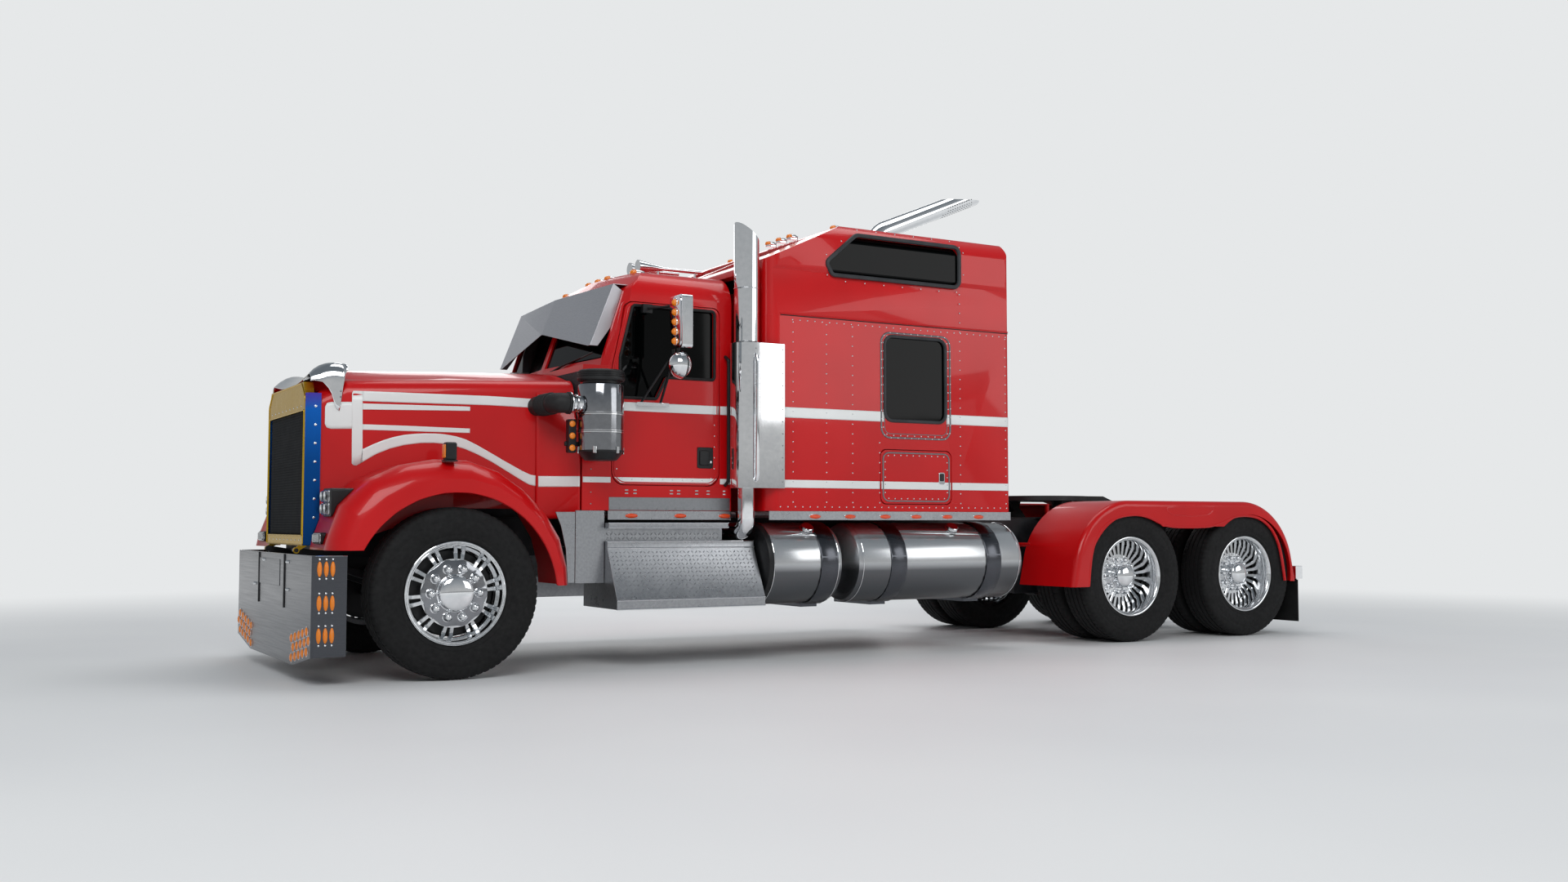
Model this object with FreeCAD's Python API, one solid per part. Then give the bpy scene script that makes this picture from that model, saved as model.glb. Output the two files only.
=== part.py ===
import FreeCAD, Part
import math
import os
from FreeCAD import Vector

# Semi truck tractor unit: three axles, long hood, cab and tall sleeper.
# It stands on its tyres on z = 0, nose towards -X, driver's side towards -Y, +Z up.
# The origin is on the ground below the middle of its box. Lengths are in millimetres.
# Stations are measured rearwards from the bumper's face, half widths from the middle plane.

os.makedirs("parts", exist_ok=True)

# Wheels and axles
front_overhang = 886.0
wheelbase = 6334.0
tandem_spacing = 1333.0
tyre_radius = 535.0
tyre_width = 290.0
tyre_shoulder = 52.0
rim_radius = 300.0
rim_flange_radius = 324.0
rim_half_width = 118.0
rim_wall = 10.0
wheel_sides = 28
tyre_face = 1222.0
twin_spacing = 335.0
hub_radius = 86.0
hub_cap_radius = 58.0
stud_circle_radius = 142.0
stud_count = 10
nut_radius = 17.0
nut_length = 34.0
front_disc_setback = 38.0
front_hand_holes = 10
front_hole_inner = 220.0
front_hole_outer = 276.0
front_hole_half_angle = 7.4
front_disc_dish = 46.0
front_disc_flat_radius = 205.0
disc_step = 3.0
disc_hub_overlap = 6.0
front_hub_out = 44.0
front_hub_in = 130.0
front_hub_dome = 36.0
rear_hole_inner = 186.0
rear_hole_outer = 272.0
rear_hole_half_angle = 3.3
rear_hub_out = 92.0
rear_hub_cap_length = 26.0
rear_bore_depth = 20.0
brake_drum_reach = 110.0
brake_drum_radius = 205.0
axle_tube_clearance = 6.0
rear_disc_setback = 150.0
rear_slots = 30
disc_wall = 14.0
disc_sides = 20
disc_edge_radius = 294.0
spindle_radius = 44.0
bearing_clearance = 0.4
axle_drop = 105.0
kingpin_half_width = 925.0
kingpin_radius = 23.0
knuckle_gap = 4.0
knuckle_ear_wall = 30.0
knuckle_ear_radius = 50.0
boss_half_height = 62.0
axle_beam_half_width = 44.0
axle_beam_height = 92.0
kingpin_boss_radius = 46.0
front_spring_half_spread = 384.0
front_spring_width = 76.0
front_spring_length = 1300.0
axle_housing_radius = 205.0
axle_tube_radius = 72.0
trailing_arm_width = 78.0
trailing_arm_height = 84.0
hanger_reach = 560.0
hanger_front_top = 90.0
hanger_front_foot = 40.0
hanger_rear_foot = 60.0
hanger_rear_top = 110.0
air_spring_reach = 400.0
air_spring_radius = 118.0
drive_shaft_radius = 52.0

# Ladder frame
rail_half_width = 432.0
rail_top = 1010.0
rail_depth = 262.0
rail_flange = 88.0
rail_wall = 9.5
rail_front = 190.0
tail_overhang = 690.0
rail_tail_gap = 120.0
cross_member_height = 180.0
cross_member_wall = 12.0
cross_member_stations = [2760.0, 3990.0, 5330.0]

# Bumper
bumper_half_width = 1190.0
bumper_top = 775.0
bumper_bottom = 94.0
bumper_wing_bottom = 174.0
bumper_wing_depth = 218.0
bumper_wall = 7.0
bumper_corner_cut = 500.0
bumper_corner_radius = 22.0

# Engine, gearbox and radiator
engine_front_station = 720.0
engine_rear_station = 1690.0
engine_half_width = 322.0
engine_bottom = 640.0
engine_top = 1640.0
gearbox_rear_station = 2620.0
gearbox_height = 788.0
bell_radius = 255.0
gearbox_radius = 185.0
radiator_station = 268.0
radiator_wall = 120.0
radiator_half_width = 500.0
radiator_bottom = 838.0
radiator_top = 1700.0

# Hood, its pivot and the fenders
hinge_station = 72.0
hinge_height = 797.0
hinge_pin_radius = 13.0
hinge_lug_radius = 20.0
hinge_lug_wall = 20.0
hinge_half_width = 455.0
grille_station = 88.0
grille_depth = 60.0
grille_half_width = 572.0
grille_bottom = 828.0
grille_top = 1872.0
grille_corner = 120.0
grille_mouth_half_width = 540.0
grille_mouth_bottom = 892.0
grille_mouth_top = 1690.0
mesh_pitch = 108.0
mesh_bar = 15.0
mesh_wall = 8.0
mesh_setback = 14.0
hood_rear_station = 1784.0
hood_wall = 16.0
hood_front_half_width = 588.0
hood_front_crown = 1905.0
hood_brow_station = 340.0
hood_brow_half_width = 632.0
hood_brow_crown = 1996.0
hood_waist_station = 1000.0
hood_waist_half_width = 748.0
hood_waist_crown = 2022.0
hood_rear_half_width = 872.0
hood_rear_crown = 2044.0
hood_side_drop = 205.0
hood_edge_radius = 118.0
hood_sill_rear = 1066.0
hood_sill_front = 840.0
fender_half_width = 1234.0
fender_inner_half_width = 640.0
fender_centre_height = 502.0
fender_wall = 14.0
fender_lip_radius = 664.0
fender_rear_radius = 764.0
fender_rear_shoulder_radius = 808.0
fender_crown_radius = 868.0
fender_front_shoulder_radius = 906.0
fender_front_radius = 812.0
fender_front_bottom = 806.0
fender_sections = 12
fender_rear_bottom = 570.0
lamp_pod_half_width = 868.0
lamp_pod_width = 215.0
lamp_pod_bottom = 1010.0
lamp_pod_top = 1185.0
lamp_pod_station = 165.0
low_lamp_bottom = 842.0
low_lamp_top = 912.0
low_lamp_station = 108.0
scoop_station = 92.0
scoop_rear_station = 345.0
scoop_rise = 42.0
scoop_wall = 5.0
seat_gap = 0.3

# Cab
cab_front_station = 1796.0
cab_rear_station = 2925.0
cab_half_width = 1000.0
cab_bottom = 1056.0
cab_wall = 42.0
cab_side_top = 2500.0
cab_roof_edge_half_width = 800.0
cab_roof_edge = 2728.0
cab_roof_crown = 2765.0
cowl_top = 2036.0
screen_base_station = 1872.0
screen_base_corner_station = 1948.0
screen_top_station = 2064.0
screen_top_corner_station = 2128.0
screen_top = 2585.0
roof_front_lean = 1.2
screen_margin = 62.0
screen_post = 34.0
glass_wall = 6.0
door_front_station = 2006.0
door_rear_station = 2832.0
door_bottom = 1226.0
door_top = 2488.0
door_gap = 6.0
door_corner_radius = 95.0
door_wall = 46.0
door_stop_width = 26.0
door_stop_wall = 12.0
door_window_front_station = 2070.0
door_window_rear_station = 2786.0
door_window_top = 2458.0
door_window_sill = 1980.0
door_window_dip = 1828.0
door_window_dip_station = 2336.0
handle_front_station = 2655.0
handle_rear_station = 2780.0
handle_bottom = 1355.0
handle_top = 1500.0
handle_depth = 12.0
floor_wall = 40.0
bulkhead_wall = 36.0
steering_wheel_radius = 228.0
steering_rim_radius = 15.0
steering_spoke_radius = 10.0
steering_column_radius = 26.0
steering_wheel_reach = 560.0
steering_wheel_height = 1830.0
steering_column_reach = 200.0
steering_column_foot_height = 1640.0
dash_bottom = 1560.0
dash_depth = 350.0
dash_lean = 20.0
dash_nose_height = 1760.0
dash_brow_depth = 240.0
dash_brow_height = 1900.0
dash_top = 1930.0
dash_side_gap = 40.0
cab_foot_radius = 38.0
cab_foot_front_inset = 120.0
cab_foot_rear_inset = 160.0
seat_middle = 450.0
seat_rear_gap = 560.0
seat_base_depth = 380.0
seat_base_half_width = 200.0
seat_base_height = 320.0
seat_cushion_overhang = 60.0
seat_cushion_depth = 480.0
seat_cushion_wall = 140.0
seat_cushion_half_width = 260.0
seat_cushion_rounding = 40.0
seat_back_half_width = 240.0
seat_back_height = 700.0
seat_back_lean = 60.0
seat_back_wall_low = 110.0
seat_back_wall_high = 100.0
bunk_front_gap = 1040.0
bunk_rear_gap = 50.0
bunk_seat_gap = 0.3
bunk_wall = 165.7
bunk_rounding = 50.0
bunk_side_gap = 5.0

# Visor over the windscreen
visor_wall = 5.0
visor_half_width = 905.0
visor_top_station = 2056.0
visor_top = 2615.0
visor_low_station = 1884.0
visor_bottom = 2178.0
visor_bow = 70.0
visor_mouth_top = 2352.0
visor_corner = 30.0
visor_cheek_width = 58.0
visor_cheek_rear_station = 2189.0
visor_cheek_rear_height = 2527.0
roof_lamp_station = 2335.0
roof_lamp_half_width = 640.0
roof_lamp_pitch = 180.0
roof_lamp_radius = 34.0
roof_lamp_height = 30.0
horn_station = 2440.0
horn_rise = 72.0
horn_mouth_radius = 50.0
horn_tube_radius = 15.0
horn_foot_radius = 10.0
horn_half_width = 460.0
horn_spacing = 140.0
horn_length = 520.0
horn_short_length = 400.0

# Air cleaners on the cowl
cleaner_station = 1850.0
cleaner_half_width = 1182.0
cleaner_radius = 151.0
cleaner_bottom = 1440.0
cleaner_top = 1890.0
cleaner_cap_bottom = 1915.0
cleaner_cap_top = 1978.0
cleaner_cap_radius = 157.0
stub_radius = 52.0
stub_height = 1752.0
stub_reach = 52.0
elbow_radius = 66.0
elbow_front_station = 1475.0
lamp_bar_station = 1622.0
lamp_bar_bottom = 1430.0
lamp_bar_top = 1680.0
lamp_bar_half_width = 1130.0

# Mirrors on the doors
mirror_half_width = 1360.0
mirror_width = 190.0
mirror_station = 2350.0
mirror_depth = 78.0
mirror_bottom = 2134.0
mirror_top = 2490.0
mirror_ball_radius = 96.0
mirror_ball_height = 2026.0
mirror_arm_radius = 11.0
mirror_foot_height = 1782.0
mirror_foot_wall = 24.0
mirror_foot_reach = 40.0
mirror_foot_front_station = 2178.0
mirror_foot_rear_station = 2418.0
mirror_upper_height = 2440.0

# Sleeper
sleeper_front_station = 3100.0
sleeper_rear_station = 5270.0
sleeper_half_width = 1220.0
sleeper_bottom = 1056.0
sleeper_seam = 2445.0
sleeper_wall = 40.0
sleeper_corner_radius = 95.0
sleeper_roof_front_station = 3830.0
sleeper_roof_edge = 3156.0
sleeper_roof_crown = 3245.0
sleeper_roof_half_width = 1110.0
sleeper_brow_station = 2935.0
sleeper_brow_height = 2740.0
sleeper_brow_half_width = 1000.0
sleeper_rear_roof_radius = 110.0
upper_window_front_station = 3595.0
upper_window_rear_station = 4776.0
upper_window_bottom = 2778.0
upper_window_top = 3068.0
side_window_front_station = 4097.0
side_window_rear_station = 4643.0
side_window_bottom = 1732.0
side_window_top = 2348.0
side_window_radius = 62.0
luggage_front_station = 4049.0
luggage_rear_station = 4703.0
luggage_bottom = 1107.0
luggage_top = 1515.0
luggage_radius = 52.0
luggage_wall = 38.0
bunk_floor_height = 1560.0
bunk_floor_wall = 24.0
walk_half_width = 330.0
walk_bottom = 1240.0
walk_top = 2315.0
boot_wall = 40.0

# Steps, side panels, tanks
step_front_station = 1962.0
step_rear_station = 3085.0
step_half_width = 1212.0
step_upper_top = 972.0
step_mid_top = 848.0
step_mid_bottom = 800.0
step_upper_rear_station = 2868.0
step_tread_setback = 70.0
step_tread_wall = 34.0
step_nose = 24.0
step_lower_top = 460.0
step_lower_bottom = 400.0
step_upper_half_width = 1045.0
step_inner_half_width = 640.0
cowl_panel_front_station = 1752.0
cowl_panel_rear_station = 1980.0
cowl_panel_bottom = 570.0
sill_trim_bottom = 992.0
sill_trim_wall = 8.0
tank_radius = 292.0
tank_height = 682.0
tank_half_width = 928.0
front_tank_front_station = 3110.0
front_tank_rear_station = 3735.0
main_tank_front_station = 3860.0
main_tank_rear_station = 5398.0
tank_end_radius = 46.0
tank_sides = 40
strap_width = 140.0
strap_wall = 6.0
strap_sides = 20
strap_first_station = 4216.0
strap_second_station = 5100.0
front_strap_station = 3610.0

# Exhaust
stack_radius = 89.0
stack_wall = 3.0
stack_station = 2978.0
stack_half_width = 1128.0
stack_base = 1215.0
stack_front_top = 3090.0
stack_rear_top = 2950.0
stack_pipe_radius = 60.0
stack_pipe_bottom = 915.0
guard_bottom = 1215.0
guard_top = 2232.0
guard_clearance = 28.0
guard_wall = 5.0
guard_rear_station = 3222.0
far_stack_radius = 82.0
far_stack_half_width = 900.0
far_stack_station = 5436.0
far_stack_run_height = 1254.0
far_stack_bend_height = 3620.0
far_stack_bend_radius = 190.0
far_stack_rake = 22.6
far_stack_length = 1250.0
far_scoop_length = 430.0

# Rear fenders, mud flaps and tail
rear_fender_half_width = 1250.0
rear_fender_inner_half_width = 592.0
rear_fender_front_station = 5875.0
rear_fender_front_lean = 147.0
rear_fender_rear_lean = 150.0
rear_fender_round = 600.0
rear_fender_edge = 45.0
rear_fender_arm_height = 790.0
rear_fender_arm_radius = 18.0
rear_fender_arm_overlap = 40.0
rear_fender_mid_arm_radius = 24.0
rear_fender_mid_arm_drop = 60.0
rear_fender_stay_radius = 20.0
rear_fender_cut_reach = 200.0
rear_fender_rear_station = 8478.0
rear_fender_top = 1156.0
rear_fender_lip = 1046.0
rear_fender_bottom = 462.0
rear_fender_wall = 10.0
rear_fender_lip_width = 110.0
rear_fender_front_lip_station = 6044.0
rear_fender_valley = 942.0
flap_front_station = 8496.0
flap_wall = 10.0
flap_inner_half_width = 610.0
flap_bottom = 105.0
flap_top = 470.0
tail_box_depth = 98.0
tail_box_width = 150.0
tail_box_lift = 60.0
tail_bar_height = 50.0
tail_hanger_lip = 8.0
tail_arm_lift = 10.0
tail_arm_step = 2.0
tail_arm_depth = 40.0
tail_arm_overlap = 50.0
tail_riser_lead = 20.0
tail_plate_wall = 24.0
tail_plate_drop = 60.0
tail_foot_length = 200.0
tail_foot_height = 100.0
tail_foot_step = 12.0
flap_side_inset = 12.0
tail_box_bottom = 420.0
tail_box_top = 592.0

# Fifth wheel
fifth_station = 6560.0
fifth_top = 1208.0
fifth_plate_wall = 42.0
fifth_half_width = 462.0
fifth_radius = 470.0
fifth_ramp_length = 430.0
fifth_throat_radius = 25.6
fifth_throat_start = 10.0
fifth_base_half_length = 380.0
fifth_base_overhang = 20.0
fifth_base_wall = 12.0
fifth_bracket_inset = 90.0
fifth_bracket_width = 60.0
fifth_bracket_foot_half = 150.0
fifth_bracket_top_half = 40.0
fifth_bracket_crown = 34.0
fifth_bracket_rounding = 20.0
fifth_ramp_start = 160.0
fifth_ramp_inner = 120.0
fifth_ramp_outer_inset = 60.0
fifth_ramp_drop = 58.0
fifth_ramp_wall = 26.0
fifth_rim_share = 0.92
fifth_mouth_reach = 200.0
fifth_ear_half = 30.0
fifth_ear_spread = 50.0
fifth_ear_wall = 28.0
trim_overlap = 0.01
fifth_pin_radius = 24.0
fifth_pin_height = 1112.0

overall_length = front_overhang + wheelbase + tandem_spacing / 2 + tail_overhang
nose = -overall_length / 2


def at(station):
    return nose + station


front_axle_x = at(front_overhang)
rear_axle_xs = [
    at(front_overhang + wheelbase - tandem_spacing / 2),
    at(front_overhang + wheelbase + tandem_spacing / 2),
]
axle_height = tyre_radius
tyre_middle = tyre_face - tyre_width / 2
rail_bottom = rail_top - rail_depth
tail_station = overall_length - rail_tail_gap
hinge_x = at(hinge_station)


# Outline and solid helpers
def place(axis, a, b, level):
    if axis == "x":
        return Vector(level, a, b)
    if axis == "y":
        return Vector(a, level, b)
    return Vector(a, b, level)


def outline(points, axis, level):
    # Closed wire in the plane across the axis; a third value on a point rounds that corner.
    corners = []
    for index, point in enumerate(points):
        here = Vector(point[0], point[1], 0)
        radius = point[2] if len(point) > 2 else 0
        if radius <= 0:
            corners.append((here, None, here))
            continue
        behind = points[index - 1]
        ahead = points[(index + 1) % len(points)]
        back = Vector(behind[0], behind[1], 0).sub(here).normalize()
        forth = Vector(ahead[0], ahead[1], 0).sub(here).normalize()
        half = back.getAngle(forth) / 2
        reach = radius / math.tan(half)
        centre = here + (back + forth).normalize() * (radius / math.sin(half))
        middle = centre + (here - centre).normalize() * radius
        corners.append((here + back * reach, middle, here + forth * reach))
    edges = []
    for index, (start, middle, end) in enumerate(corners):
        following = corners[(index + 1) % len(corners)][0]
        if middle is not None:
            arc_points = [place(axis, p.x, p.y, level) for p in (start, middle, end)]
            edges.append(Part.Arc(*arc_points).toShape())
        if end.distanceToPoint(following) > 0.01:
            first = place(axis, end.x, end.y, level)
            last = place(axis, following.x, following.y, level)
            edges.append(Part.LineSegment(first, last).toShape())
    return Part.Wire(edges)


def slab(points, axis, low, high):
    face = Part.Face(outline(points, axis, low))
    span = high - low
    return face.extrude(place(axis, 0, 0, span))


def block(x_low, x_high, y_low, y_high, z_low, z_high):
    corner = Vector(x_low, y_low, z_low)
    return Part.makeBox(x_high - x_low, y_high - y_low, z_high - z_low, corner)


def rectangle(a_low, a_high, b_low, b_high, radius=0):
    return [(a_low, b_low, radius), (a_high, b_low, radius),
            (a_high, b_high, radius), (a_low, b_high, radius)]


def rod(start, end, radius):
    along = end.sub(start)
    return Part.makeCylinder(radius, along.Length, start, along)


def disc_y(x, z, radius, y_low, y_high):
    return Part.makeCylinder(radius, y_high - y_low, Vector(x, y_low, z), Vector(0, 1, 0))


def post(x, y, radius, z_low, z_high):
    return Part.makeCylinder(radius, z_high - z_low, Vector(x, y, z_low))


def flat_sided(profile, sides, centre, axis):
    # Ring or barrel turned from an outline of radius and distance along the axis, with flat
    # sides in place of a curved wall, which keeps repeated round pieces light.
    turns = [2 * math.pi * (index + 0.5) / sides for index in range(sides)]
    reference = Vector(1, 0, 0) if abs(axis.x) < 0.5 else Vector(0, 0, 1)
    along = Vector(axis).normalize()
    side_way = along.cross(reference).normalize()
    up_way = side_way.cross(along)
    columns = []
    for turn in turns:
        ray = side_way * math.cos(turn) + up_way * math.sin(turn)
        columns.append([centre + ray * radius + along * level for radius, level in profile])
    faces = []
    for index, column in enumerate(columns):
        following = columns[(index + 1) % sides]
        for low in range(len(profile)):
            high = (low + 1) % len(profile)
            if profile[low][0] == 0 and profile[high][0] == 0:
                continue
            corners = [column[low], column[high]]
            if profile[high][0] > 0:
                corners.append(following[high])
            if profile[low][0] > 0:
                corners.append(following[low])
            faces.append(Part.Face(Part.makePolygon(corners + corners[:1])))
    solid = Part.makeSolid(Part.makeShell(faces))
    if solid.Volume < 0:
        solid.reverse()
    return solid


def mirrored(shape):
    return shape.mirror(Vector(0, 0, 0), Vector(0, 1, 0))


def both_sides(shape):
    return [shape, mirrored(shape)]


def fused(shapes):
    body = shapes[0].multiFuse(shapes[1:]) if len(shapes) > 1 else shapes[0]
    return body.removeSplitter()


def largest(shape):
    return max(shape.Solids, key=lambda solid: solid.Volume)


def bent_tube(points, bend_radius, radius, bore=0):
    # Round bar or pipe along straight runs joined by tangent arcs.
    edges = []
    start = points[0]
    for index in range(1, len(points) - 1):
        here = points[index]
        back = points[index - 1].sub(here).normalize()
        forth = points[index + 1].sub(here).normalize()
        half = back.getAngle(forth) / 2
        reach = bend_radius / math.tan(half)
        centre = here + (back + forth).normalize() * (bend_radius / math.sin(half))
        middle = centre + (here - centre).normalize() * bend_radius
        first = here + back * reach
        last = here + forth * reach
        edges.append(Part.LineSegment(start, first).toShape())
        edges.append(Part.Arc(first, middle, last).toShape())
        start = last
    edges.append(Part.LineSegment(start, points[-1]).toShape())
    path = Part.Wire(edges)
    heading = points[1].sub(points[0])

    def swept(section_radius):
        ring = Part.Wire(Part.makeCircle(section_radius, points[0], heading))
        return path.makePipeShell([ring], True, False)

    bar = swept(radius)
    return bar.cut(swept(bore)) if bore > 0 else bar


def save(name, shapes):
    solids = []
    for shape in shapes:
        solids.extend(shape.Solids)
    Part.makeCompound(solids).exportStep("parts/" + name + ".step")


# Ladder frame with the bumper arms and the hood's hinge lugs
def rail():
    outer = -rail_half_width
    inner = outer + rail_flange
    channel = [
        (outer, rail_bottom), (inner, rail_bottom), (inner, rail_bottom + rail_wall),
        (outer + rail_wall, rail_bottom + rail_wall), (outer + rail_wall, rail_top - rail_wall),
        (inner, rail_top - rail_wall), (inner, rail_top), (outer, rail_top),
    ]
    return slab(channel, "x", at(rail_front), at(tail_station))


def cross_member(station):
    half = rail_half_width - rail_wall
    middle = (rail_top + rail_bottom) / 2
    half_height = cross_member_height / 2
    return block(at(station), at(station) + cross_member_wall, -half, half,
                 middle - half_height, middle + half_height)


def hinge_lug():
    y_low = -hinge_half_width + hinge_lug_wall / 2 + knuckle_gap
    y_high = y_low + hinge_lug_wall
    lug = slab([(hinge_x, hinge_height - hinge_lug_radius), (at(rail_front), rail_bottom),
                (at(rail_front), hinge_height), (hinge_x, hinge_height + hinge_lug_radius)],
               "y", y_low, y_high)
    nose_round = disc_y(hinge_x, hinge_height, hinge_lug_radius, y_low, y_high)
    pin = disc_y(hinge_x, hinge_height, hinge_pin_radius,
                 y_low - hinge_lug_wall - 2 * knuckle_gap, y_high)
    arm_low = y_low
    arm_high = -rail_half_width + rail_wall + hinge_lug_wall
    arm = block(at(rail_front) - hinge_lug_wall, at(rail_front) + rail_flange / 2,
                min(arm_low, -rail_half_width), arm_high, rail_bottom, hinge_height)
    return fused([lug, nose_round, pin, arm])


def bumper_arm():
    y_low = -rail_half_width + rail_wall
    return block(at(bumper_wall), at(rail_front) + hinge_lug_wall / 2, y_low,
                 y_low + hinge_lug_wall, (bumper_top + bumper_bottom) / 2, bumper_top)


def frame_rails():
    stations = [rail_front] + cross_member_stations
    for axle_x in rear_axle_xs:
        stations.append(axle_x - nose + axle_housing_radius * 1.6)
    stations.append(tail_station - cross_member_wall)
    parts = both_sides(rail()) + both_sides(hinge_lug()) + both_sides(bumper_arm())
    parts += [cross_member(station) for station in stations]
    return fused(parts)


# Front axle beam, leaf packs and steering knuckles
def front_axle():
    low = axle_height - axle_drop
    ends = kingpin_half_width - kingpin_boss_radius / 2
    drop_half = kingpin_half_width * 0.62
    beam = slab([(-ends, axle_height - boss_half_height * 0.7), (-drop_half, low - axle_beam_height / 2),
                 (drop_half, low - axle_beam_height / 2), (ends, axle_height - boss_half_height * 0.7),
                 (ends, axle_height + boss_half_height * 0.5), (drop_half, low + axle_beam_height / 2),
                 (-drop_half, low + axle_beam_height / 2), (-ends, axle_height + boss_half_height * 0.5)],
                "x", front_axle_x - axle_beam_half_width, front_axle_x + axle_beam_half_width)
    bosses = []
    for side in (-1, 1):
        y = side * kingpin_half_width
        bosses.append(post(front_axle_x, y, kingpin_boss_radius, axle_height - boss_half_height,
                           axle_height + boss_half_height))
        pin_half = boss_half_height + knuckle_gap + knuckle_ear_wall + 6.0
        bosses.append(post(front_axle_x, y, kingpin_radius, axle_height - pin_half,
                           axle_height + pin_half))
    eye_height = rail_bottom - 46.0
    seat = low + axle_beam_height / 2
    springs = []
    half_length = front_spring_length / 2
    for side in (-1, 1):
        y_low = side * front_spring_half_spread - front_spring_width / 2
        sweep = [(front_axle_x - half_length, eye_height), (front_axle_x, seat),
                 (front_axle_x + half_length, eye_height),
                 (front_axle_x + half_length, eye_height + 30.0),
                 (front_axle_x, seat + 78.0), (front_axle_x - half_length, eye_height + 30.0)]
        springs.append(slab(sweep, "y", y_low, y_low + front_spring_width))
        springs.append(block(front_axle_x - axle_beam_half_width, front_axle_x + axle_beam_half_width, y_low,
                             y_low + front_spring_width, seat - 4.0, seat + 40.0))
        for end in (-half_length, half_length):
            x = front_axle_x + end
            springs.append(block(x - 30.0, x + 30.0, y_low, y_low + front_spring_width,
                                 eye_height - 20.0, rail_bottom))
    return fused([beam] + bosses + springs)


def knuckle():
    # Yoke round the axle boss with the wheel's spindle on it.
    y = -kingpin_half_width
    inner = boss_half_height + knuckle_gap
    outer = inner + knuckle_ear_wall
    back = y - knuckle_ear_radius - 8.0
    web = 34.0
    hub_reach = tyre_middle + 40.0
    ears = []
    for low, high in ((inner, outer), (-outer, -inner)):
        ears.append(post(front_axle_x, y, knuckle_ear_radius, axle_height + low,
                         axle_height + high))
        ears.append(block(front_axle_x - knuckle_ear_radius, front_axle_x + knuckle_ear_radius,
                          back, y, axle_height + low, axle_height + high))
    web_block = block(front_axle_x - knuckle_ear_radius, front_axle_x + knuckle_ear_radius,
                      back - web, back, axle_height - outer, axle_height + outer)
    spindle = disc_y(front_axle_x, axle_height, spindle_radius, -hub_reach, back - web)
    body = fused(ears + [web_block, spindle])
    return body.cut(post(front_axle_x, y, kingpin_radius + bearing_clearance,
                         axle_height - outer - web, axle_height + outer + web))


# Rear axles, drive shafts, arms and air springs
def rear_axles():
    tube_end = tyre_middle - twin_spacing - 10.0
    spindle_end = tyre_middle + 20.0
    parts = []
    for x in rear_axle_xs:
        parts.append(flat_sided([(0, -190.0), (axle_tube_radius + 20.0, -190.0),
                                 (axle_housing_radius, -70.0), (axle_housing_radius, 70.0),
                                 (axle_tube_radius + 20.0, 190.0), (0, 190.0)], 16,
                                Vector(x, 0, axle_height), Vector(0, 1, 0)))
        parts.append(disc_y(x, axle_height, axle_tube_radius, -tube_end, tube_end))
        parts.append(disc_y(x, axle_height, spindle_radius, -spindle_end, spindle_end))
    parts.append(rod(Vector(at(gearbox_rear_station) + seat_gap + 4.0, 0, gearbox_height - 70.0),
                     Vector(rear_axle_xs[0] - axle_housing_radius * 0.9, 0, axle_height + 45.0),
                     drive_shaft_radius))
    parts.append(rod(Vector(rear_axle_xs[0] + axle_housing_radius * 0.9, 0, axle_height + 40.0),
                     Vector(rear_axle_xs[1] - axle_housing_radius * 0.9, 0, axle_height + 40.0),
                     drive_shaft_radius))
    return fused(parts)


def rear_suspension():
    arm_half_width = rail_half_width - rail_flange / 2
    sets = []
    for x in rear_axle_xs:
        y_low = -arm_half_width - trailing_arm_width / 2
        arm_low = axle_height - axle_tube_radius - trailing_arm_height
        eye = x - hanger_reach
        hanger = slab([(eye - hanger_front_top, rail_bottom), (eye - hanger_front_foot, arm_low),
                       (eye + hanger_rear_foot, arm_low), (eye + hanger_rear_top, rail_bottom)],
                      "y", y_low, y_low + trailing_arm_width)
        arm_high = arm_low + trailing_arm_height
        arm_end = x + air_spring_reach + air_spring_radius * 0.7
        arm = block(x - hanger_reach, arm_end, y_low, y_low + trailing_arm_width, arm_low, arm_high)
        bag = post(x + air_spring_reach, -arm_half_width, air_spring_radius, arm_high, rail_bottom)
        whole = fused([hanger, arm, bag])
        sets += both_sides(whole)
    return sets


# Engine with gearbox, and the radiator
def engine():
    w = engine_half_width
    low = engine_bottom
    high = engine_top
    lump = slab([(-w, low + 180.0), (-w * 0.6, low), (w * 0.6, low), (w, low + 180.0),
                 (w, high - 120.0), (w * 0.55, high), (-w * 0.55, high), (-w, high - 120.0)],
                "x", at(engine_front_station), at(engine_rear_station))
    back = at(engine_rear_station)
    gearbox = flat_sided([(0, 0.0), (bell_radius, 0.0), (gearbox_radius, 260.0),
                          (gearbox_radius, at(gearbox_rear_station) - back),
                          (0, at(gearbox_rear_station) - back)], 16,
                         Vector(back, 0, gearbox_height), Vector(1, 0, 0))
    mounts = []
    web = rail_half_width - rail_wall
    for station in (engine_front_station + 60.0, engine_rear_station - 200.0):
        mounts.append(block(at(station), at(station) + 110.0, -web, web,
                            rail_bottom + rail_wall, rail_bottom + 110.0))
    return fused([lump, gearbox] + mounts)


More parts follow.
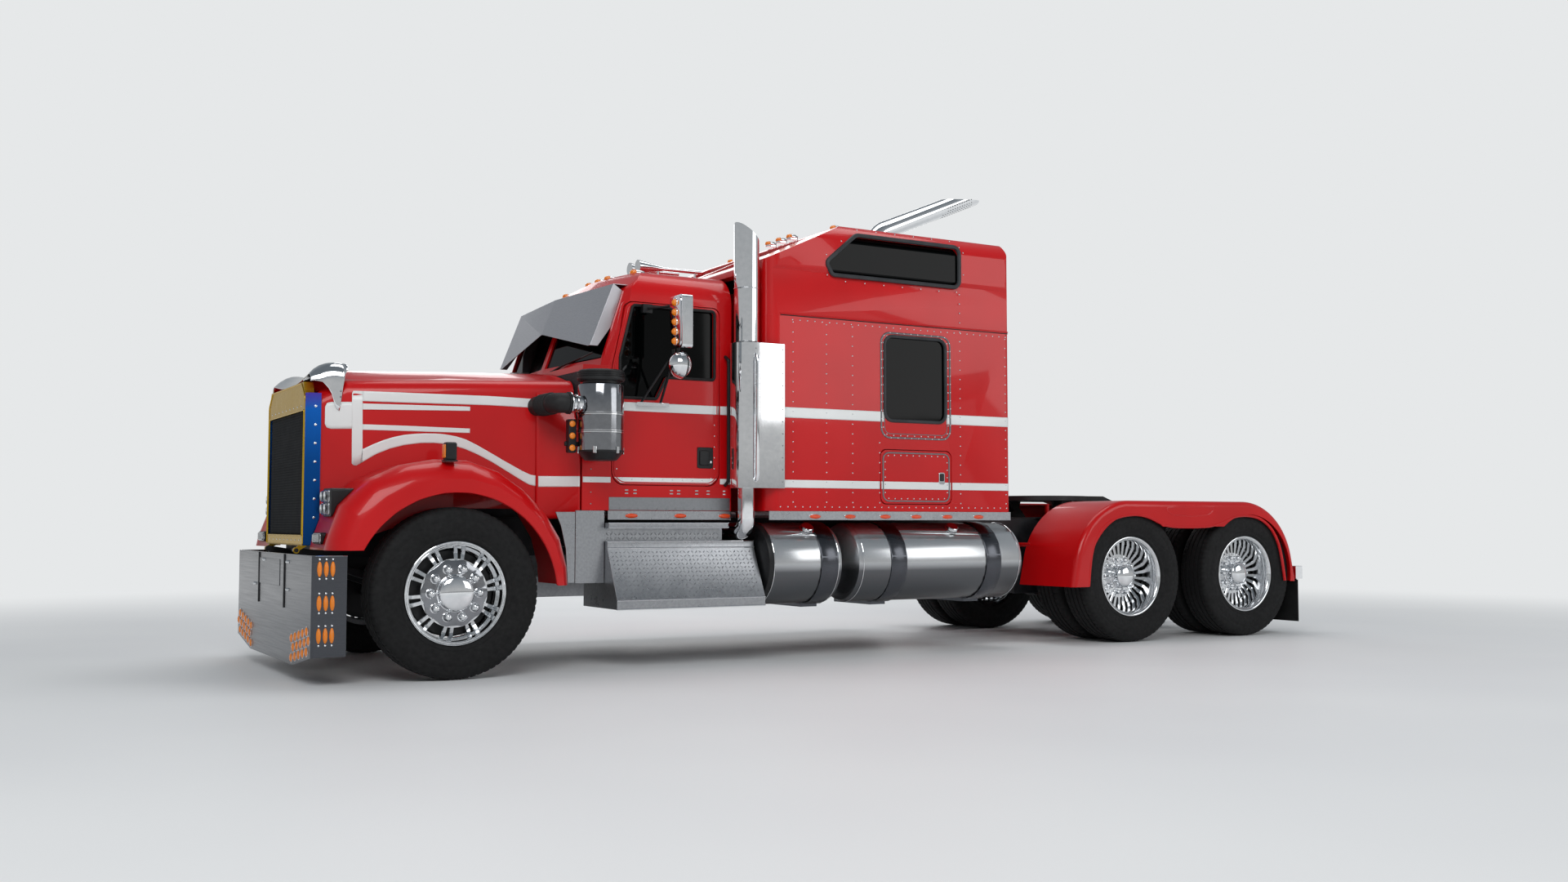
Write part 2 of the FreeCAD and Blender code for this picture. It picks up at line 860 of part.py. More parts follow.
def radiator():
    x = at(radiator_station)
    half = radiator_half_width
    core = block(x, x + radiator_wall, -half, half, radiator_bottom, radiator_top)
    tank = slab([(-half + 60.0, radiator_top), (half - 60.0, radiator_top),
                 (half - 110.0, radiator_top + 70.0), (-half + 110.0, radiator_top + 70.0)], "x",
                x + 10.0, x + radiator_wall - 10.0)
    body = fused([core, tank])
    for envelope in both_sides(rail_envelope()):
        body = body.cut(envelope)
    feet = []
    for side in (-1, 1):
        ends = sorted((side * (rail_half_width - rail_flange), side * (rail_half_width - rail_wall)))
        feet.append(block(x, x + radiator_wall, ends[0], ends[1], rail_bottom + rail_wall,
                          radiator_bottom + 10.0))
        feet.append(block(x, x + radiator_wall, ends[0], ends[1], radiator_bottom,
                          rail_top - rail_wall))
    return fused([largest(body)] + feet)


def rail_envelope():
    return block(at(rail_front), at(tail_station), -rail_half_width, -rail_half_width + rail_flange,
                 rail_bottom, rail_top)


# Bumper: deep flat sheet with wings and cut-off lower corners
def bumper():
    r = bumper_corner_radius
    w = bumper_half_width
    outer = [(at(0), -w, r), (at(0), w, r), (at(bumper_wing_depth), w), (at(bumper_wing_depth), -w)]
    inner = [(at(bumper_wall), -w + bumper_wall, r - bumper_wall),
             (at(bumper_wall), w - bumper_wall, r - bumper_wall),
             (at(bumper_wing_depth) + 1.0, w - bumper_wall),
             (at(bumper_wing_depth) + 1.0, -w + bumper_wall)]
    shell = slab(outer, "z", bumper_bottom, bumper_top)
    shell = shell.cut(slab(inner, "z", bumper_bottom - 1.0, bumper_top + 1.0))
    wedge = slab([(-w - 1.0, bumper_bottom - 1.0), (-w + bumper_corner_cut, bumper_bottom - 1.0),
                  (-w + bumper_corner_cut, bumper_bottom), (-w, bumper_wing_bottom),
                  (-w - 1.0, bumper_wing_bottom)], "x", at(0) - 1.0, at(bumper_wing_depth) + 1.0)
    for cutter in both_sides(wedge):
        shell = shell.cut(cutter)
    return shell


# Hood shell: four sections lofted from the grille to the cowl
def hood_section(station, half_width, crown, sill, inset=0.0):
    shoulder = crown - hood_side_drop
    edge = hood_edge_radius
    w = half_width - inset
    top = crown - inset
    cheek = shoulder + edge * 0.86 - inset
    x = at(station)
    corner = Vector(x, -w + edge, cheek)
    points = [Vector(x, -w, sill), Vector(x, -w, shoulder - inset),
              Vector(x, -w + edge * 0.25, shoulder + edge * 0.60 - inset), corner,
              Vector(x, 0, top)]
    flip = [Vector(x, -p.y, p.z) for p in points]
    return Part.Wire([
        Part.LineSegment(points[0], points[1]).toShape(),
        Part.Arc(points[1], points[2], points[3]).toShape(),
        Part.Arc(points[3], points[4], flip[3]).toShape(),
        Part.Arc(flip[3], flip[2], flip[1]).toShape(),
        Part.LineSegment(flip[1], flip[0]).toShape(),
        Part.LineSegment(flip[0], points[0]).toShape(),
    ])


def hood_loft(inset, overrun):
    sill_front = hood_sill_front - overrun
    sill_rear = hood_sill_rear - overrun
    front = grille_station + grille_depth + seat_gap - overrun
    sections = [
        hood_section(front, hood_front_half_width, hood_front_crown, sill_front, inset),
        hood_section(hood_brow_station, hood_brow_half_width, hood_brow_crown, sill_front, inset),
        hood_section(hood_waist_station, hood_waist_half_width, hood_waist_crown, sill_rear, inset),
        hood_section(hood_rear_station + overrun, hood_rear_half_width, hood_rear_crown,
                     sill_rear, inset),
    ]
    return Part.makeLoft(sections, True, True)


def fender_section(angle, outer_radius):
    # Cross-section of the wheel arch in the radial plane at an angle above the rearward level.
    turn = math.radians(angle)
    inner = -fender_inner_half_width
    face = -fender_half_width
    lip = fender_lip_radius
    t = fender_wall

    def spot(radius, y):
        return Vector(front_axle_x + radius * math.cos(turn), y,
                      fender_centre_height + radius * math.sin(turn))

    bend_start = -1010.0
    drop = outer_radius - lip
    outer_mid = spot(outer_radius - drop * 0.22, face + 52.0)
    inner_mid = spot(outer_radius - drop * 0.22 - t, face + 52.0 + t)
    bend_end = spot(lip + drop * 0.42, face + 4.0)
    bend_end_in = spot(lip + drop * 0.42, face + 4.0 + t)
    return Part.Wire([
        Part.LineSegment(spot(outer_radius, inner), spot(outer_radius, bend_start)).toShape(),
        Part.Arc(spot(outer_radius, bend_start), outer_mid, bend_end).toShape(),
        Part.LineSegment(bend_end, spot(lip, face)).toShape(),
        Part.LineSegment(spot(lip, face), spot(lip, face + t)).toShape(),
        Part.LineSegment(spot(lip, face + t), bend_end_in).toShape(),
        Part.Arc(bend_end_in, inner_mid, spot(outer_radius - t, bend_start)).toShape(),
        Part.LineSegment(spot(outer_radius - t, bend_start),
                         spot(outer_radius - t, inner)).toShape(),
        Part.LineSegment(spot(outer_radius - t, inner), spot(outer_radius, inner)).toShape(),
    ])


def fender_radius(angle):
    # Outer radius of the arch, eased between the named radii round the wheel.
    marks = [(0.0, fender_rear_radius), (42.0, fender_rear_shoulder_radius),
             (90.0, fender_crown_radius), (132.0, fender_front_shoulder_radius),
             (168.0, fender_front_radius)]
    for (low, start), (high, end) in zip(marks, marks[1:]):
        if angle <= high:
            share = (angle - low) / (high - low)
            ease = (1 - math.cos(math.pi * share)) / 2
            return start + (end - start) * ease
    return fender_front_radius


def fender():
    last = 168.0
    sections = [fender_section(last * step / fender_sections, fender_radius(last * step
                                                                            / fender_sections))
                for step in range(fender_sections + 1)]
    arch = Part.makeLoft(sections, True, True)
    reach = 2 * fender_front_shoulder_radius
    below_front = block(front_axle_x - reach, front_axle_x, -reach, 0, 0, fender_front_bottom)
    below_rear = block(front_axle_x, front_axle_x + reach, -reach, 0, 0, fender_rear_bottom)
    return arch.cut(below_front).cut(below_rear)


def hood_shell():
    shell = hood_loft(0.0, 0.0).cut(hood_loft(hood_wall, 60.0))
    core = hood_loft(hood_wall, 0.0)
    parts = [shell]
    for side in both_sides(fender()):
        parts.append(largest(side.cut(core)))
    return fused(parts)


# Grille surround, mesh and the scoop above it
def grille_outline(inset):
    w = grille_half_width - inset
    low = grille_bottom + inset
    high = grille_top - inset
    cut = grille_corner
    return [(-w, low, 12.0), (w, low, 12.0), (w, high - cut), (w - cut * 0.55, high),
            (-w + cut * 0.55, high), (-w, high - cut)]


def grille_surround():
    front = at(grille_station)
    frame = slab(grille_outline(0.0), "x", front, front + grille_depth)
    w = grille_mouth_half_width
    mouth = slab(rectangle(-w, w, grille_mouth_bottom, grille_mouth_top, 10.0), "x",
                 front - 1.0, front + grille_depth + 1.0)
    frame = frame.cut(mouth)
    lugs = []
    for side in (-1, 1):
        y = side * hinge_half_width
        y_low = y - hinge_lug_wall / 2
        eye = disc_y(hinge_x, hinge_height, hinge_lug_radius, y_low, y_low + hinge_lug_wall)
        strap = slab([(hinge_x - hinge_lug_radius, hinge_height),
                      (hinge_x + hinge_lug_radius, hinge_height),
                      (front + grille_depth, grille_bottom + 4.0), (front, grille_bottom + 4.0)],
                     "y", y_low, y_low + hinge_lug_wall)
        lugs += [eye, strap]
    body = fused([frame] + lugs)
    for side in (-1, 1):
        y = side * hinge_half_width
        body = body.cut(disc_y(hinge_x, hinge_height, hinge_pin_radius + bearing_clearance,
                               y - hinge_lug_wall, y + hinge_lug_wall))
    return body


def grille_mesh():
    # Diamond lattice of crossed flat bars inside a thin edge frame.
    half = grille_mouth_half_width - seat_gap
    low = grille_mouth_bottom + seat_gap
    high = grille_mouth_top - seat_gap
    x = at(grille_station) + mesh_setback
    field = slab(rectangle(-half, half, low, high, 10.0), "x", x, x + mesh_wall)
    window = slab(rectangle(-half + mesh_bar, half - mesh_bar, low + mesh_bar, high - mesh_bar),
                  "x", x - 1.0, x + mesh_wall + 1.0)
    edge = field.cut(window)
    reach = (high - low) * 0.58
    bars = []
    count = int(2 * (half + reach) / mesh_pitch) + 1
    for index in range(count):
        middle = -half - reach + (index + 0.5) * mesh_pitch
        for lean in (-1, 1):
            foot = middle - lean * reach / 2
            head = middle + lean * reach / 2
            bars.append(slab([(foot - mesh_bar / 2, low), (foot + mesh_bar / 2, low),
                              (head + mesh_bar / 2, high), (head - mesh_bar / 2, high)],
                             "x", x, x + mesh_wall))
    lattice = bars[0].multiFuse(bars[1:]).common(field)
    return fused([edge, lattice])


def hood_scoop():
    # Polished deflector that stands off the hood's front edge and turns up at its nose.
    front = scoop_station
    rear = scoop_rear_station
    gap = seat_gap

    def band(station, half_width, crown, lift):
        x = at(station)
        edge = hood_edge_radius
        side = half_width + gap + lift
        top = crown + gap + lift
        shoulder = crown - hood_side_drop
        wall = scoop_wall
        upper = [Vector(x, -side, shoulder), Vector(x, -side + edge * 0.25, shoulder + edge * 0.60 + lift),
                 Vector(x, -side + edge, shoulder + edge * 0.86 + lift), Vector(x, 0, top)]
        lower = [Vector(x, -side + wall, shoulder),
                 Vector(x, -side + edge * 0.25 + wall, shoulder + edge * 0.60 + lift - wall),
                 Vector(x, -side + edge + wall, shoulder + edge * 0.86 + lift - wall),
                 Vector(x, 0, top - wall)]

        def flipped(points):
            return [Vector(p.x, -p.y, p.z) for p in points]

        upper_far = flipped(upper)
        lower_far = flipped(lower)
        return Part.Wire([
            Part.Arc(upper[0], upper[1], upper[2]).toShape(),
            Part.Arc(upper[2], upper[3], upper_far[2]).toShape(),
            Part.Arc(upper_far[2], upper_far[1], upper_far[0]).toShape(),
            Part.LineSegment(upper_far[0], lower_far[0]).toShape(),
            Part.Arc(lower_far[0], lower_far[1], lower_far[2]).toShape(),
            Part.Arc(lower_far[2], lower[3], lower[2]).toShape(),
            Part.Arc(lower[2], lower[1], lower[0]).toShape(),
            Part.LineSegment(lower[0], upper[0]).toShape(),
        ])

    middle = (front + rear) / 2
    sections = [
        band(front, hood_front_half_width, hood_front_crown + 40.0, scoop_rise + scoop_wall),
        band(middle, (hood_front_half_width + hood_brow_half_width) / 2,
             (hood_front_crown + hood_brow_crown) / 2 + 14.0, scoop_rise * 0.4 + scoop_wall),
        band(rear, hood_brow_half_width, hood_brow_crown, scoop_wall),
    ]
    skin = Part.makeLoft(sections, True, True)
    skin = skin.cut(hood_loft(-seat_gap, 0.0))
    notch = slab([(at(front) - 60.0, hood_brow_crown - hood_side_drop - 160.0),
                  (at(rear) + 60.0, hood_brow_crown - hood_side_drop - 160.0),
                  (at(rear) + 60.0, hood_brow_crown - hood_side_drop + 30.0),
                  (at(front) - 60.0, hood_front_crown - hood_side_drop + 30.0)],
                 "y", -bumper_half_width, bumper_half_width)
    return largest(skin.cut(notch))


def headlamps():
    arch = fender()
    reach = 160.0
    y_low = -lamp_pod_half_width - lamp_pod_width / 2
    pod = slab(rectangle(y_low, y_low + lamp_pod_width, lamp_pod_bottom, lamp_pod_top, 22.0),
               "x", at(lamp_pod_station), at(lamp_pod_station) + reach)
    low_pod = slab(rectangle(y_low, y_low + lamp_pod_width, low_lamp_bottom, low_lamp_top, 18.0),
                   "x", at(low_lamp_station), at(low_lamp_station) + reach)
    lamps = []
    for body in (pod, low_pod):
        pieces = body.cut(arch).Solids
        lamps += both_sides(min(pieces, key=lambda solid: solid.CenterOfMass.x))
    return lamps


# Cab
def cab_plan(level):
    # Plan outline of the cab at a height, with the windscreen's slight vee at the front.
    share = min(level - cowl_top, screen_top - cowl_top) / (screen_top - cowl_top)
    lean = max(level - screen_top, 0) * roof_front_lean
    middle = screen_base_station + share * (screen_top_station - screen_base_station) + lean
    corner = screen_base_corner_station + share * (screen_top_corner_station
                                                   - screen_base_corner_station) + lean
    w = cab_half_width
    post_half = w - screen_post * 2
    return [Vector(at(middle), 0, level), Vector(at(corner), post_half, level),
            Vector(at(corner) + screen_post, w, level), Vector(at(cab_rear_station), w, level),
            Vector(at(cab_rear_station), -w, level), Vector(at(corner) + screen_post, -w, level),
            Vector(at(corner), -post_half, level)]


def cab_section(inset):
    w = cab_half_width - inset
    side_top = cab_side_top
    edge = cab_roof_edge_half_width
    low = cab_bottom + (inset if inset > 0 else 0)
    half = [Vector(0, -w, low), Vector(0, -w, side_top), Vector(0, -edge, cab_roof_edge - inset),
            Vector(0, 0, cab_roof_crown - inset)]
    mid = Vector(0, -w + 52.0, side_top + (cab_roof_edge - inset - side_top) * 0.66)
    far = [Vector(0, -p.y, p.z) for p in half]
    far_mid = Vector(0, -mid.y, mid.z)
    return Part.Wire([
        Part.LineSegment(half[0], half[1]).toShape(),
        Part.Arc(half[1], mid, half[2]).toShape(),
        Part.Arc(half[2], half[3], far[2]).toShape(),
        Part.Arc(far[2], far_mid, far[1]).toShape(),
        Part.LineSegment(far[1], far[0]).toShape(),
        Part.LineSegment(far[0], half[0]).toShape(),
    ])


def cab_volume(inset):
    start = cab_front_station + inset
    span = cab_rear_station - cab_front_station - 2 * inset
    section = Part.Face(cab_section(inset))
    section.translate(Vector(at(start), 0, 0))
    long_body = section.extrude(Vector(span, 0, 0))
    high = cab_roof_crown + 100.0
    upper = Part.makeLoft([Part.makePolygon(cab_plan(z) + cab_plan(z)[:1])
                           for z in (cowl_top - inset, screen_top, high)], True, True)
    upper.translate(Vector(inset, 0, 0))
    lower = block(at(cab_front_station) - 1.0, at(cab_rear_station) + 1.0,
                  -cab_half_width - 1.0, cab_half_width + 1.0, 0, cowl_top - inset)
    return long_body.common(fused([upper, lower]))


def door_outline(gap):
    low = door_bottom + gap
    high = door_top - gap
    front = at(door_front_station) + gap
    rear = at(door_rear_station) - gap
    lean = 105.0
    return [(front, low, door_corner_radius), (rear, low, door_corner_radius),
            (rear, high, door_corner_radius * 0.6), (front + lean, high, door_corner_radius * 0.6),
            (front, cowl_top, door_corner_radius)]


def door_window_outline(gap):
    front = at(door_window_front_station) - gap
    rear = at(door_window_rear_station) + gap
    dip = at(door_window_dip_station) + gap
    notch = dip + 78.0
    return [(front, door_window_dip - gap, 18.0), (dip, door_window_dip - gap, 26.0),
            (notch, door_window_sill - gap, 20.0), (rear, door_window_sill - gap, 24.0),
            (rear, door_window_top + gap, 26.0), (front + 92.0, door_window_top + gap, 26.0),
            (front, cowl_top + 60.0, 30.0)]


def screen_cutter(side):
    # Opening for one pane, taken square to the pane's plane.
    base_mid = Vector(at(screen_base_station), 0, cowl_top)
    base_corner = Vector(at(screen_base_corner_station), side * (cab_half_width - screen_post * 2),
                         cowl_top)
    top_mid = Vector(at(screen_top_station), 0, screen_top)
    across = base_corner.sub(base_mid)
    up = top_mid.sub(base_mid)
    normal = across.cross(up).normalize()
    if normal.x > 0:
        normal = normal * -1
    width = across.Length
    height = up.Length
    across.normalize()
    up.normalize()
    m = screen_margin
    corners = [base_mid + across * screen_post + up * m,
               base_mid + across * (width - m * 0.4) + up * m,
               base_mid + across * (width - m * 0.4) + up * (height - m),
               base_mid + across * screen_post + up * (height - m)]
    return corners, normal


def screen_slab(side, front, back):
    corners, normal = screen_cutter(side)
    face = Part.Face(Part.makePolygon([p + normal * front for p in corners]
                                      + [corners[0] + normal * front]))
    return face.extrude(normal * (back - front))


def door_stop(door_shape, seat_y):
    # Lip round an opening that the closed door's inner face rests on.
    back = seat_y + door_stop_wall
    root = slab(door_shape(-door_stop_wall), "y", seat_y - door_stop_wall, back)
    root = root.cut(slab(door_shape(0.0), "y", seat_y - 2 * door_stop_wall, seat_y + seat_gap))
    return root.cut(slab(door_shape(door_stop_width), "y", seat_y - door_stop_wall, back + 1.0))


def cab_shell():
    shell = cab_volume(0.0).cut(cab_volume(cab_wall))
    belly = block(at(cab_front_station) - 1.0, at(cab_rear_station) - cab_wall,
                  -cab_half_width + cab_wall, cab_half_width - cab_wall,
                  cab_bottom - 1.0, cab_bottom + cab_wall * 2)
    nose_open = block(at(cab_front_station) - 1.0, at(cab_front_station) + cab_wall + 1.0,
                      -cab_half_width + cab_wall, cab_half_width - cab_wall, cab_bottom - 1.0,
                      cowl_top - cab_wall)
    walk = block(at(cab_rear_station) - 2 * cab_wall, at(cab_rear_station) + 1.0, -walk_half_width,
                 walk_half_width, walk_bottom, walk_top)
    shell = shell.cut(belly).cut(nose_open).cut(walk)
    reach = cab_half_width + 1.0
    for low in (-reach, cab_half_width - door_wall - 14.0):
        shell = shell.cut(slab(door_outline(0.0), "y", low, low + door_wall + 15.0))
    for side in (-1, 1):
        shell = shell.cut(screen_slab(side, 80.0, -120.0))
    stop = door_stop(door_outline, -cab_half_width + door_wall)
    return fused([largest(shell)] + both_sides(stop))


def cab_floor():
    half = cab_half_width - cab_wall
    front = at(cab_front_station) + bulkhead_wall
    rear = at(cab_rear_station) - cab_wall
    floor = block(at(cab_front_station), rear, -half, half, cab_bottom, cab_bottom + floor_wall)
    bulkhead = block(at(cab_front_station), front, -half, half, cab_bottom + floor_wall,
                     cowl_top - cab_wall)
    dash = slab([(front, dash_bottom), (front + dash_depth - dash_lean, dash_bottom + 2 * dash_lean),
                 (front + dash_depth, dash_nose_height), (front + dash_brow_depth, dash_brow_height),
                 (front, dash_top)], "y", -half + dash_side_gap, half - dash_side_gap)
    feet = []
    for x in (at(cab_front_station) + cab_foot_front_inset, rear - cab_foot_rear_inset):
        for side in (-1, 1):
            y = side * (rail_half_width - rail_flange / 2)
            feet.append(post(x, y, cab_foot_radius, rail_top, cab_bottom))
    hub = Vector(front + steering_wheel_reach, -seat_middle, steering_wheel_height)
    column_foot = Vector(front + steering_column_reach, -seat_middle, steering_column_foot_height)
    axis = hub.sub(column_foot)
    column = rod(column_foot, hub, steering_column_radius)
    r = steering_rim_radius
    rim = flat_sided([(steering_wheel_radius - r, 0.0), (steering_wheel_radius, -r),
                      (steering_wheel_radius + r, 0.0), (steering_wheel_radius, r)], 20, hub, axis)
    spokes = []
    across = Vector(0, 1, 0)
    upward = axis.cross(across).normalize()
    for angle in (90, 210, 330):
        ray = across * math.cos(math.radians(angle)) + upward * math.sin(math.radians(angle))
        spokes.append(rod(hub, hub + ray * steering_wheel_radius, steering_spoke_radius))
    return fused([floor, bulkhead, dash, column, rim] + feet + spokes)


def windows():
    panes = []
    for side in (-1, 1):
        panes.append(screen_slab(side, -14.0, -14.0 - glass_wall))
    depth = 12.0
    low_pane = slab(side_window_outline(0.0), "y", -sleeper_half_width + depth,
                    -sleeper_half_width + depth + glass_wall)
    panes += both_sides(low_pane)
    upper = slab(upper_window_outline(0.0), "y", -sleeper_half_width - 50.0, -700.0)
    panes += both_sides(largest(upper.common(roof_skin(depth, depth + glass_wall))))
    front = slab(front_window_outline(), "z", sleeper_brow_height, sleeper_roof_edge)
    panes += both_sides(largest(front.common(roof_skin(depth, depth + glass_wall))))
    return panes


# Doors with glass and mirrors
def door():
    y_out = -cab_half_width
    panel = slab(door_outline(door_gap), "y", y_out, y_out + door_wall)
    panel = panel.cut(slab(door_window_outline(0.0), "y", y_out - 1.0, y_out + door_wall + 1.0))
    recess = block(at(handle_front_station), at(handle_rear_station), y_out - 1.0,
                   y_out + handle_depth, handle_bottom, handle_top)
    pocket = block(at(door_front_station) + 90.0, at(door_rear_station) - 90.0,
                   y_out + door_wall - 16.0, y_out + door_wall + 1.0, door_bottom + 110.0,
                   door_window_dip - 60.0)
    return panel.cut(recess).cut(pocket)


def door_glass():
    y_mid = -cab_half_width + door_wall / 2
    return slab(door_window_outline(-seat_gap), "y", y_mid, y_mid + glass_wall)


def mirror():
    x = at(mirror_station)
    y = -mirror_half_width
    half = mirror_width / 2
    head = slab(rectangle(y - half, y + half, mirror_bottom, mirror_top, 22.0), "x",
                x - mirror_depth / 2, x + mirror_depth / 2)
    r = mirror_ball_radius
    ball = flat_sided([(0, 12.0), (r * 0.93, 12.0), (r, 0.0), (r * 0.92, -r * 0.34),
                       (r * 0.62, -r * 0.74), (0, -r * 0.94)], 20,
                      Vector(x, y, mirror_ball_height), Vector(1, 0, 0))
    stem = post(x - 20.0, y, mirror_arm_radius, mirror_ball_height, mirror_bottom + 20.0)
    skin = -cab_half_width
    half_foot = mirror_foot_wall / 2
    foot = block(at(mirror_foot_front_station), at(mirror_foot_rear_station), skin - mirror_foot_reach,
                 skin, mirror_foot_height - half_foot, mirror_foot_height + half_foot)
    bracket = block(at(mirror_foot_front_station) + 40.0, at(mirror_foot_front_station) + 110.0,
                    skin - mirror_foot_reach, skin, mirror_upper_height - 30.0,
                    mirror_upper_height + 30.0)
    r = mirror_arm_radius
    foot_y = skin - mirror_foot_reach / 2
    post_y = y + half + 26.0
    post_low = mirror_foot_height + 300.0
    upright = post(x, post_y, r, post_low - 2 * r, mirror_upper_height + 2 * r)
    arm_r = r * 0.8
    low_arm = rod(Vector(at(mirror_foot_rear_station) - 60.0, foot_y, mirror_foot_height),
                  Vector(x, post_y, post_low - r), arm_r)
    front_arm = rod(Vector(at(mirror_foot_front_station) + 30.0, foot_y, mirror_foot_height),
                    Vector(x, post_y, post_low + 3 * r), arm_r)
    top_arm = rod(Vector(at(mirror_foot_front_station) + 75.0, foot_y, mirror_upper_height),
                  Vector(x, post_y, mirror_upper_height), arm_r)
    clips = []
    for z in (mirror_bottom + 60.0, mirror_top - 70.0):
        clips.append(rod(Vector(x, post_y, z), Vector(x, y + half - 5.0, z), arm_r))
    return fused([head, ball, stem, foot, bracket, upright, low_arm, front_arm, top_arm] + clips)


# Visor, horns and the roof lamps
def visor():
    # Bowed sheet with a wide mouth, closed by cheeks at the sides and a strip along the top.
    half = visor_half_width
    x_top = at(visor_top_station)
    x_low = at(visor_low_station)

    def edge(x, z):
        points = [Vector(x, -half, z), Vector(x - visor_bow, 0, z), Vector(x, half, z)]
        back = [p + Vector(visor_wall, 0, 0) for p in reversed(points)]
        return Part.makePolygon(points + back + points[:1])

    sheet = Part.makeLoft([edge(x_low, visor_bottom), edge(x_top, visor_top)], True, True)
    sheet = sheet.cut(slab([(-half + visor_corner, visor_bottom - 1.0),
                            (half - visor_corner, visor_bottom - 1.0),
                            (0, visor_mouth_top, 2 * visor_bow)],
                           "x", x_low - 2 * visor_bow, x_top))
    cheek = slab([(x_low, visor_bottom), (x_low + visor_cheek_width, visor_bottom),
                  (at(visor_cheek_rear_station), visor_cheek_rear_height), (x_top, visor_top)],
                 "y", -half, -half + visor_wall)
    reach = at(visor_cheek_rear_station)
    lid = slab([(x_top, -half), (x_top - visor_bow, 0), (x_top, half), (reach, half),
                (reach, -half)], "z", visor_top - visor_wall, visor_top)
    body = fused([sheet, lid] + both_sides(cheek))
    return largest(body.cut(cab_volume(-seat_gap)))


def horn(y, length):
    mouth_x = at(horn_station)
    z = cab_roof_crown + horn_rise
    cone = Part.makeCone(horn_mouth_radius, horn_tube_radius, length * 0.4, Vector(mouth_x, y, z),
                         Vector(1, 0, 0))
    tube = rod(Vector(mouth_x + length * 0.4, y, z), Vector(mouth_x + length, y, z), horn_tube_radius)
    feet = []
    for share in (0.32, 0.9):
        x = mouth_x + length * share
        feet.append(post(x, y, horn_foot_radius, roof_height(abs(y) - horn_foot_radius) + seat_gap, z))
    return fused([cone, tube] + feet)


def roof_height(y):
    # Height of the crowned cab roof over a point at half width y.
    edge = cab_roof_edge_half_width
    rise = cab_roof_crown - cab_roof_edge
    radius = (edge * edge + rise * rise) / (2 * rise)
    return cab_roof_crown - radius + math.sqrt(radius * radius - y * y)


def horns():
    return [horn(-horn_half_width, horn_length), horn(-horn_half_width + horn_spacing, horn_short_length)]


def lamp(x, y, z):
    return Part.makeCylinder(roof_lamp_radius, roof_lamp_height, Vector(x, y, z))


def marker_lamps():
    lamps = []
    for y in (-roof_lamp_half_width, -roof_lamp_pitch, 0.0, roof_lamp_pitch, roof_lamp_half_width):
        lamps.append(lamp(at(roof_lamp_station), y, roof_height(abs(y) + roof_lamp_radius) + seat_gap))
    return [solid.cut(cab_volume(0.0)) for solid in lamps]


# Air cleaners and their elbows
def air_cleaner():
    x = at(cleaner_station)
    y = -cleaner_half_width
    cap_lip = 8.0
    body = post(x, y, cleaner_radius, cleaner_bottom, cleaner_top)
    bowl = Part.makeCone(cleaner_radius * 0.72, cleaner_radius, 60.0,
                         Vector(x, y, cleaner_bottom - 60.0))
    neck = post(x, y, cleaner_radius * 0.8, cleaner_top, cleaner_cap_bottom)
    cap = post(x, y, cleaner_cap_radius, cleaner_cap_bottom, cleaner_cap_top - cap_lip)
    lid = Part.makeCone(cleaner_cap_radius, cleaner_cap_radius - 2 * cap_lip, cap_lip,
                        Vector(x, y, cleaner_cap_top - cap_lip))
    stub = rod(Vector(x, y, stub_height),
               Vector(x - cleaner_radius - stub_reach, y, stub_height), stub_radius)
    shelf_z = (cleaner_bottom + cleaner_top) / 2
    shelf = block(x - 45.0, x + 45.0, y, -cab_half_width, shelf_z - 150.0, shelf_z - 120.0)
    shelf_high = shelf.copy()
    shelf_high.translate(Vector(0, 0, 270.0))
    bar_x = at(lamp_bar_station)
    bar_y = -lamp_bar_half_width
    bar = block(bar_x - 12.0, bar_x + 12.0, bar_y - 26.0, bar_y + 26.0, lamp_bar_bottom, lamp_bar_top - 48.0)
    arm_z = lamp_bar_bottom + 60.0
    arm = block(bar_x - 6.0, x, bar_y - 10.0, bar_y + 10.0, arm_z - 15.0, arm_z + 15.0)
    return fused([body, bowl, neck, cap, lid, stub, shelf, shelf_high, bar, arm])


def hood_half_width_at(station):
    share = (station - hood_waist_station) / (hood_rear_station - hood_waist_station)
    return hood_waist_half_width + share * (hood_rear_half_width - hood_waist_half_width)


def intake_elbow():
    # Rubber elbow on the hood's side; it parts from the canister's stub when the hood tilts.
    mouth = at(cleaner_station) - cleaner_radius - stub_reach - knuckle_gap * 2
    y_out = -cleaner_half_width
    corner_x = at(elbow_front_station) + elbow_radius
    y_in = -hood_half_width_at(elbow_front_station) + 40.0
    path = [Vector(mouth, y_out, stub_height), Vector(corner_x, y_out, stub_height),
            Vector(corner_x, y_in, stub_height)]
    elbow = bent_tube(path, elbow_radius * 1.05, elbow_radius, elbow_radius - 8.0)
    return largest(elbow.cut(hood_loft(-seat_gap, 0.0)))


# Sleeper
def sleeper_plan(level, inset, half_width, front):
    r = max(sleeper_corner_radius - inset, 5.0)
    return outline([(at(front) + inset, -half_width + inset, r),
                    (at(sleeper_rear_station) - inset, -half_width + inset, r * 0.4),
                    (at(sleeper_rear_station) - inset, half_width - inset, r * 0.4),
                    (at(front) + inset, half_width - inset, r)], "z", level)


def side_window_outline(gap):
    return rectangle(at(side_window_front_station) - gap, at(side_window_rear_station) + gap,
                     side_window_bottom - gap, side_window_top + gap, side_window_radius + gap)


def upper_window_outline(gap):
    front = at(upper_window_front_station) - gap
    rear = at(upper_window_rear_station) + gap
    low = upper_window_bottom - gap
    high = upper_window_top + gap
    return [(front + 48.0, low, 30.0), (rear, low, 46.0), (rear, high, 46.0),
            (front + 250.0, high, 60.0), (front, low + 76.0, 30.0)]


def front_window_outline():
    rear = at(sleeper_roof_front_station) - 150.0
    front = at(sleeper_brow_station) + 210.0
    return [(front, -760.0, 50.0), (rear, -820.0, 50.0), (rear, -40.0, 40.0), (front, -40.0, 40.0)]


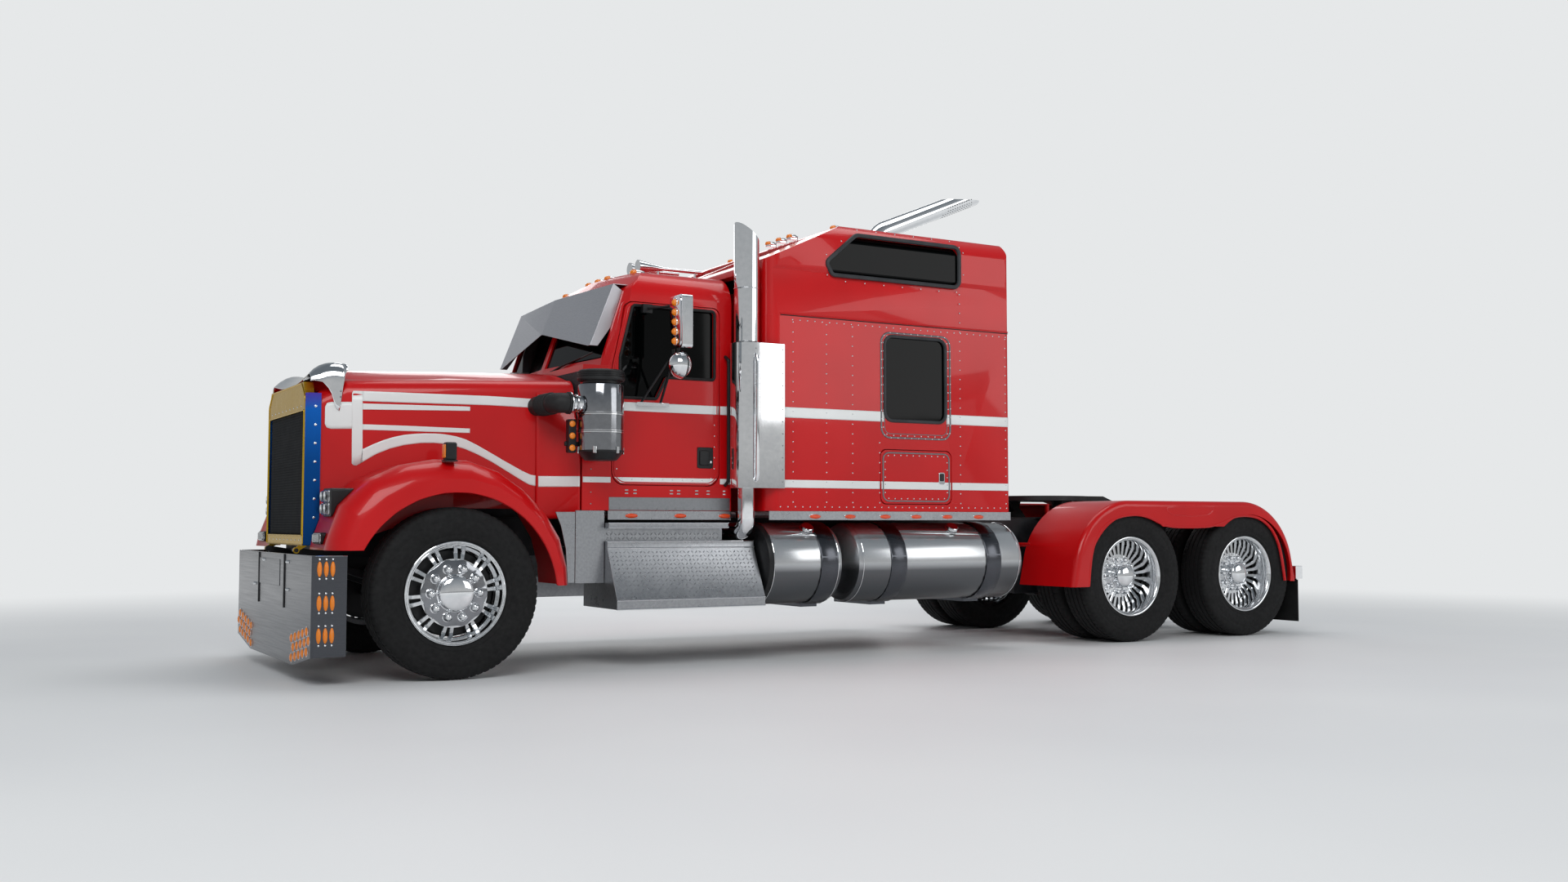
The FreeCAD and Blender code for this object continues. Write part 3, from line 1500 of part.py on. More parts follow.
def luggage_outline(gap):
    return rectangle(at(luggage_front_station) + gap, at(luggage_rear_station) - gap,
                     luggage_bottom + gap, luggage_top - gap, luggage_radius)


def sleeper_body():
    outer = Part.Face(sleeper_plan(sleeper_bottom, 0.0, sleeper_half_width, sleeper_front_station))
    inner = Part.Face(sleeper_plan(sleeper_bottom + sleeper_wall, sleeper_wall, sleeper_half_width,
                                   sleeper_front_station))
    shell = outer.extrude(Vector(0, 0, sleeper_seam - sleeper_bottom))
    shell = shell.cut(inner.extrude(Vector(0, 0, sleeper_seam)))
    reach = sleeper_half_width + 1.0
    for low in (-reach, sleeper_half_width - sleeper_wall - 1.0):
        high = low + sleeper_wall + 2.0
        shell = shell.cut(slab(side_window_outline(0.0), "y", low, high))
        shell = shell.cut(slab(luggage_outline(0.0), "y", low, high))
    shell = shell.cut(block(at(sleeper_front_station) - 1.0,
                            at(sleeper_front_station) + sleeper_wall + 1.0, -walk_half_width,
                            walk_half_width, walk_bottom, walk_top))
    bunk_floor = block(at(sleeper_front_station) + sleeper_wall + 900.0,
                       at(sleeper_rear_station) - sleeper_wall,
                       -sleeper_half_width + sleeper_wall, sleeper_half_width - sleeper_wall,
                       bunk_floor_height, bunk_floor_height + bunk_floor_wall)
    stops = both_sides(door_stop(luggage_outline, -sleeper_half_width + luggage_wall))
    feet = []
    for station in (sleeper_front_station + 240.0, sleeper_rear_station - 240.0):
        for side in (-1, 1):
            y = side * (rail_half_width - rail_flange / 2)
            feet.append(post(at(station), y, 40.0, rail_top, sleeper_bottom))
    return fused([shell, bunk_floor, boot_seal()] + stops + feet)


def boot_seal():
    # Flexible frame that closes the walk-through between the cab's back and the sleeper.
    front = at(cab_rear_station)
    rear = at(sleeper_front_station)
    half = walk_half_width + boot_wall
    outer = slab(rectangle(-half, half, walk_bottom - boot_wall, walk_top + boot_wall, 30.0), "x",
                 front, rear)
    inner = slab(rectangle(-walk_half_width, walk_half_width, walk_bottom, walk_top), "x",
                 front - 1.0, rear + 1.0)
    return outer.cut(inner)


def roof_volume(inset):
    # Roof cap: vertical plan at the seam, leaning sides, raked front and a crowned top.
    w = sleeper_half_width - inset
    top_w = sleeper_roof_half_width - inset
    low = sleeper_seam
    edge = sleeper_roof_edge - inset
    x_low = at(sleeper_brow_station)
    x_high = at(sleeper_rear_station) - inset
    side = [Vector(x_low, -w, low), Vector(x_low, -w + 16.0, low + 330.0), Vector(x_low, -top_w, edge),
            Vector(x_low, 0, sleeper_roof_crown - inset)]
    shoulder = Vector(x_low, -w + 42.0, edge - 60.0)
    far = [Vector(p.x, -p.y, p.z) for p in side]
    far_shoulder = Vector(shoulder.x, -shoulder.y, shoulder.z)
    section = Part.Face(Part.Wire([
        Part.LineSegment(side[0], side[1]).toShape(),
        Part.Arc(side[1], shoulder, side[2]).toShape(),
        Part.Arc(side[2], side[3], far[2]).toShape(),
        Part.Arc(far[2], far_shoulder, far[1]).toShape(),
        Part.LineSegment(far[1], far[0]).toShape(),
        Part.LineSegment(far[0], side[0]).toShape(),
    ]))
    long_body = section.extrude(Vector(x_high - x_low, 0, 0))
    front = at(sleeper_front_station) + inset
    brow = at(sleeper_brow_station) + inset
    brow_z = sleeper_brow_height - inset * 0.5
    rise_z = sleeper_roof_crown - inset
    top_x = at(sleeper_roof_front_station) + inset
    crown_x = top_x + 420.0
    rear_r = sleeper_rear_roof_radius
    side_profile = slab([(front, low), (x_high, low), (x_high, rise_z + 1.0, rear_r),
                         (crown_x, rise_z + 1.0, 300.0), (top_x, edge + 30.0, 500.0),
                         (brow, brow_z + 30.0, 60.0), (brow, brow_z - 10.0), (front, brow_z - 80.0)],
                        "y", -w - 1.0, w + 1.0)
    plan = Part.Face(sleeper_plan(low, inset, sleeper_half_width, sleeper_front_station))
    brow_half = sleeper_brow_half_width - inset
    brow_plan = block(brow, at(sleeper_front_station) + sleeper_corner_radius, -brow_half, brow_half,
                      low, sleeper_roof_crown)
    columns = fused([plan.extrude(Vector(0, 0, sleeper_roof_crown - low)), brow_plan])
    return long_body.common(side_profile).common(columns)


def roof_skin(outer, inner):
    return roof_volume(outer).cut(roof_volume(inner))


def sleeper_roof():
    cap = roof_volume(0.0).cut(roof_volume(sleeper_wall))
    reach = sleeper_half_width + 1.0
    cutter = slab(upper_window_outline(0.0), "y", -reach, reach)
    cap = cap.cut(cutter)
    window = slab(front_window_outline(), "z", sleeper_brow_height - 100.0, sleeper_roof_crown + 10.0)
    for piece in both_sides(window):
        cap = cap.cut(piece)
    cap = cap.cut(cab_volume(-seat_gap))
    return largest(cap)


def luggage_door():
    y_out = -sleeper_half_width
    return slab(luggage_outline(door_gap), "y", y_out, y_out + luggage_wall)


# Seats and bunk
def seats():
    floor = cab_bottom + floor_wall
    pieces = []
    for side in (-1, 1):
        y = side * seat_middle
        x = at(cab_rear_station) - seat_rear_gap
        front = x - seat_cushion_overhang
        cushion_low = floor + seat_base_height
        cushion_high = cushion_low + seat_cushion_wall
        back_low = cushion_high - seat_cushion_rounding / 2
        back_high = back_low + seat_back_height
        back_x = front + seat_cushion_depth - seat_cushion_rounding * 2
        lean_x = back_x + seat_back_lean
        base = block(x, x + seat_base_depth, y - seat_base_half_width, y + seat_base_half_width,
                     floor, cushion_low)
        cushion = slab(rectangle(front, front + seat_cushion_depth, cushion_low, cushion_high,
                                 seat_cushion_rounding), "y",
                       y - seat_cushion_half_width, y + seat_cushion_half_width)
        back = slab([(back_x, back_low), (back_x + seat_back_wall_low, back_low),
                     (lean_x + seat_back_wall_high, back_high, seat_cushion_rounding),
                     (lean_x, back_high, seat_cushion_rounding)], "y",
                    y - seat_back_half_width, y + seat_back_half_width)
        pieces.append(fused([base, cushion, back]))
    half = sleeper_half_width - sleeper_wall - bunk_side_gap
    bunk_low = bunk_floor_height + bunk_floor_wall + bunk_seat_gap
    pieces.append(slab(rectangle(at(sleeper_front_station) + bunk_front_gap,
                                 at(sleeper_rear_station) - bunk_rear_gap,
                                 bunk_low, bunk_low + bunk_wall, bunk_rounding), "y", -half, half))
    return pieces


# Steps, cowl side panels and the sill trim
def side_step():
    # Deep step box: a short upper tread, a full-length middle tread and a sloping face
    # down to the lower tread.
    front = at(step_front_station)
    rear = at(step_rear_station)
    outer = -step_half_width
    upper = -step_upper_half_width
    inner = -step_inner_half_width
    lower_box = slab([(inner, step_mid_top), (upper, step_mid_top), (upper, step_mid_bottom),
                      (outer, step_lower_top), (outer, step_lower_bottom),
                      (inner, step_lower_bottom)], "x", front, rear)
    upper_box = block(front, at(step_upper_rear_station), upper + step_tread_setback, inner,
                      step_mid_top - 1.0, step_upper_top)
    tread = block(front, at(step_upper_rear_station), upper - step_nose, inner,
                  step_upper_top - step_tread_wall, step_upper_top)
    arms = []
    for x in (front + 160.0, rear - 260.0):
        arms.append(block(x, x + 60.0, inner, -rail_half_width, rail_bottom + 40.0,
                          rail_bottom + 140.0))
    return fused([lower_box, upper_box, tread] + arms)


def cowl_panel():
    inner = -cab_half_width
    front = at(cowl_panel_front_station)
    rear = at(cowl_panel_rear_station) - 20.0
    sheet = block(front, rear, inner, inner + 14.0, cowl_panel_bottom, cab_bottom - seat_gap)
    reach = block(front + 60.0, front + 110.0, inner + 14.0, -rail_half_width, rail_bottom + 60.0,
                  rail_bottom + 110.0)
    return fused([sheet, reach])


def sill_trim(front_station, rear_station, half_width, ceiling):
    y = -half_width
    strip = block(at(front_station), at(rear_station), y, y + sill_trim_wall, sill_trim_bottom,
                  ceiling)
    flange = block(at(front_station), at(rear_station), y, y + 60.0, ceiling - sill_trim_wall,
                   ceiling)
    return fused([strip, flange])


def side_steps():
    pieces = both_sides(side_step()) + both_sides(cowl_panel())
    gap = knuckle_gap
    pieces += both_sides(sill_trim(cowl_panel_rear_station + gap, cab_rear_station, cab_half_width,
                                   cab_bottom - seat_gap))
    pieces += both_sides(sill_trim(sleeper_front_station + 10.0, sleeper_rear_station,
                                   sleeper_half_width, sleeper_bottom - seat_gap))
    return pieces


# Tanks and straps
def disc_x(x_low, x_high, y, z, radius):
    return rod(Vector(x_low, y, z), Vector(x_high, y, z), radius)


def tank(front_station, rear_station):
    y = -tank_half_width
    length = rear_station - front_station
    r = tank_radius
    knuckle = tank_end_radius
    profile = [(0, 0.0), (r - knuckle, 0.0), (r - knuckle * 0.3, knuckle * 0.3), (r, knuckle),
               (r, length - knuckle), (r - knuckle * 0.3, length - knuckle * 0.3),
               (r - knuckle, length), (0, length)]
    return flat_sided(profile, tank_sides, Vector(at(front_station), y, tank_height),
                      Vector(1, 0, 0))


def fuel_tanks():
    cap_radius = 44.0
    pieces = []
    for front, rear in ((front_tank_front_station, front_tank_rear_station),
                        (main_tank_front_station, main_tank_rear_station)):
        body = tank(front, rear)
        x = at(front) + (rear - front) * 0.6
        lean = math.radians(36.0)
        ray = Vector(0, -math.sin(lean), math.cos(lean))
        neck = Vector(x, -tank_half_width, tank_height)
        cap = rod(neck, neck + ray * (tank_radius + 22.0), cap_radius)
        pieces += both_sides(fused([body, cap]))
    return pieces


def strap(station):
    # Band round the tank with the bracket that carries it from the rail.
    y = -tank_half_width
    x = at(station)
    half = strap_width / 2
    inner = (tank_radius * math.cos(math.pi / tank_sides) + seat_gap) / math.cos(math.pi
                                                                             / strap_sides)
    outer = inner + strap_wall
    band = flat_sided([(inner, -half), (outer, -half), (outer, half), (inner, half)], strap_sides,
                      Vector(x, y, tank_height), Vector(1, 0, 0))
    back = y + tank_radius
    upright = block(x - half, x + half, back + 20.0, -rail_half_width,
                    tank_height - tank_radius - 20.0, rail_top - 60.0)
    ledge = block(x - half, x + half, y, -rail_half_width, tank_height - outer - 20.0,
                  tank_height - tank_radius * 0.5)
    bracket = fused([upright, ledge]).cut(disc_x(x - half - 1.0, x + half + 1.0, y, tank_height,
                                                 outer - 1.0))
    return fused([band, largest(bracket)])


def tank_straps():
    pieces = []
    for station in (front_strap_station, strap_first_station, strap_second_station):
        pieces += both_sides(strap(station))
    return pieces


# Exhaust stacks with the near side guard
def near_stack():
    x = at(stack_station)
    y = -stack_half_width
    pipe = post(x, y, stack_radius, stack_base, stack_front_top)
    slope = slab([(x - stack_radius - 1.0, stack_front_top), (x + stack_radius + 1.0, stack_rear_top),
                  (x + stack_radius + 1.0, stack_front_top + 1.0),
                  (x - stack_radius - 1.0, stack_front_top + 1.0)], "y",
                 y - stack_radius - 1.0, y + stack_radius + 1.0)
    bore = post(x, y, stack_radius - stack_wall, guard_top, stack_front_top + 1.0)
    pipe = pipe.cut(slope).cut(bore)
    elbow = bent_tube([Vector(x, y, stack_base + 10.0), Vector(x, y, stack_pipe_bottom),
                       Vector(x, -rail_half_width - seat_gap, stack_pipe_bottom)],
                      stack_pipe_radius * 1.5, stack_pipe_radius)
    outer = stack_radius + guard_clearance
    inner = outer - guard_wall
    side = y - outer
    rear = at(guard_rear_station)
    ring = post(x, y, outer, guard_bottom, guard_top)
    half_round = ring.cut(block(x, x + outer + 1.0, y - outer - 1.0, y + outer + 1.0,
                                guard_bottom - 1.0, guard_top + 1.0))
    flat = block(x, rear, side, side + guard_wall, guard_bottom, guard_top)
    hollow = post(x, y, inner, guard_bottom - 1.0, guard_top + 1.0)
    guard = fused([half_round.cut(hollow), flat])
    band_z = (guard_bottom + 160.0, guard_top - 160.0)
    stays = []
    for z in band_z:
        stays.append(block(x - outer + 1.0, x - stack_radius + 4.0, y - 14.0, y + 14.0, z, z + 40.0))
        stays.append(block(at(sleeper_front_station) + sleeper_corner_radius + 2.0, rear - 4.0,
                           side + guard_wall - 0.5, -sleeper_half_width - seat_gap, z, z + 40.0))
    return fused([pipe, elbow, guard] + stays)


def far_stack():
    x = at(far_stack_station)
    y = far_stack_half_width
    rake = math.radians(far_stack_rake)
    ray = Vector(math.cos(rake), 0, math.sin(rake))
    foot_y = rail_half_width - rail_flange / 2
    knee = Vector(x, y, far_stack_bend_height)
    tip = knee + ray * far_stack_length
    tube = bent_tube([Vector(x, foot_y, rail_top + seat_gap),
                      Vector(x, foot_y, far_stack_run_height), Vector(x, y, far_stack_run_height),
                      knee, tip], far_stack_bend_radius, far_stack_radius)
    scoop_cut = slab([(knee.x + ray.x * (far_stack_length - far_scoop_length),
                       knee.z + ray.z * (far_stack_length - far_scoop_length) + far_stack_radius * 1.1),
                      (tip.x + 20.0, tip.z - far_stack_radius * 0.55),
                      (tip.x + 60.0, tip.z + 400.0), (knee.x + 300.0, tip.z + 400.0)],
                     "y", y - 2 * far_stack_radius, y + 2 * far_stack_radius)
    bore = rod(knee + ray * (far_stack_length - far_scoop_length * 1.6), tip + ray * 10.0,
               far_stack_radius - stack_wall)
    tube = tube.cut(scoop_cut).cut(bore)
    stay = block(at(sleeper_rear_station) + seat_gap, x - far_stack_radius + 8.0, y - 30.0, y + 30.0,
                 sleeper_seam - 80.0, sleeper_seam - 20.0)
    return fused([tube, stay])


def exhaust_stacks():
    return [near_stack(), far_stack()]


# Rear fenders over the tandem, with the valley between the wheels
def rear_fender_profile(offset, low):
    # Side outline whose front and rear lean in as they rise, drawn in by an offset.
    front = at(rear_fender_front_station) + offset
    rear = at(rear_fender_rear_station) - offset
    top = rear_fender_top - offset
    round_radius = rear_fender_round - offset
    return [(front, low), (front + rear_fender_front_lean, top, round_radius),
            (rear - rear_fender_rear_lean, top, round_radius), (rear, low)]


def rear_fender_volume(offset, low, y_out, y_in, edge):
    # The outer edge between top and side is rounded along the whole profile.
    body = slab(rear_fender_profile(offset, low), "y", y_out, y_in)
    edges = [e for e in body.Edges
             if e.BoundBox.YLength < 1.0 and abs(e.BoundBox.YMin - y_out) < 1.0
             and e.BoundBox.ZMax > low + 1.0]
    return body.makeFillet(edge, edges)


def rear_fender():
    y_out = -rear_fender_half_width
    y_in = -rear_fender_inner_half_width
    wall = rear_fender_wall
    low = rear_fender_bottom
    outer = rear_fender_volume(0.0, low, y_out, y_in, rear_fender_edge)
    inner = rear_fender_volume(wall, low - 1.0, y_out + wall, y_in + 1.0, rear_fender_edge - wall)
    shell = outer.cut(inner)
    first, second = rear_axle_xs
    arch = rear_fender_lip - axle_height
    reach = rear_fender_cut_reach
    cutters = []
    for x in (first, second):
        cutters.append(disc_y(x, axle_height, arch, y_out - 1.0, y_out + reach))
    cutters.append(block(first, second, y_out - 1.0, y_out + reach, 0, rear_fender_valley))
    cutters.append(block(at(rear_fender_front_lip_station), second, y_out - 1.0,
                         y_out + reach, 0, axle_height))
    cutters.append(block(second, at(rear_fender_rear_station) - rear_fender_lip_width, y_out - 1.0,
                         y_out + reach, 0, axle_height))
    for cutter in cutters:
        shell = shell.cut(cutter)
    arms = []
    r = rear_fender_arm_radius
    rise = (rear_fender_arm_height - low) / (rear_fender_top - low)
    front_x = at(rear_fender_front_station) + rise * rear_fender_front_lean + r
    rear_x = at(rear_fender_rear_station) - rise * rear_fender_rear_lean - r
    for x in (front_x + wall / 2, rear_x - wall / 2):
        arms.append(disc_y(x, rear_fender_arm_height, r, y_in - rear_fender_arm_overlap, -rail_half_width))
    middle = second - tandem_spacing / 2
    high = rail_top - rear_fender_mid_arm_drop
    arms.append(disc_y(middle, high, rear_fender_mid_arm_radius,
                       y_in - rear_fender_arm_overlap, -rail_half_width))
    arms.append(post(middle, y_in - rear_fender_stay_radius, rear_fender_stay_radius,
                     high, rear_fender_top - wall / 2))
    return largest(fused([largest(shell)] + arms))


def mud_flap():
    x = at(flap_front_station)
    return block(x, x + flap_wall, -rear_fender_half_width + flap_side_inset, -flap_inner_half_width,
                 flap_bottom, flap_top)


def tail_bracket():
    x = at(flap_front_station)
    y_out = -rear_fender_half_width + flap_side_inset
    bar_low = flap_top
    bar_high = bar_low + tail_bar_height
    box_x = at(overall_length - tail_box_depth)
    hanger = block(x - tail_hanger_lip, x + flap_wall + tail_hanger_lip, y_out,
                   -flap_inner_half_width, bar_low, bar_high)
    lamp_box = block(box_x, at(overall_length), y_out, y_out + tail_box_width,
                     tail_box_bottom + tail_box_lift, tail_box_top)
    arm_low = bar_low + tail_arm_lift
    arm_x = box_x + tail_arm_step
    arm_end = arm_x + tail_arm_depth
    arm = block(arm_x, arm_end, -flap_inner_half_width - tail_arm_overlap,
                -rail_half_width, arm_low, bar_high)
    plate_out = -rail_half_width - tail_plate_wall
    plate_top = rail_top - tail_plate_drop
    riser = block(arm_x - tail_riser_lead, arm_end, plate_out, -rail_half_width, arm_low, plate_top)
    foot = block(at(tail_station) - tail_foot_length, arm_end - tail_foot_step, plate_out,
                 -rail_half_width, plate_top - tail_foot_height, plate_top)
    body = fused([hanger, lamp_box, arm, riser, foot])
    notch = mud_flap()
    return largest(body.cut(notch))


# Fifth wheel
def fifth_wheel_base():
    x = at(fifth_station)
    y_half = rail_half_width + fifth_base_overhang
    base = block(x - fifth_base_half_length, x + fifth_base_half_length, -y_half, y_half,
                 rail_top, rail_top + fifth_base_wall)
    parts = [base]
    foot = rail_top + fifth_base_wall
    crown = fifth_pin_height + fifth_bracket_crown
    for side in (-1, 1):
        y_low = side * (rail_half_width - fifth_bracket_inset) - fifth_bracket_width / 2
        parts.append(slab([(x - fifth_bracket_foot_half, foot), (x + fifth_bracket_foot_half, foot),
                           (x + fifth_bracket_top_half, crown, fifth_bracket_rounding),
                           (x - fifth_bracket_top_half, crown, fifth_bracket_rounding)],
                          "y", y_low, y_low + fifth_bracket_width))
    body = fused(parts)
    return body.cut(disc_y(x, fifth_pin_height, fifth_pin_radius + bearing_clearance,
                           -rail_half_width - 1.0, rail_half_width + 1.0))


def fifth_wheel_plate():
    x = at(fifth_station)
    low = fifth_top - fifth_plate_wall
    disc = Part.makeCylinder(fifth_radius, fifth_plate_wall, Vector(x, 0, low))
    square = block(x - fifth_radius, x + fifth_radius, -fifth_half_width, fifth_half_width,
                   low, fifth_top)
    top = disc.common(square)
    ramp_in = fifth_ramp_inner
    ramp_out = fifth_half_width - fifth_ramp_outer_inset
    ramp_x = x + fifth_ramp_start
    tip_x = ramp_x + fifth_ramp_length
    rim_x = x + fifth_radius * fifth_rim_share
    mouth_x = x + fifth_radius + fifth_mouth_reach
    ramps = []
    for side in (-1, 1):
        y_low = min(side * ramp_in, side * ramp_out)
        ramps.append(slab([(ramp_x, low), (ramp_x, fifth_top), (rim_x, fifth_top),
                           (tip_x, fifth_top - fifth_ramp_drop),
                           (tip_x, fifth_top - fifth_ramp_drop - fifth_ramp_wall),
                           (rim_x, low)], "y", y_low, y_low + ramp_out - ramp_in))
    body = fused([top] + ramps)
    throat = fifth_throat_radius
    start_x = x + fifth_throat_start
    mouth = slab([(start_x, -throat), (ramp_x, -throat), (mouth_x, -ramp_in - trim_overlap),
                  (mouth_x, ramp_in + trim_overlap), (ramp_x, throat), (start_x, throat)],
                 "z", low - 1.0, fifth_top + 1.0)
    body = body.cut(mouth)
    body = body.cut(post(x, 0, throat, low - 1.0, fifth_top + 1.0))
    ears = []
    for side in (-1, 1):
        y_mid = side * (rail_half_width - fifth_bracket_inset)
        ear_low = fifth_pin_height - fifth_ear_half
        for shift in (-fifth_ear_spread, fifth_ear_spread):
            y_low = y_mid + shift - fifth_ear_wall / 2
            ears.append(slab([(x - fifth_ear_half * 2, low),
                              (x - fifth_ear_half, ear_low, fifth_bracket_rounding),
                              (x + fifth_ear_half, ear_low, fifth_bracket_rounding),
                              (x + fifth_ear_half * 2, low)], "y", y_low, y_low + fifth_ear_wall))
        pin_half = fifth_ear_spread + fifth_ear_wall / 2
        ears.append(disc_y(x, fifth_pin_height, fifth_pin_radius, y_mid - pin_half, y_mid + pin_half))
    return fused([body] + ears)


# Wheels
def wheel_ring(profile, x, sides):
    # Ring about the wheel's axle, its flats standing on the radii of the outline.
    stretch = 1 / math.cos(math.pi / sides)
    return flat_sided([(radius * stretch, y) for radius, y in profile], sides,
                      Vector(x, 0, axle_height), Vector(0, 1, 0))


def tyre(x, y_middle):
    half = tyre_width / 2
    s = tyre_shoulder
    bead = rim_half_width - rim_wall - seat_gap
    low_half = [(rim_radius + seat_gap, bead), (rim_flange_radius + seat_gap, bead),
                (tyre_radius - 2.2 * s, half), (tyre_radius - 0.6 * s, half - 0.14 * s),
                (tyre_radius, half - s)]
    profile = [(radius, y_middle - y) for radius, y in low_half]
    profile += [(radius, y_middle + y) for radius, y in reversed(low_half)]
    return wheel_ring(profile, x, wheel_sides)


def rim(x, y_middle):
    # Barrel with its two flanges.
    half = rim_half_width
    w = rim_wall
    barrel = [(rim_radius, y_middle - half + w), (rim_flange_radius, y_middle - half + w),
              (rim_flange_radius, y_middle - half), (rim_radius - w, y_middle - half),
              (rim_radius - w, y_middle + half), (rim_flange_radius, y_middle + half),
              (rim_flange_radius, y_middle + half - w), (rim_radius, y_middle + half - w)]
    return wheel_ring(barrel, x, wheel_sides)


def hub_nuts(x, face_y):
    nuts = []
    for index in range(stud_count):
        turn = 2 * math.pi * index / stud_count
        centre = Vector(x + stud_circle_radius * math.cos(turn), face_y + 1.0,
                        axle_height + stud_circle_radius * math.sin(turn))
        nuts.append(flat_sided([(0, 0), (nut_radius, 0), (nut_radius, nut_length),
                                (nut_radius * 0.6, nut_length + 12.0), (0, nut_length + 12.0)], 6,
                               centre, Vector(0, -1, 0)))
    return nuts


def hand_hole(x, face, inner, outer, half_angle, turn):
    half = math.radians(half_angle)
    corners = []
    for radius, side in ((inner, -0.82), (outer, -1.0), (outer, 1.0), (inner, 0.82)):
        bearing = turn + side * half
        corners.append((x + radius * math.cos(bearing), axle_height + radius * math.sin(bearing)))
    return slab(corners, "y", face - rim_half_width, face + rim_half_width)


def front_wheel():
    # Convex disc close to the outer rim edge with hand holes, nuts and a domed hub cap.
    x = front_axle_x
    y_mid = -tyre_middle
    face = y_mid - rim_half_width + front_disc_setback
    wall = disc_wall
    dish = front_disc_dish
    hub_out = front_hub_out
    hub_in = front_hub_in
    dome = front_hub_dome
    flat = front_disc_flat_radius
    disc = flat_sided([(hub_radius - disc_hub_overlap, face), (flat, face), (disc_edge_radius, face + dish),
                       (disc_edge_radius, face + dish + wall), (flat - disc_step, face + wall),
                       (hub_radius - disc_hub_overlap, face + wall)], disc_sides,
                      Vector(x, 0, axle_height), Vector(0, 1, 0))
    hub = flat_sided([(0, face - hub_out - dome), (hub_cap_radius * 0.6, face - hub_out - dome),
                      (hub_radius, face - hub_out), (hub_radius, face + hub_in),
                      (0, face + hub_in)], disc_sides,
                     Vector(x, 0, axle_height), Vector(0, 1, 0))
    holes = []
    for index in range(front_hand_holes):
        turn = math.pi / 2 + 2 * math.pi * index / front_hand_holes
        holes.append(hand_hole(x, face, front_hole_inner, front_hole_outer, front_hole_half_angle, turn))
    disc = disc.cut(Part.makeCompound(holes))
    body = fused([rim(x, y_mid), disc, hub] + hub_nuts(x, face))
    socket = disc_y(x, axle_height, spindle_radius + bearing_clearance, face - disc_hub_overlap,
                    face + 2 * hub_in)
    return body.cut(socket)


def rear_wheels(x):
    # Twin rims: the outer one deep and slotted like a fan, the inner one facing it.
    outer_mid = -tyre_middle
    inner_mid = twin_spacing - tyre_middle
    face = outer_mid - rim_half_width + rear_disc_setback
    inner_face = inner_mid - rim_half_width + rim_wall
    wall = disc_wall
    hub_out = rear_hub_out
    cap_length = rear_hub_cap_length
    drum_reach = brake_drum_reach
    drum_radius = brake_drum_radius
    tube_room = axle_tube_radius + axle_tube_clearance
    slots = Part.makeCompound([hand_hole(x, face, rear_hole_inner, rear_hole_outer, rear_hole_half_angle,
                                         2 * math.pi * index / rear_slots)
                               for index in range(rear_slots)])
    outer_disc = disc_y(x, axle_height, disc_edge_radius, face, face + wall).cut(slots)
    inner_disc = disc_y(x, axle_height, disc_edge_radius, inner_face, inner_face + wall)
    hub = flat_sided([(0, face - hub_out - cap_length), (hub_cap_radius, face - hub_out - cap_length),
                      (hub_radius, face - hub_out), (hub_radius, inner_mid - drum_reach / 2),
                      (drum_radius, inner_mid - drum_reach / 2),
                      (drum_radius, inner_mid + drum_reach), (0, inner_mid + drum_reach)], disc_sides,
                     Vector(x, 0, axle_height), Vector(0, 1, 0))
    body = fused([rim(x, outer_mid), rim(x, inner_mid), outer_disc, inner_disc, hub]
                 + hub_nuts(x, face))
    bore = disc_y(x, axle_height, spindle_radius + bearing_clearance, face - hub_out + rear_bore_depth,
                  inner_mid + drum_reach)
    room = disc_y(x, axle_height, tube_room, inner_mid + knuckle_gap, inner_mid + 2 * drum_reach)
    return body.cut(bore).cut(room)


save("frame_rails", [frame_rails()])
save("front_axle", [front_axle()])
save("rear_axles", [rear_axles()])
save("rear_suspension", rear_suspension())
save("engine", [engine()])
save("radiator", [radiator()])
save("bumper", [bumper()])
save("hood_shell", [hood_shell()])
save("grille_surround", [grille_surround()])
save("grille_mesh", [grille_mesh()])
save("hood_scoop", [hood_scoop()])
save("headlamps", headlamps())
save("intake_elbows", both_sides(intake_elbow()))
save("cab_shell", [cab_shell()])
save("cab_floor", [cab_floor()])
save("windows", windows())
save("visor", [visor()])
save("horns", horns())
save("marker_lamps", marker_lamps())
save("air_cleaners", both_sides(air_cleaner()))
save("sleeper_body", [sleeper_body()])
save("sleeper_roof", [sleeper_roof()])
save("seats", seats())
save("side_steps", side_steps())
save("fuel_tanks", fuel_tanks())
save("tank_straps", tank_straps())
save("exhaust_stacks", exhaust_stacks())
save("rear_fenders", both_sides(rear_fender()))
save("mud_flaps", both_sides(mud_flap()))
save("tail_brackets", both_sides(tail_bracket()))
save("fifth_wheel_base", [fifth_wheel_base()])
save("fifth_wheel_plate", [fifth_wheel_plate()])
for side, turn in (("left", lambda shape: shape), ("right", mirrored)):
    save("door_" + side, [turn(door())])
    save("door_glass_" + side, [turn(door_glass())])
    save("mirror_" + side, [turn(mirror())])
    save("luggage_door_" + side, [turn(luggage_door())])
    save("knuckle_" + side, [turn(knuckle())])
    save("front_wheel_" + side, [turn(front_wheel())])
    save("front_tyre_" + side, [turn(tyre(front_axle_x, -tyre_middle))])
    for number, axle_x in enumerate(rear_axle_xs, 1):
        label = "_" + str(number) + "_" + side
        save("rear_wheels" + label, [turn(rear_wheels(axle_x))])
        save("rear_tyres" + label, [turn(tyre(axle_x, -tyre_middle)),
                                    turn(tyre(axle_x, -tyre_middle + twin_spacing))])
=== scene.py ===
import math

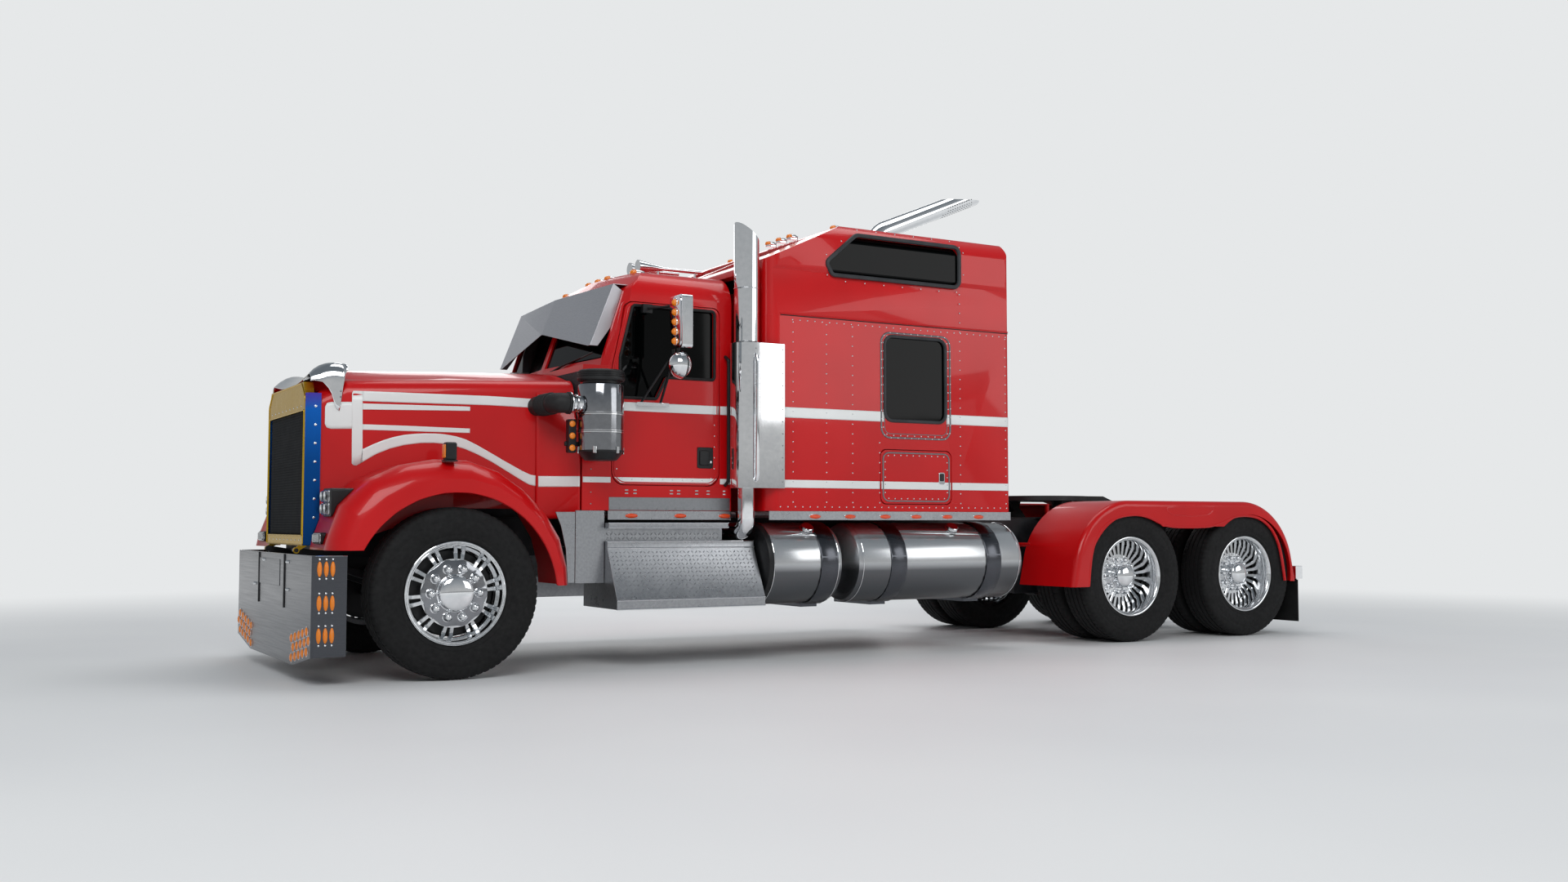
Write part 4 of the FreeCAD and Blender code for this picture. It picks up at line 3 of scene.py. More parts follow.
import bmesh
import bpy
import numpy as np
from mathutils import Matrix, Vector


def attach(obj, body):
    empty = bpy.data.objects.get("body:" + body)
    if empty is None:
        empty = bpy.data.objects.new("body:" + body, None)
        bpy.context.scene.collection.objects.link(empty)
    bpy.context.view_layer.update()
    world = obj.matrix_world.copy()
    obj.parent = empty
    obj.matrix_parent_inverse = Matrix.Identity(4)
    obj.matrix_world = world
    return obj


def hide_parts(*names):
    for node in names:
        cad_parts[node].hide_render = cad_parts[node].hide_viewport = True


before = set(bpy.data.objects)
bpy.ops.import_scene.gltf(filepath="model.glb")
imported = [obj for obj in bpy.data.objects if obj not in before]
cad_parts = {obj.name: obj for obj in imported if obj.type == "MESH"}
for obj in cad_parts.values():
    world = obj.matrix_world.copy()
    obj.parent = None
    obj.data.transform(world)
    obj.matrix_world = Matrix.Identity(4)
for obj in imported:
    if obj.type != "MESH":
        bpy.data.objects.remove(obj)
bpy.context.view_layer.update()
print("frame loaded")

# Stations run rearwards from the bumper's face, in metres, as in the part's source.
truck = {
    "length": 8.5765, "frontAxle": 0.886, "rearAxles": (6.5535, 7.8865), "axleHeight": 0.535,
    "tyreMiddle": 1.077, "twinSpacing": 0.335,
}
noseX = -truck["length"] / 2
sides = {"left": -1, "right": 1}


def at(station):
    return noseX + station


def spot(station, y, z):
    return (noseX + station, y, z)


# Materials: one function adds a node, one turns a hex value to linear colour.
def colour(hexValue, alpha=1.0):
    channels = [int(hexValue[i:i + 2], 16) / 255 for i in (1, 3, 5)]
    linear = [c / 12.92 if c <= 0.04045 else ((c + 0.055) / 1.055) ** 2.4 for c in channels]
    return (*linear, alpha)


def addNode(tree, kind, settings=None, inputs=None, links=None):
    node = tree.nodes.new(kind)
    for key, value in (settings or {}).items():
        setattr(node, key, value)
    for key, value in (inputs or {}).items():
        node.inputs[key].default_value = value
    for key, source in (links or {}).items():
        tree.links.new(source, node.inputs[key])
    return node


def newMaterial(name, shader):
    # Starts a material and returns its tree, its shader and Object coordinates.
    material = bpy.data.materials.new(name)
    material.use_nodes = True
    tree = material.node_tree
    tree.nodes.clear()
    surface = addNode(tree, "ShaderNodeBsdfPrincipled", inputs=shader)
    output = addNode(tree, "ShaderNodeOutputMaterial", links={"Surface": surface.outputs[0]})
    output.is_active_output = True
    place = addNode(tree, "ShaderNodeTexCoord").outputs["Object"]
    return material, tree, surface, place


def noise(tree, place, scale, detail=3.0, stretch=(1, 1, 1)):
    mapped = addNode(tree, "ShaderNodeMapping", inputs={"Scale": stretch}, links={"Vector": place})
    return addNode(tree, "ShaderNodeTexNoise", inputs={"Scale": scale, "Detail": detail},
                   links={"Vector": mapped.outputs[0]}).outputs["Fac"]


def ramp(tree, source, stops):
    node = addNode(tree, "ShaderNodeValToRGB", links={"Fac": source})
    band = node.color_ramp
    while len(band.elements) < len(stops):
        band.elements.new(0.5)
    for element, (position, value) in zip(band.elements, stops):
        element.position = position
        element.color = value
    return node.outputs["Color"]


def drive(tree, surface, socket, source, *stops):
    # A ramp of the source feeds one input of the shader.
    tree.links.new(ramp(tree, source, stops), surface.inputs[socket])


def bump(tree, surface, height, strength, distance):
    node = addNode(tree, "ShaderNodeBump", inputs={"Strength": strength, "Distance": distance},
                   links={"Height": height})
    tree.links.new(node.outputs[0], surface.inputs["Normal"])


def grey(value):
    return (value, value, value, 1.0)


def enamel(name, low, high, grain=420.0):
    # Two-pack enamel, sprayed and polished: deep colour under a clear coat with faint orange peel.
    material, tree, surface, place = newMaterial(name, {
        "Roughness": 0.34, "Coat Weight": 0.42, "Coat Roughness": 0.05, "Specular IOR Level": 0.22})
    drive(tree, surface, "Base Color", noise(tree, place, 1.6, 2.0), (0.3, colour(low)),
          (0.7, colour(high)))
    bump(tree, surface, noise(tree, place, grain, 1.0), 0.04, 0.0006)
    return material


def metal(name, low, high, rough, spread, stretch=(1, 1, 1), grain=90.0, lift=0.02):
    # A bare or plated metal: tone and gloss vary along the way it was polished or brushed.
    material, tree, surface, place = newMaterial(name, {"Metallic": 1.0})
    streaks = noise(tree, place, grain, 4.0, stretch)
    drive(tree, surface, "Base Color", streaks, (0.3, colour(low)), (0.7, colour(high)))
    drive(tree, surface, "Roughness", noise(tree, place, grain / 6, 3.0, stretch),
          (0.3, grey(rough)), (0.75, grey(rough + spread)))
    bump(tree, surface, streaks, lift, 0.0004)
    return material


def dull(name, low, high, rough, grain, lift, distance=0.0006, detail=4.0, extra=None):
    # Moulded, cast or powder-coated surface with a fine grain and some dust in it.
    material, tree, surface, place = newMaterial(name, {"Specular IOR Level": 0.4, **(extra or {})})
    drive(tree, surface, "Base Color", noise(tree, place, grain / 40), (0.35, colour(low)),
          (0.7, colour(high)))
    drive(tree, surface, "Roughness", noise(tree, place, grain / 8), (0.3, grey(rough - 0.06)),
          (0.7, grey(rough + 0.08)))
    bump(tree, surface, noise(tree, place, grain, detail), lift, distance)
    return material


def lens(name, base, rib, transmission=0.0, glow=0.0):
    # Moulded acrylic lens with fine ribs about 4 mm apart.
    material, tree, surface, place = newMaterial(name, {
        "Base Color": colour(base), "Roughness": 0.12, "Coat Weight": 0.6, "Coat Roughness": 0.05,
        "Transmission Weight": transmission, "IOR": 1.49, "Emission Color": colour(base),
        "Emission Strength": glow})
    wave = addNode(tree, "ShaderNodeTexWave", {"bands_direction": "Z"},
                   {"Scale": rib, "Distortion": 0.0}, {"Vector": place}).outputs["Fac"]
    bump(tree, surface, wave, 0.3, 0.001)
    return material


def glassPane(name):
    # Toughened glass as an opaque pane painted nearly black: painted shade of the dark cab inside.
    material, tree, surface, place = newMaterial(name, {
        "Base Color": colour("#020303"), "Specular IOR Level": 0.12, "IOR": 1.5})
    drive(tree, surface, "Roughness", noise(tree, place, 3.0, 2.0), (0.3, grey(0.02)),
          (0.8, grey(0.07)))
    return material


def tintAndReflectionByHeight(name, stops, lowZ, highZ):
    # Polished metal whose tone climbs with height: oxide colours from heat on the grille strips, and
    # painted reflection bands on the tanks.
    material, tree, surface, place = newMaterial(name, {"Metallic": 0.9, "Roughness": 0.22})
    height = addNode(tree, "ShaderNodeSeparateXYZ", links={"Vector": place}).outputs["Z"]
    share = addNode(tree, "ShaderNodeMapRange",
                    inputs={"From Min": lowZ, "From Max": highZ}, links={"Value": height})
    drive(tree, surface, "Base Color", share.outputs["Result"],
          *[(position, colour(value)) for position, value in stops])
    bump(tree, surface, noise(tree, place, 160.0, 2.0), 0.03, 0.0004)
    return material


finish = {
    "red": enamel("redEnamel", "#BE070C", "#CA0A10"),
    "white": enamel("whiteEnamel", "#E2E4E3", "#EDEFEE"),
    "chrome": metal("chromePlatedSteel", "#E4E6E8", "#EDEEF0", 0.04, 0.05, grain=30.0, lift=0.01),
    "alloy": metal("polishedAluminium", "#D4D6D8", "#E2E3E5", 0.12, 0.05, (1, 30, 30), 20.0, 0.008),
    "wheelAlloy": metal("forgedAluminium", "#D2D4D6", "#E4E6E8", 0.08, 0.06, grain=60.0, lift=0.01),
    "tread": metal("rolledTreadPlate", "#9B9DA1", "#ACAEB1", 0.26, 0.08, grain=60.0, lift=0.01),
    "smoked": metal("smokedStainless", "#53555A", "#5B5D62", 0.2, 0.08, (4, 1, 60), 12.0, 0.012),
    "visorSteel": metal("brushedStainless", "#C6C5CA", "#D6D5D9", 0.3, 0.06, (40, 1, 40), 10.0, 0.01),
    "satin": metal("satinAluminium", "#898B8E", "#909295", 0.38, 0.06, grain=60.0, lift=0.004),
    # darkChrome is chrome with a darker tone; on the front wheel plates that tone is a painted
    # reflection of the dark ground.
    "darkChrome": metal("darkenedChrome", "#8A8C90", "#94969A", 0.08, 0.04, grain=30.0, lift=0.01),
    "gold": metal("goldStainless", "#C6A02A", "#CFAA34", 0.26, 0.06, grain=50.0, lift=0.006),
    "blue": tintAndReflectionByHeight("heatTintedStainless", [(0.0, "#07396F"), (0.5, "#0D52A0"), (0.84, "#1E74DC"),
                                             (0.93, "#5A50C8"), (1.0, "#9A5AB8")], 0.83, 1.86),
    # black is powder coat on most parts; on the far pipe's perforated tip its dots are painted shade
    # for the holes.
    "black": dull("powderCoatAndShadeBlack", "#101113", "#1A1B1D", 0.42, 500.0, 0.1),
    "chassis": dull("chassisPaint", "#15161A", "#26272A", 0.5, 380.0, 0.15),
    "iron": dull("greasedCastSteel", "#17181A", "#2B2C2E", 0.45, 160.0, 0.35, 0.002),
    "engine": dull("castIronGrey", "#4C4E50", "#67696B", 0.55, 220.0, 0.3, 0.0015,
                   extra={"Metallic": 0.5}),
    "core": dull("radiatorCore", "#2A2B2D", "#3D3E40", 0.6, 300.0, 0.4, 0.002),
    "tyre": dull("tyreRubber", "#070708", "#0D0D0E", 0.78, 300.0, 0.25, 0.0012),
    "mirrorGlass": metal("silveredMirrorGlass", "#A9B0B6", "#B4BABF", 0.02, 0.02, grain=8.0, lift=0.0),
    "greyRubber": dull("weatheredGasketRubber", "#2B2D30", "#3A3C3F", 0.55, 260.0, 0.2),
    "rubber": dull("mouldedRubber", "#111112", "#1D1D1E", 0.62, 260.0, 0.2),
    "trim": dull("grainedTrimPlastic", "#202124", "#2E2F33", 0.6, 420.0, 0.3),
    "cloth": dull("wovenSeatCloth", "#26272B", "#3A3B40", 0.85, 700.0, 0.5, 0.001,
                  extra={"Sheen Weight": 0.4}),
    "glass": glassPane("shadePaintedGlass"),
    "amber": lens("amberAcrylic", "#EA8000", 250.0, glow=0.06),
    "deepAmber": lens("deepAmberAcrylic", "#DD4408", 250.0, glow=0.1),
    # Tank bands are painted reflection: dark low down, a bright band above, and a darker strip at the
    # top where the sill is reflected.
    "tank": tintAndReflectionByHeight("paintedReflectionAluminium", [(0.0, "#5A5C5F"), (0.40, "#6A6C6F"), (0.50, "#C6C8CA"),
                                             (0.85, "#E2E4E6"), (1.0, "#8A8C8F")], 0.391, 0.973),
    "redLens": lens("redAcrylic", "#A81216", 250.0),
    "clearLens": lens("clearAcrylic", "#F4F6F8", 120.0, 0.96),
}
print("materials ready")


# Surfaces: every helper returns points and faces, computed as whole arrays.
def gridFaces(rows, columns, closeRows=False, closeColumns=False):
    # Quads of a grid of points, wrapped round where it closes.
    r = np.arange(rows if closeRows else rows - 1)
    c = np.arange(columns if closeColumns else columns - 1)
    rr, cc = np.meshgrid(r, c, indexing="ij")
    nextRow = (rr + 1) % rows
    nextColumn = (cc + 1) % columns
    quads = [rr * columns + cc, rr * columns + nextColumn,
             nextRow * columns + nextColumn, nextRow * columns + cc]
    return np.stack(quads, -1).reshape(-1, 4)


def gridPatch(points, closeRows=False, closeColumns=False):
    rows, columns = points.shape[:2]
    return points.reshape(-1, 3), gridFaces(rows, columns, closeRows, closeColumns).tolist()


def basis(axis):
    # Two unit vectors square to an axis.
    along = np.array(axis, float) / np.linalg.norm(axis)
    reference = np.array([0, 0, 1.0]) if abs(along[2]) < 0.9 else np.array([1.0, 0, 0])
    across = np.cross(reference, along)
    across /= np.linalg.norm(across)
    return along, across, np.cross(along, across)


def turned(profile, centre, axis, steps=72):
    # Point = centre + axis * distance + radius * (across cos t + up sin t), closed in t.
    along, across, up = basis(axis)
    radius, distance = np.array(profile, float).T
    t = np.linspace(0, 2 * np.pi, steps, endpoint=False)
    ring = np.cos(t)[:, None] * across + np.sin(t)[:, None] * up
    points = (np.array(centre, float) + distance[:, None, None] * along
              + radius[:, None, None] * ring[None])
    return gridPatch(points, closeColumns=True)


def tube(path, radius, around=12, closed=False):
    # Circle carried along a path: point = path + radius * (side cos t + up sin t).
    path = np.array(path, float)
    ahead = np.roll(path, -1, 0) - np.roll(path, 1, 0)
    if not closed:
        ahead[0] = path[1] - path[0]
        ahead[-1] = path[-1] - path[-2]
    ahead /= np.linalg.norm(ahead, axis=1)[:, None]
    spread = np.abs(ahead).max(0)
    reference = np.eye(3)[np.argmin(spread)]
    side = np.cross(ahead, reference)
    side /= np.linalg.norm(side, axis=1)[:, None]
    up = np.cross(side, ahead)
    t = np.linspace(0, 2 * np.pi, around, endpoint=False)
    size = np.broadcast_to(np.array(radius, float), len(path))[:, None, None]
    points = path[:, None] + size * (side[:, None] * np.cos(t)[None, :, None]
                                     + up[:, None] * np.sin(t)[None, :, None])
    verts, faces = gridPatch(points, closeRows=closed, closeColumns=True)
    if not closed:
        first = list(range(around))
        last = [len(verts) - around + i for i in range(around)]
        faces += [first[::-1], last]
    return verts, faces


def rounded(corners, steps=6):
    # Outline with each corner (a, b, radius) turned into an arc of that radius.
    points = []
    count = len(corners)
    for i, (a, b, r) in enumerate(corners):
        here = np.array([a, b])
        if r <= 0:
            points.append(here[None])
            continue
        back = np.array(corners[i - 1][:2]) - here
        forth = np.array(corners[(i + 1) % count][:2]) - here
        back /= np.linalg.norm(back)
        forth /= np.linalg.norm(forth)
        half = math.acos(np.clip(back @ forth, -1, 1)) / 2
        middle = back + forth
        centre = here + middle / np.linalg.norm(middle) * (r / math.sin(half))
        start = here + back * (r / math.tan(half)) - centre
        end = here + forth * (r / math.tan(half)) - centre
        first = math.atan2(start[1], start[0])
        turn = (math.atan2(end[1], end[0]) - first + math.pi) % (2 * math.pi) - math.pi
        angles = first + turn * np.linspace(0, 1, steps)
        points.append(centre + r * np.stack([np.cos(angles), np.sin(angles)], 1))
    return np.concatenate(points)


def box2d(a0, a1, b0, b1, r=0.0):
    return rounded([(a0, b0, r), (a1, b0, r), (a1, b1, r), (a0, b1, r)])


def grown(outline, amount):
    # Outline moved outwards by an amount, each point along the mitre of its two edges.
    forward = np.roll(outline, -1, 0) - outline
    length = np.linalg.norm(forward, axis=1)[:, None]
    normal = np.stack([forward[:, 1], -forward[:, 0]], 1) / np.maximum(length, 1e-9)
    area = 0.5 * np.sum(outline[:, 0] * np.roll(outline[:, 1], -1)
                        - np.roll(outline[:, 0], -1) * outline[:, 1])
    mitre = normal + np.roll(normal, 1, 0)
    size = np.maximum(np.sum(mitre * mitre, 1), 0.5)[:, None]
    return outline + mitre * (2 * amount * np.sign(area) / size)


def lift(outline, axis, level):
    a, b = outline.T
    level = np.full_like(a, level)
    order = {"x": (level, a, b), "y": (a, level, b), "z": (a, b, level)}
    return np.stack(order[axis], 1)


def plate(outline, axis, low, high, edge=0.0015):
    # Closed plate: its outline at both faces is drawn in by the edge's rounding.
    edge = min(edge, abs(high - low) / 2.2)
    step = math.copysign(edge, high - low)
    inset = grown(outline, -edge)
    rings = [lift(inset, axis, low), lift(outline, axis, low + step),
             lift(outline, axis, high - step), lift(inset, axis, high)]
    points = np.stack(rings)
    verts, faces = gridPatch(points, closeColumns=True)
    n = len(outline)
    faces += [list(range(n))[::-1], [3 * n + i for i in range(n)]]
    return verts, faces


def frameRing(outline, axis, level, radius, around=8):
    # Round bead along a closed outline, as a gasket or a trim moulding has.
    return tube(lift(outline, axis, level), radius, around, closed=True)


def copies(patch, centres):
    # The patch repeated at all centres at once.
    verts, faces = patch
    centres = np.array(centres, float).reshape(-1, 3)
    points = (centres[:, None] + verts[None]).reshape(-1, 3)
    starts = range(0, len(points), len(verts))
    return points, [[v + start for v in face] for start in starts for face in faces]


def ovals(centres, normal, tall, wide, height, around=16):
    # Low domes: point = wide * across cos t + tall * up sin t, shrunk with the level, and a top.
    along, across, up = basis(normal)
    t = np.linspace(0, 2 * np.pi, around, endpoint=False)
    ring = wide * np.cos(t)[:, None] * across + tall * np.sin(t)[:, None] * up
    levels = (0.0, 0.55, 0.9)
    rings = [ring * math.sqrt(1 - v * v) + along * height * v for v in levels]
    verts = np.concatenate(rings + [along[None] * height])
    last = (len(levels) - 1) * around
    faces = gridFaces(len(levels), around, closeColumns=True).tolist()
    faces += [[last + i, last + (i + 1) % around, last + around] for i in range(around)]
    faces.append(list(range(around))[::-1])
    return copies((verts, faces), centres)


def studs(centres, normal, radius, height, around=8):
    return ovals(centres, normal, radius, radius, height, around)


def addPiece(name, mesh, build, material, body, crease):
    # Writes a cleaned mesh back and gives it its shading, finish and body.
    build.to_mesh(mesh)
    build.free()
    mesh.shade_smooth()
    mesh.set_sharp_from_angle(angle=math.radians(crease))
    mesh.materials.clear()
    mesh.materials.append(finish[material])
    piece = bpy.data.objects.new(name, mesh)
    bpy.context.collection.objects.link(piece)
    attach(piece, body)
    return piece


def makePiece(name, patches, material, body="chassis", replaces=(), crease=35.0,
              closed=True):
    # Joins patches into one object, closes its seams and poles and turns its faces outwards.
    verts, faces = [], []
    total = 0
    for points, polygons in patches:
        verts.append(points)
        faces += [[v + total for v in polygon] for polygon in polygons]
        total += len(points)
    mesh = bpy.data.meshes.new(name)
    mesh.from_pydata(np.concatenate(verts).tolist(), [], faces)
    build = bmesh.new()
    build.from_mesh(mesh)
    bmesh.ops.remove_doubles(build, verts=build.verts, dist=2e-5)
    if closed:
        bmesh.ops.recalc_face_normals(build, faces=build.faces)
    piece = addPiece(name, mesh, build, material, body, crease)
    if replaces:
        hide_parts(*replaces)
    return piece


def wall(piece, thickness, offset=-1.0):
    solid = piece.modifiers.new("wall", "SOLIDIFY")
    solid.thickness = thickness
    solid.offset = offset
    return piece


def dressed(node, material, body, edge):
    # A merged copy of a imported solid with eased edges, which takes the solid's place.
    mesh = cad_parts[node].data.copy()
    name = mesh.name = node + "Finished"
    build = bmesh.new()
    build.from_mesh(mesh)
    bmesh.ops.remove_doubles(build, verts=build.verts, dist=1e-5)
    bmesh.ops.dissolve_limit(build, angle_limit=math.radians(0.6), verts=build.verts,
                             edges=build.edges)
    piece = addPiece(name, mesh, build, material, body, 30.0)
    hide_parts(node)
    if edge > 0:
        bevel = piece.modifiers.new("edges", "BEVEL")
        bevel.width = edge
        bevel.segments = 2
        bevel.limit_method = "ANGLE"
        bevel.angle_limit = math.radians(32.0)
        bevel.harden_normals = True
    return piece


def bothSides(patch):
    verts, faces = patch
    return [patch, (verts * (1, -1, 1), [face[::-1] for face in faces])]


def spun(patch, centre, axis, count, start=0.0):
    # The patch repeated evenly round an axis: its two square parts turn by each angle at once.
    verts, faces = patch
    square = np.stack(basis(axis))
    local = (verts - np.array(centre, float)) @ square.T
    t = (start + np.arange(count) * 2 * np.pi / count)[:, None]
    a, b, c = local.T
    turns = np.stack([np.broadcast_to(a, (count, len(a))), b * np.cos(t) - c * np.sin(t),
                      b * np.sin(t) + c * np.cos(t)], -1)
    points = (turns @ square).reshape(-1, 3) + np.array(centre, float)
    return points, [[v + i * len(verts) for v in face] for i in range(count) for face in faces]


def bar(stations, centre, axis):
    # Rounded bar along the first square direction: each station is (radius, half width, front, back).
    along, across, up = basis(axis)
    radius, half, front, back = np.array(stations, float).T[:, :, None]
    a = np.array([-1, -0.75, 0.75, 1, 1, 0.75, -0.75, -1])
    b = np.array([0.2, 0, 0, 0.2, 0.8, 1, 1, 0.8])
    depth = front + (back - front) * b
    points = (np.array(centre, float) + radius[..., None] * up + (half * a)[..., None] * across
              + depth[..., None] * along)
    verts, faces = gridPatch(points, closeColumns=True)
    last = len(verts) - 8
    return verts, faces + [list(range(8))[::-1], [last + i for i in range(8)]]


def block(corner, opposite, edge=0.002):
    # Box between two corners with eased vertical edges.
    low, high = np.sort([corner, opposite], axis=0)
    return plate(box2d(low[0], high[0], low[1], high[1], edge), "z", low[2], high[2], edge)


def ball(centre, radius, squash=(1, 1, 1), around=24):
    # Sphere by latitude and longitude, squashed along each axis.
    t = np.linspace(0, np.pi, around // 2 + 1)
    profile = np.stack([np.sin(t), -np.cos(t)], 1) * radius
    verts, faces = turned(profile, (0, 0, 0), (0, 0, 1), around)
    return verts * np.array(squash) + np.array(centre, float), faces


def torus(centre, axis, radius, thickness, steps=48, around=8):
    _, across, up = basis(axis)
    t = np.linspace(0, 2 * np.pi, steps, endpoint=False)[:, None]
    path = np.array(centre, float) + radius * (np.cos(t) * across + np.sin(t) * up)
    return tube(path, thickness, around, closed=True)


def row(first, last, pitch):
    # Evenly spaced points from one end to the other, about a pitch apart.
    first, last = np.array(first, float), np.array(last, float)
    count = max(2, int(round(np.linalg.norm(last - first) / pitch)) + 1)
    return first + (last - first) * np.linspace(0, 1, count)[:, None]


def lengths(line):
    # Distance run at each point of a line.
    return np.concatenate([[0], np.cumsum(np.linalg.norm(np.diff(line, axis=0), axis=1))])


def resampled(line, count):
    # Points spaced evenly along a line.
    line = np.array(line, float)
    run = lengths(line)
    marks = np.linspace(0, run[-1], count)
    return np.stack([np.interp(marks, run, line[:, k]) for k in (0, 1)], 1)


def alongLoop(outline, pitch):
    # Points spaced evenly round a closed outline.
    closed = np.concatenate([outline, outline[:1]])
    return resampled(closed, int(lengths(closed)[-1] / pitch) + 1)[:-1]


def domeProfile(radius, start, rise, steps=9):
    # Quarter ellipse from the rim to the top: radius cos a, start + rise sin a.
    a = np.linspace(0, math.pi / 2, steps)
    return list(zip(radius * np.cos(a), start + rise * np.sin(a)))


def repaint(piece, material, low, high):
    # Faces of a piece whose middle lies in a box take another material.
    mesh = piece.data
    mesh.materials.append(finish[material])
    middles = np.empty(len(mesh.polygons) * 3)
    mesh.polygons.foreach_get("center", middles)
    middles = middles.reshape(-1, 3)
    low, high = np.sort([low, high], axis=0)
    index = np.empty(len(mesh.polygons), np.int32)
    mesh.polygons.foreach_get("material_index", index)
    inside = np.all((middles >= low) & (middles <= high), axis=1)
    index[inside] = len(mesh.materials) - 1
    mesh.polygons.foreach_set("material_index", index)


def decal(name, lower, upper, target, body, side, along=60, across=8):
    # Painted band: a grid between two edge lines, laid along Y onto the panel and given its film.
    v = np.linspace(0, 1, across)[:, None, None]
    flat = resampled(lower, along)[None] * (1 - v) + resampled(upper, along)[None] * v
    level = np.full(flat.shape[:2], sides[side] * stripe["outside"])
    points = np.stack([at(flat[..., 0]), level, flat[..., 1]], -1)
    piece = makePiece(name + side.title(), [gridPatch(points)], "white", body, closed=False)
    settle = piece.modifiers.new("onPanel", "SHRINKWRAP")
    settle.wrap_method = "PROJECT"
    settle.use_project_y = True
    settle.use_negative_direction = sides[side] > 0
    settle.use_positive_direction = sides[side] < 0
    settle.target = made[target]
    settle.wrap_mode = "ABOVE_SURFACE"
    settle.offset = stripe["film"]
    wall(piece, stripe["film"] * 0.8, 0.0)


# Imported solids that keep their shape: finish and how far an edge is eased, and any other slot.
kept = {
    "chassis": {
        "frame_rails": ("chassis", 0.003), "front_axle": ("chassis", 0.004),
        "rear_axles": ("chassis", 0.003), "rear_suspension": ("chassis", 0.003),
        "engine": ("engine", 0.006), "radiator": ("core", 0.003), "bumper": ("smoked", 0.002),
        "cab_shell": ("red", 0.004), "cab_floor": ("trim", 0.006), "windows": ("glass", 0.0),
        "visor": ("visorSteel", 0.0015), "horns": ("chrome", 0.002),
        "sleeper_body": ("red", 0.003), "sleeper_roof": ("red", 0.004),
        "side_steps": ("tread", 0.003), "fuel_tanks": ("tank", 0.0),
        "tank_straps": ("smoked", 0.001, "black_rubber"), "exhaust_stacks": ("chrome", 0.001),
        "rear_fenders": ("red", 0.006), "mud_flaps": ("rubber", 0.002),
        "tail_brackets": ("chassis", 0.002), "fifth_wheel_base": ("iron", 0.003),
    },
    "coupling_plate": {"fifth_wheel_plate": ("iron", 0.004, "fifth_wheel_iron")},
    "hood": {
        "hood_shell": ("red", 0.0), "grille_surround": ("gold", 0.003),
        "headlamps": ("black", 0.004), "intake_elbows": ("rubber", 0.0),
    },
}
for side in sides:
    kept["door_" + side] = {"door_" + side: ("red", 0.004), "door_glass_" + side: ("glass", 0.001),
                            "mirror_" + side: ("black", 0.003)}
    kept["luggage_" + side] = {"luggage_door_" + side: ("red", 0.003)}
    kept["steering_" + side] = {"knuckle_" + side: ("chassis", 0.003)}

made = {}
for body, rows in kept.items():
    for node, (material, edge, *slot) in rows.items():
        made[node] = dressed(node, material, body, edge)
print("packed solids dressed")


# Seats and bunk: upholstered pads on plain pedestals, places in metres.
pads = {
    "middle": 0.45, "baseHalf": 0.2, "baseLow": 1.096, "baseFront": -1.92325, "baseRear": -1.54325,
    "cushionHeight": 1.486, "cushionMiddle": -1.743, "cushionHalf": (0.24, 0.26, 0.07),
    "backMiddle": (-1.499, 1.886), "backHalf": (0.35, 0.24, 0.055), "lean": 0.086,
    "bunkMiddle": (0.3915, 0.0, 1.6671), "bunkHalf": (0.54, 1.175, 0.0828),
    "around": 64, "along": 121, "pull": 0.035, "crown": 0.14, "seam": 0.1, "seamWidth": 0.035,
    "endPower": 0.3, "widthPower": 0.4, "sidePower": 0.4, "topPower": 0.6,
    "cushionChannels": 4, "backChannels": 6, "bunkChannels": 5,
}


def signedPower(value, power):
    return np.sign(value) * np.abs(value) ** power


def cushion(name, centre, along, half, channels):
    # Lofted pad: squared sections that shrink to its ends, a crown, sides pulled in between
    # the corners, and a sewn channel wherever the depth is drawn in by a narrow bell curve.
    along = np.array(along, float)
    across = np.array([0.0, 1.0, 0.0])
    up = np.cross(along, across)
    t = np.linspace(-np.pi / 2, np.pi / 2, pads["along"])
    u = np.linspace(0, 2 * np.pi, pads["around"], endpoint=False)
    reach = np.sin(t)
    seams = np.linspace(-1, 1, channels + 1)[1:-1]
    drawn = np.exp(-((reach[:, None] - seams) / pads["seamWidth"]) ** 2).sum(1)
    taper = np.cos(t) ** pads["endPower"]
    width = taper ** pads["widthPower"] * (1 - pads["pull"] * (1 - reach ** 2))
    depth = taper * (1 - pads["seam"] * drawn)
    y = signedPower(np.cos(u), pads["sidePower"])
    z = signedPower(np.sin(u), pads["topPower"])
    crown = 1 - pads["crown"] * (y ** 2 + reach[:, None] ** 2) / 2
    pull = 1 - pads["pull"] * (1 - y ** 2)
    points = (np.array(centre) + (half[0] * reach[:, None] * pull)[..., None] * along
              + (half[1] * width[:, None] * y)[..., None] * across
              + (half[2] * depth[:, None] * z * crown)[..., None] * up)
    return makePiece(name, [gridPatch(points, closeColumns=True)], "cloth", replaces=("seats",),
                     crease=60.0)


def seatPads():
    bases = []
    ahead = (1, 0, 0)
    lean = (math.sin(pads["lean"]), 0.0, math.cos(pads["lean"]))
    half = pads["baseHalf"]
    top = pads["cushionHeight"] - pads["cushionHalf"][2] * 0.6
    for side, sign in sides.items():
        y = sign * pads["middle"]
        bases.append(block((pads["baseFront"], y - half, pads["baseLow"]),
                           (pads["baseRear"], y + half, top), 0.02))
        seat = cushion("seatCushion" + side.title(),
                       (pads["cushionMiddle"], y, pads["cushionHeight"]), ahead,
                       pads["cushionHalf"], pads["cushionChannels"])
        back = cushion("seatBack" + side.title(), (pads["backMiddle"][0], y, pads["backMiddle"][1]),
                       lean, pads["backHalf"], pads["backChannels"])
    bunk = cushion("bunkMattress", pads["bunkMiddle"], ahead, pads["bunkHalf"], pads["bunkChannels"])
    makePiece("seatPedestals", bases, "trim", replaces=("seats",))


seatPads()
print("seats and bunk made")


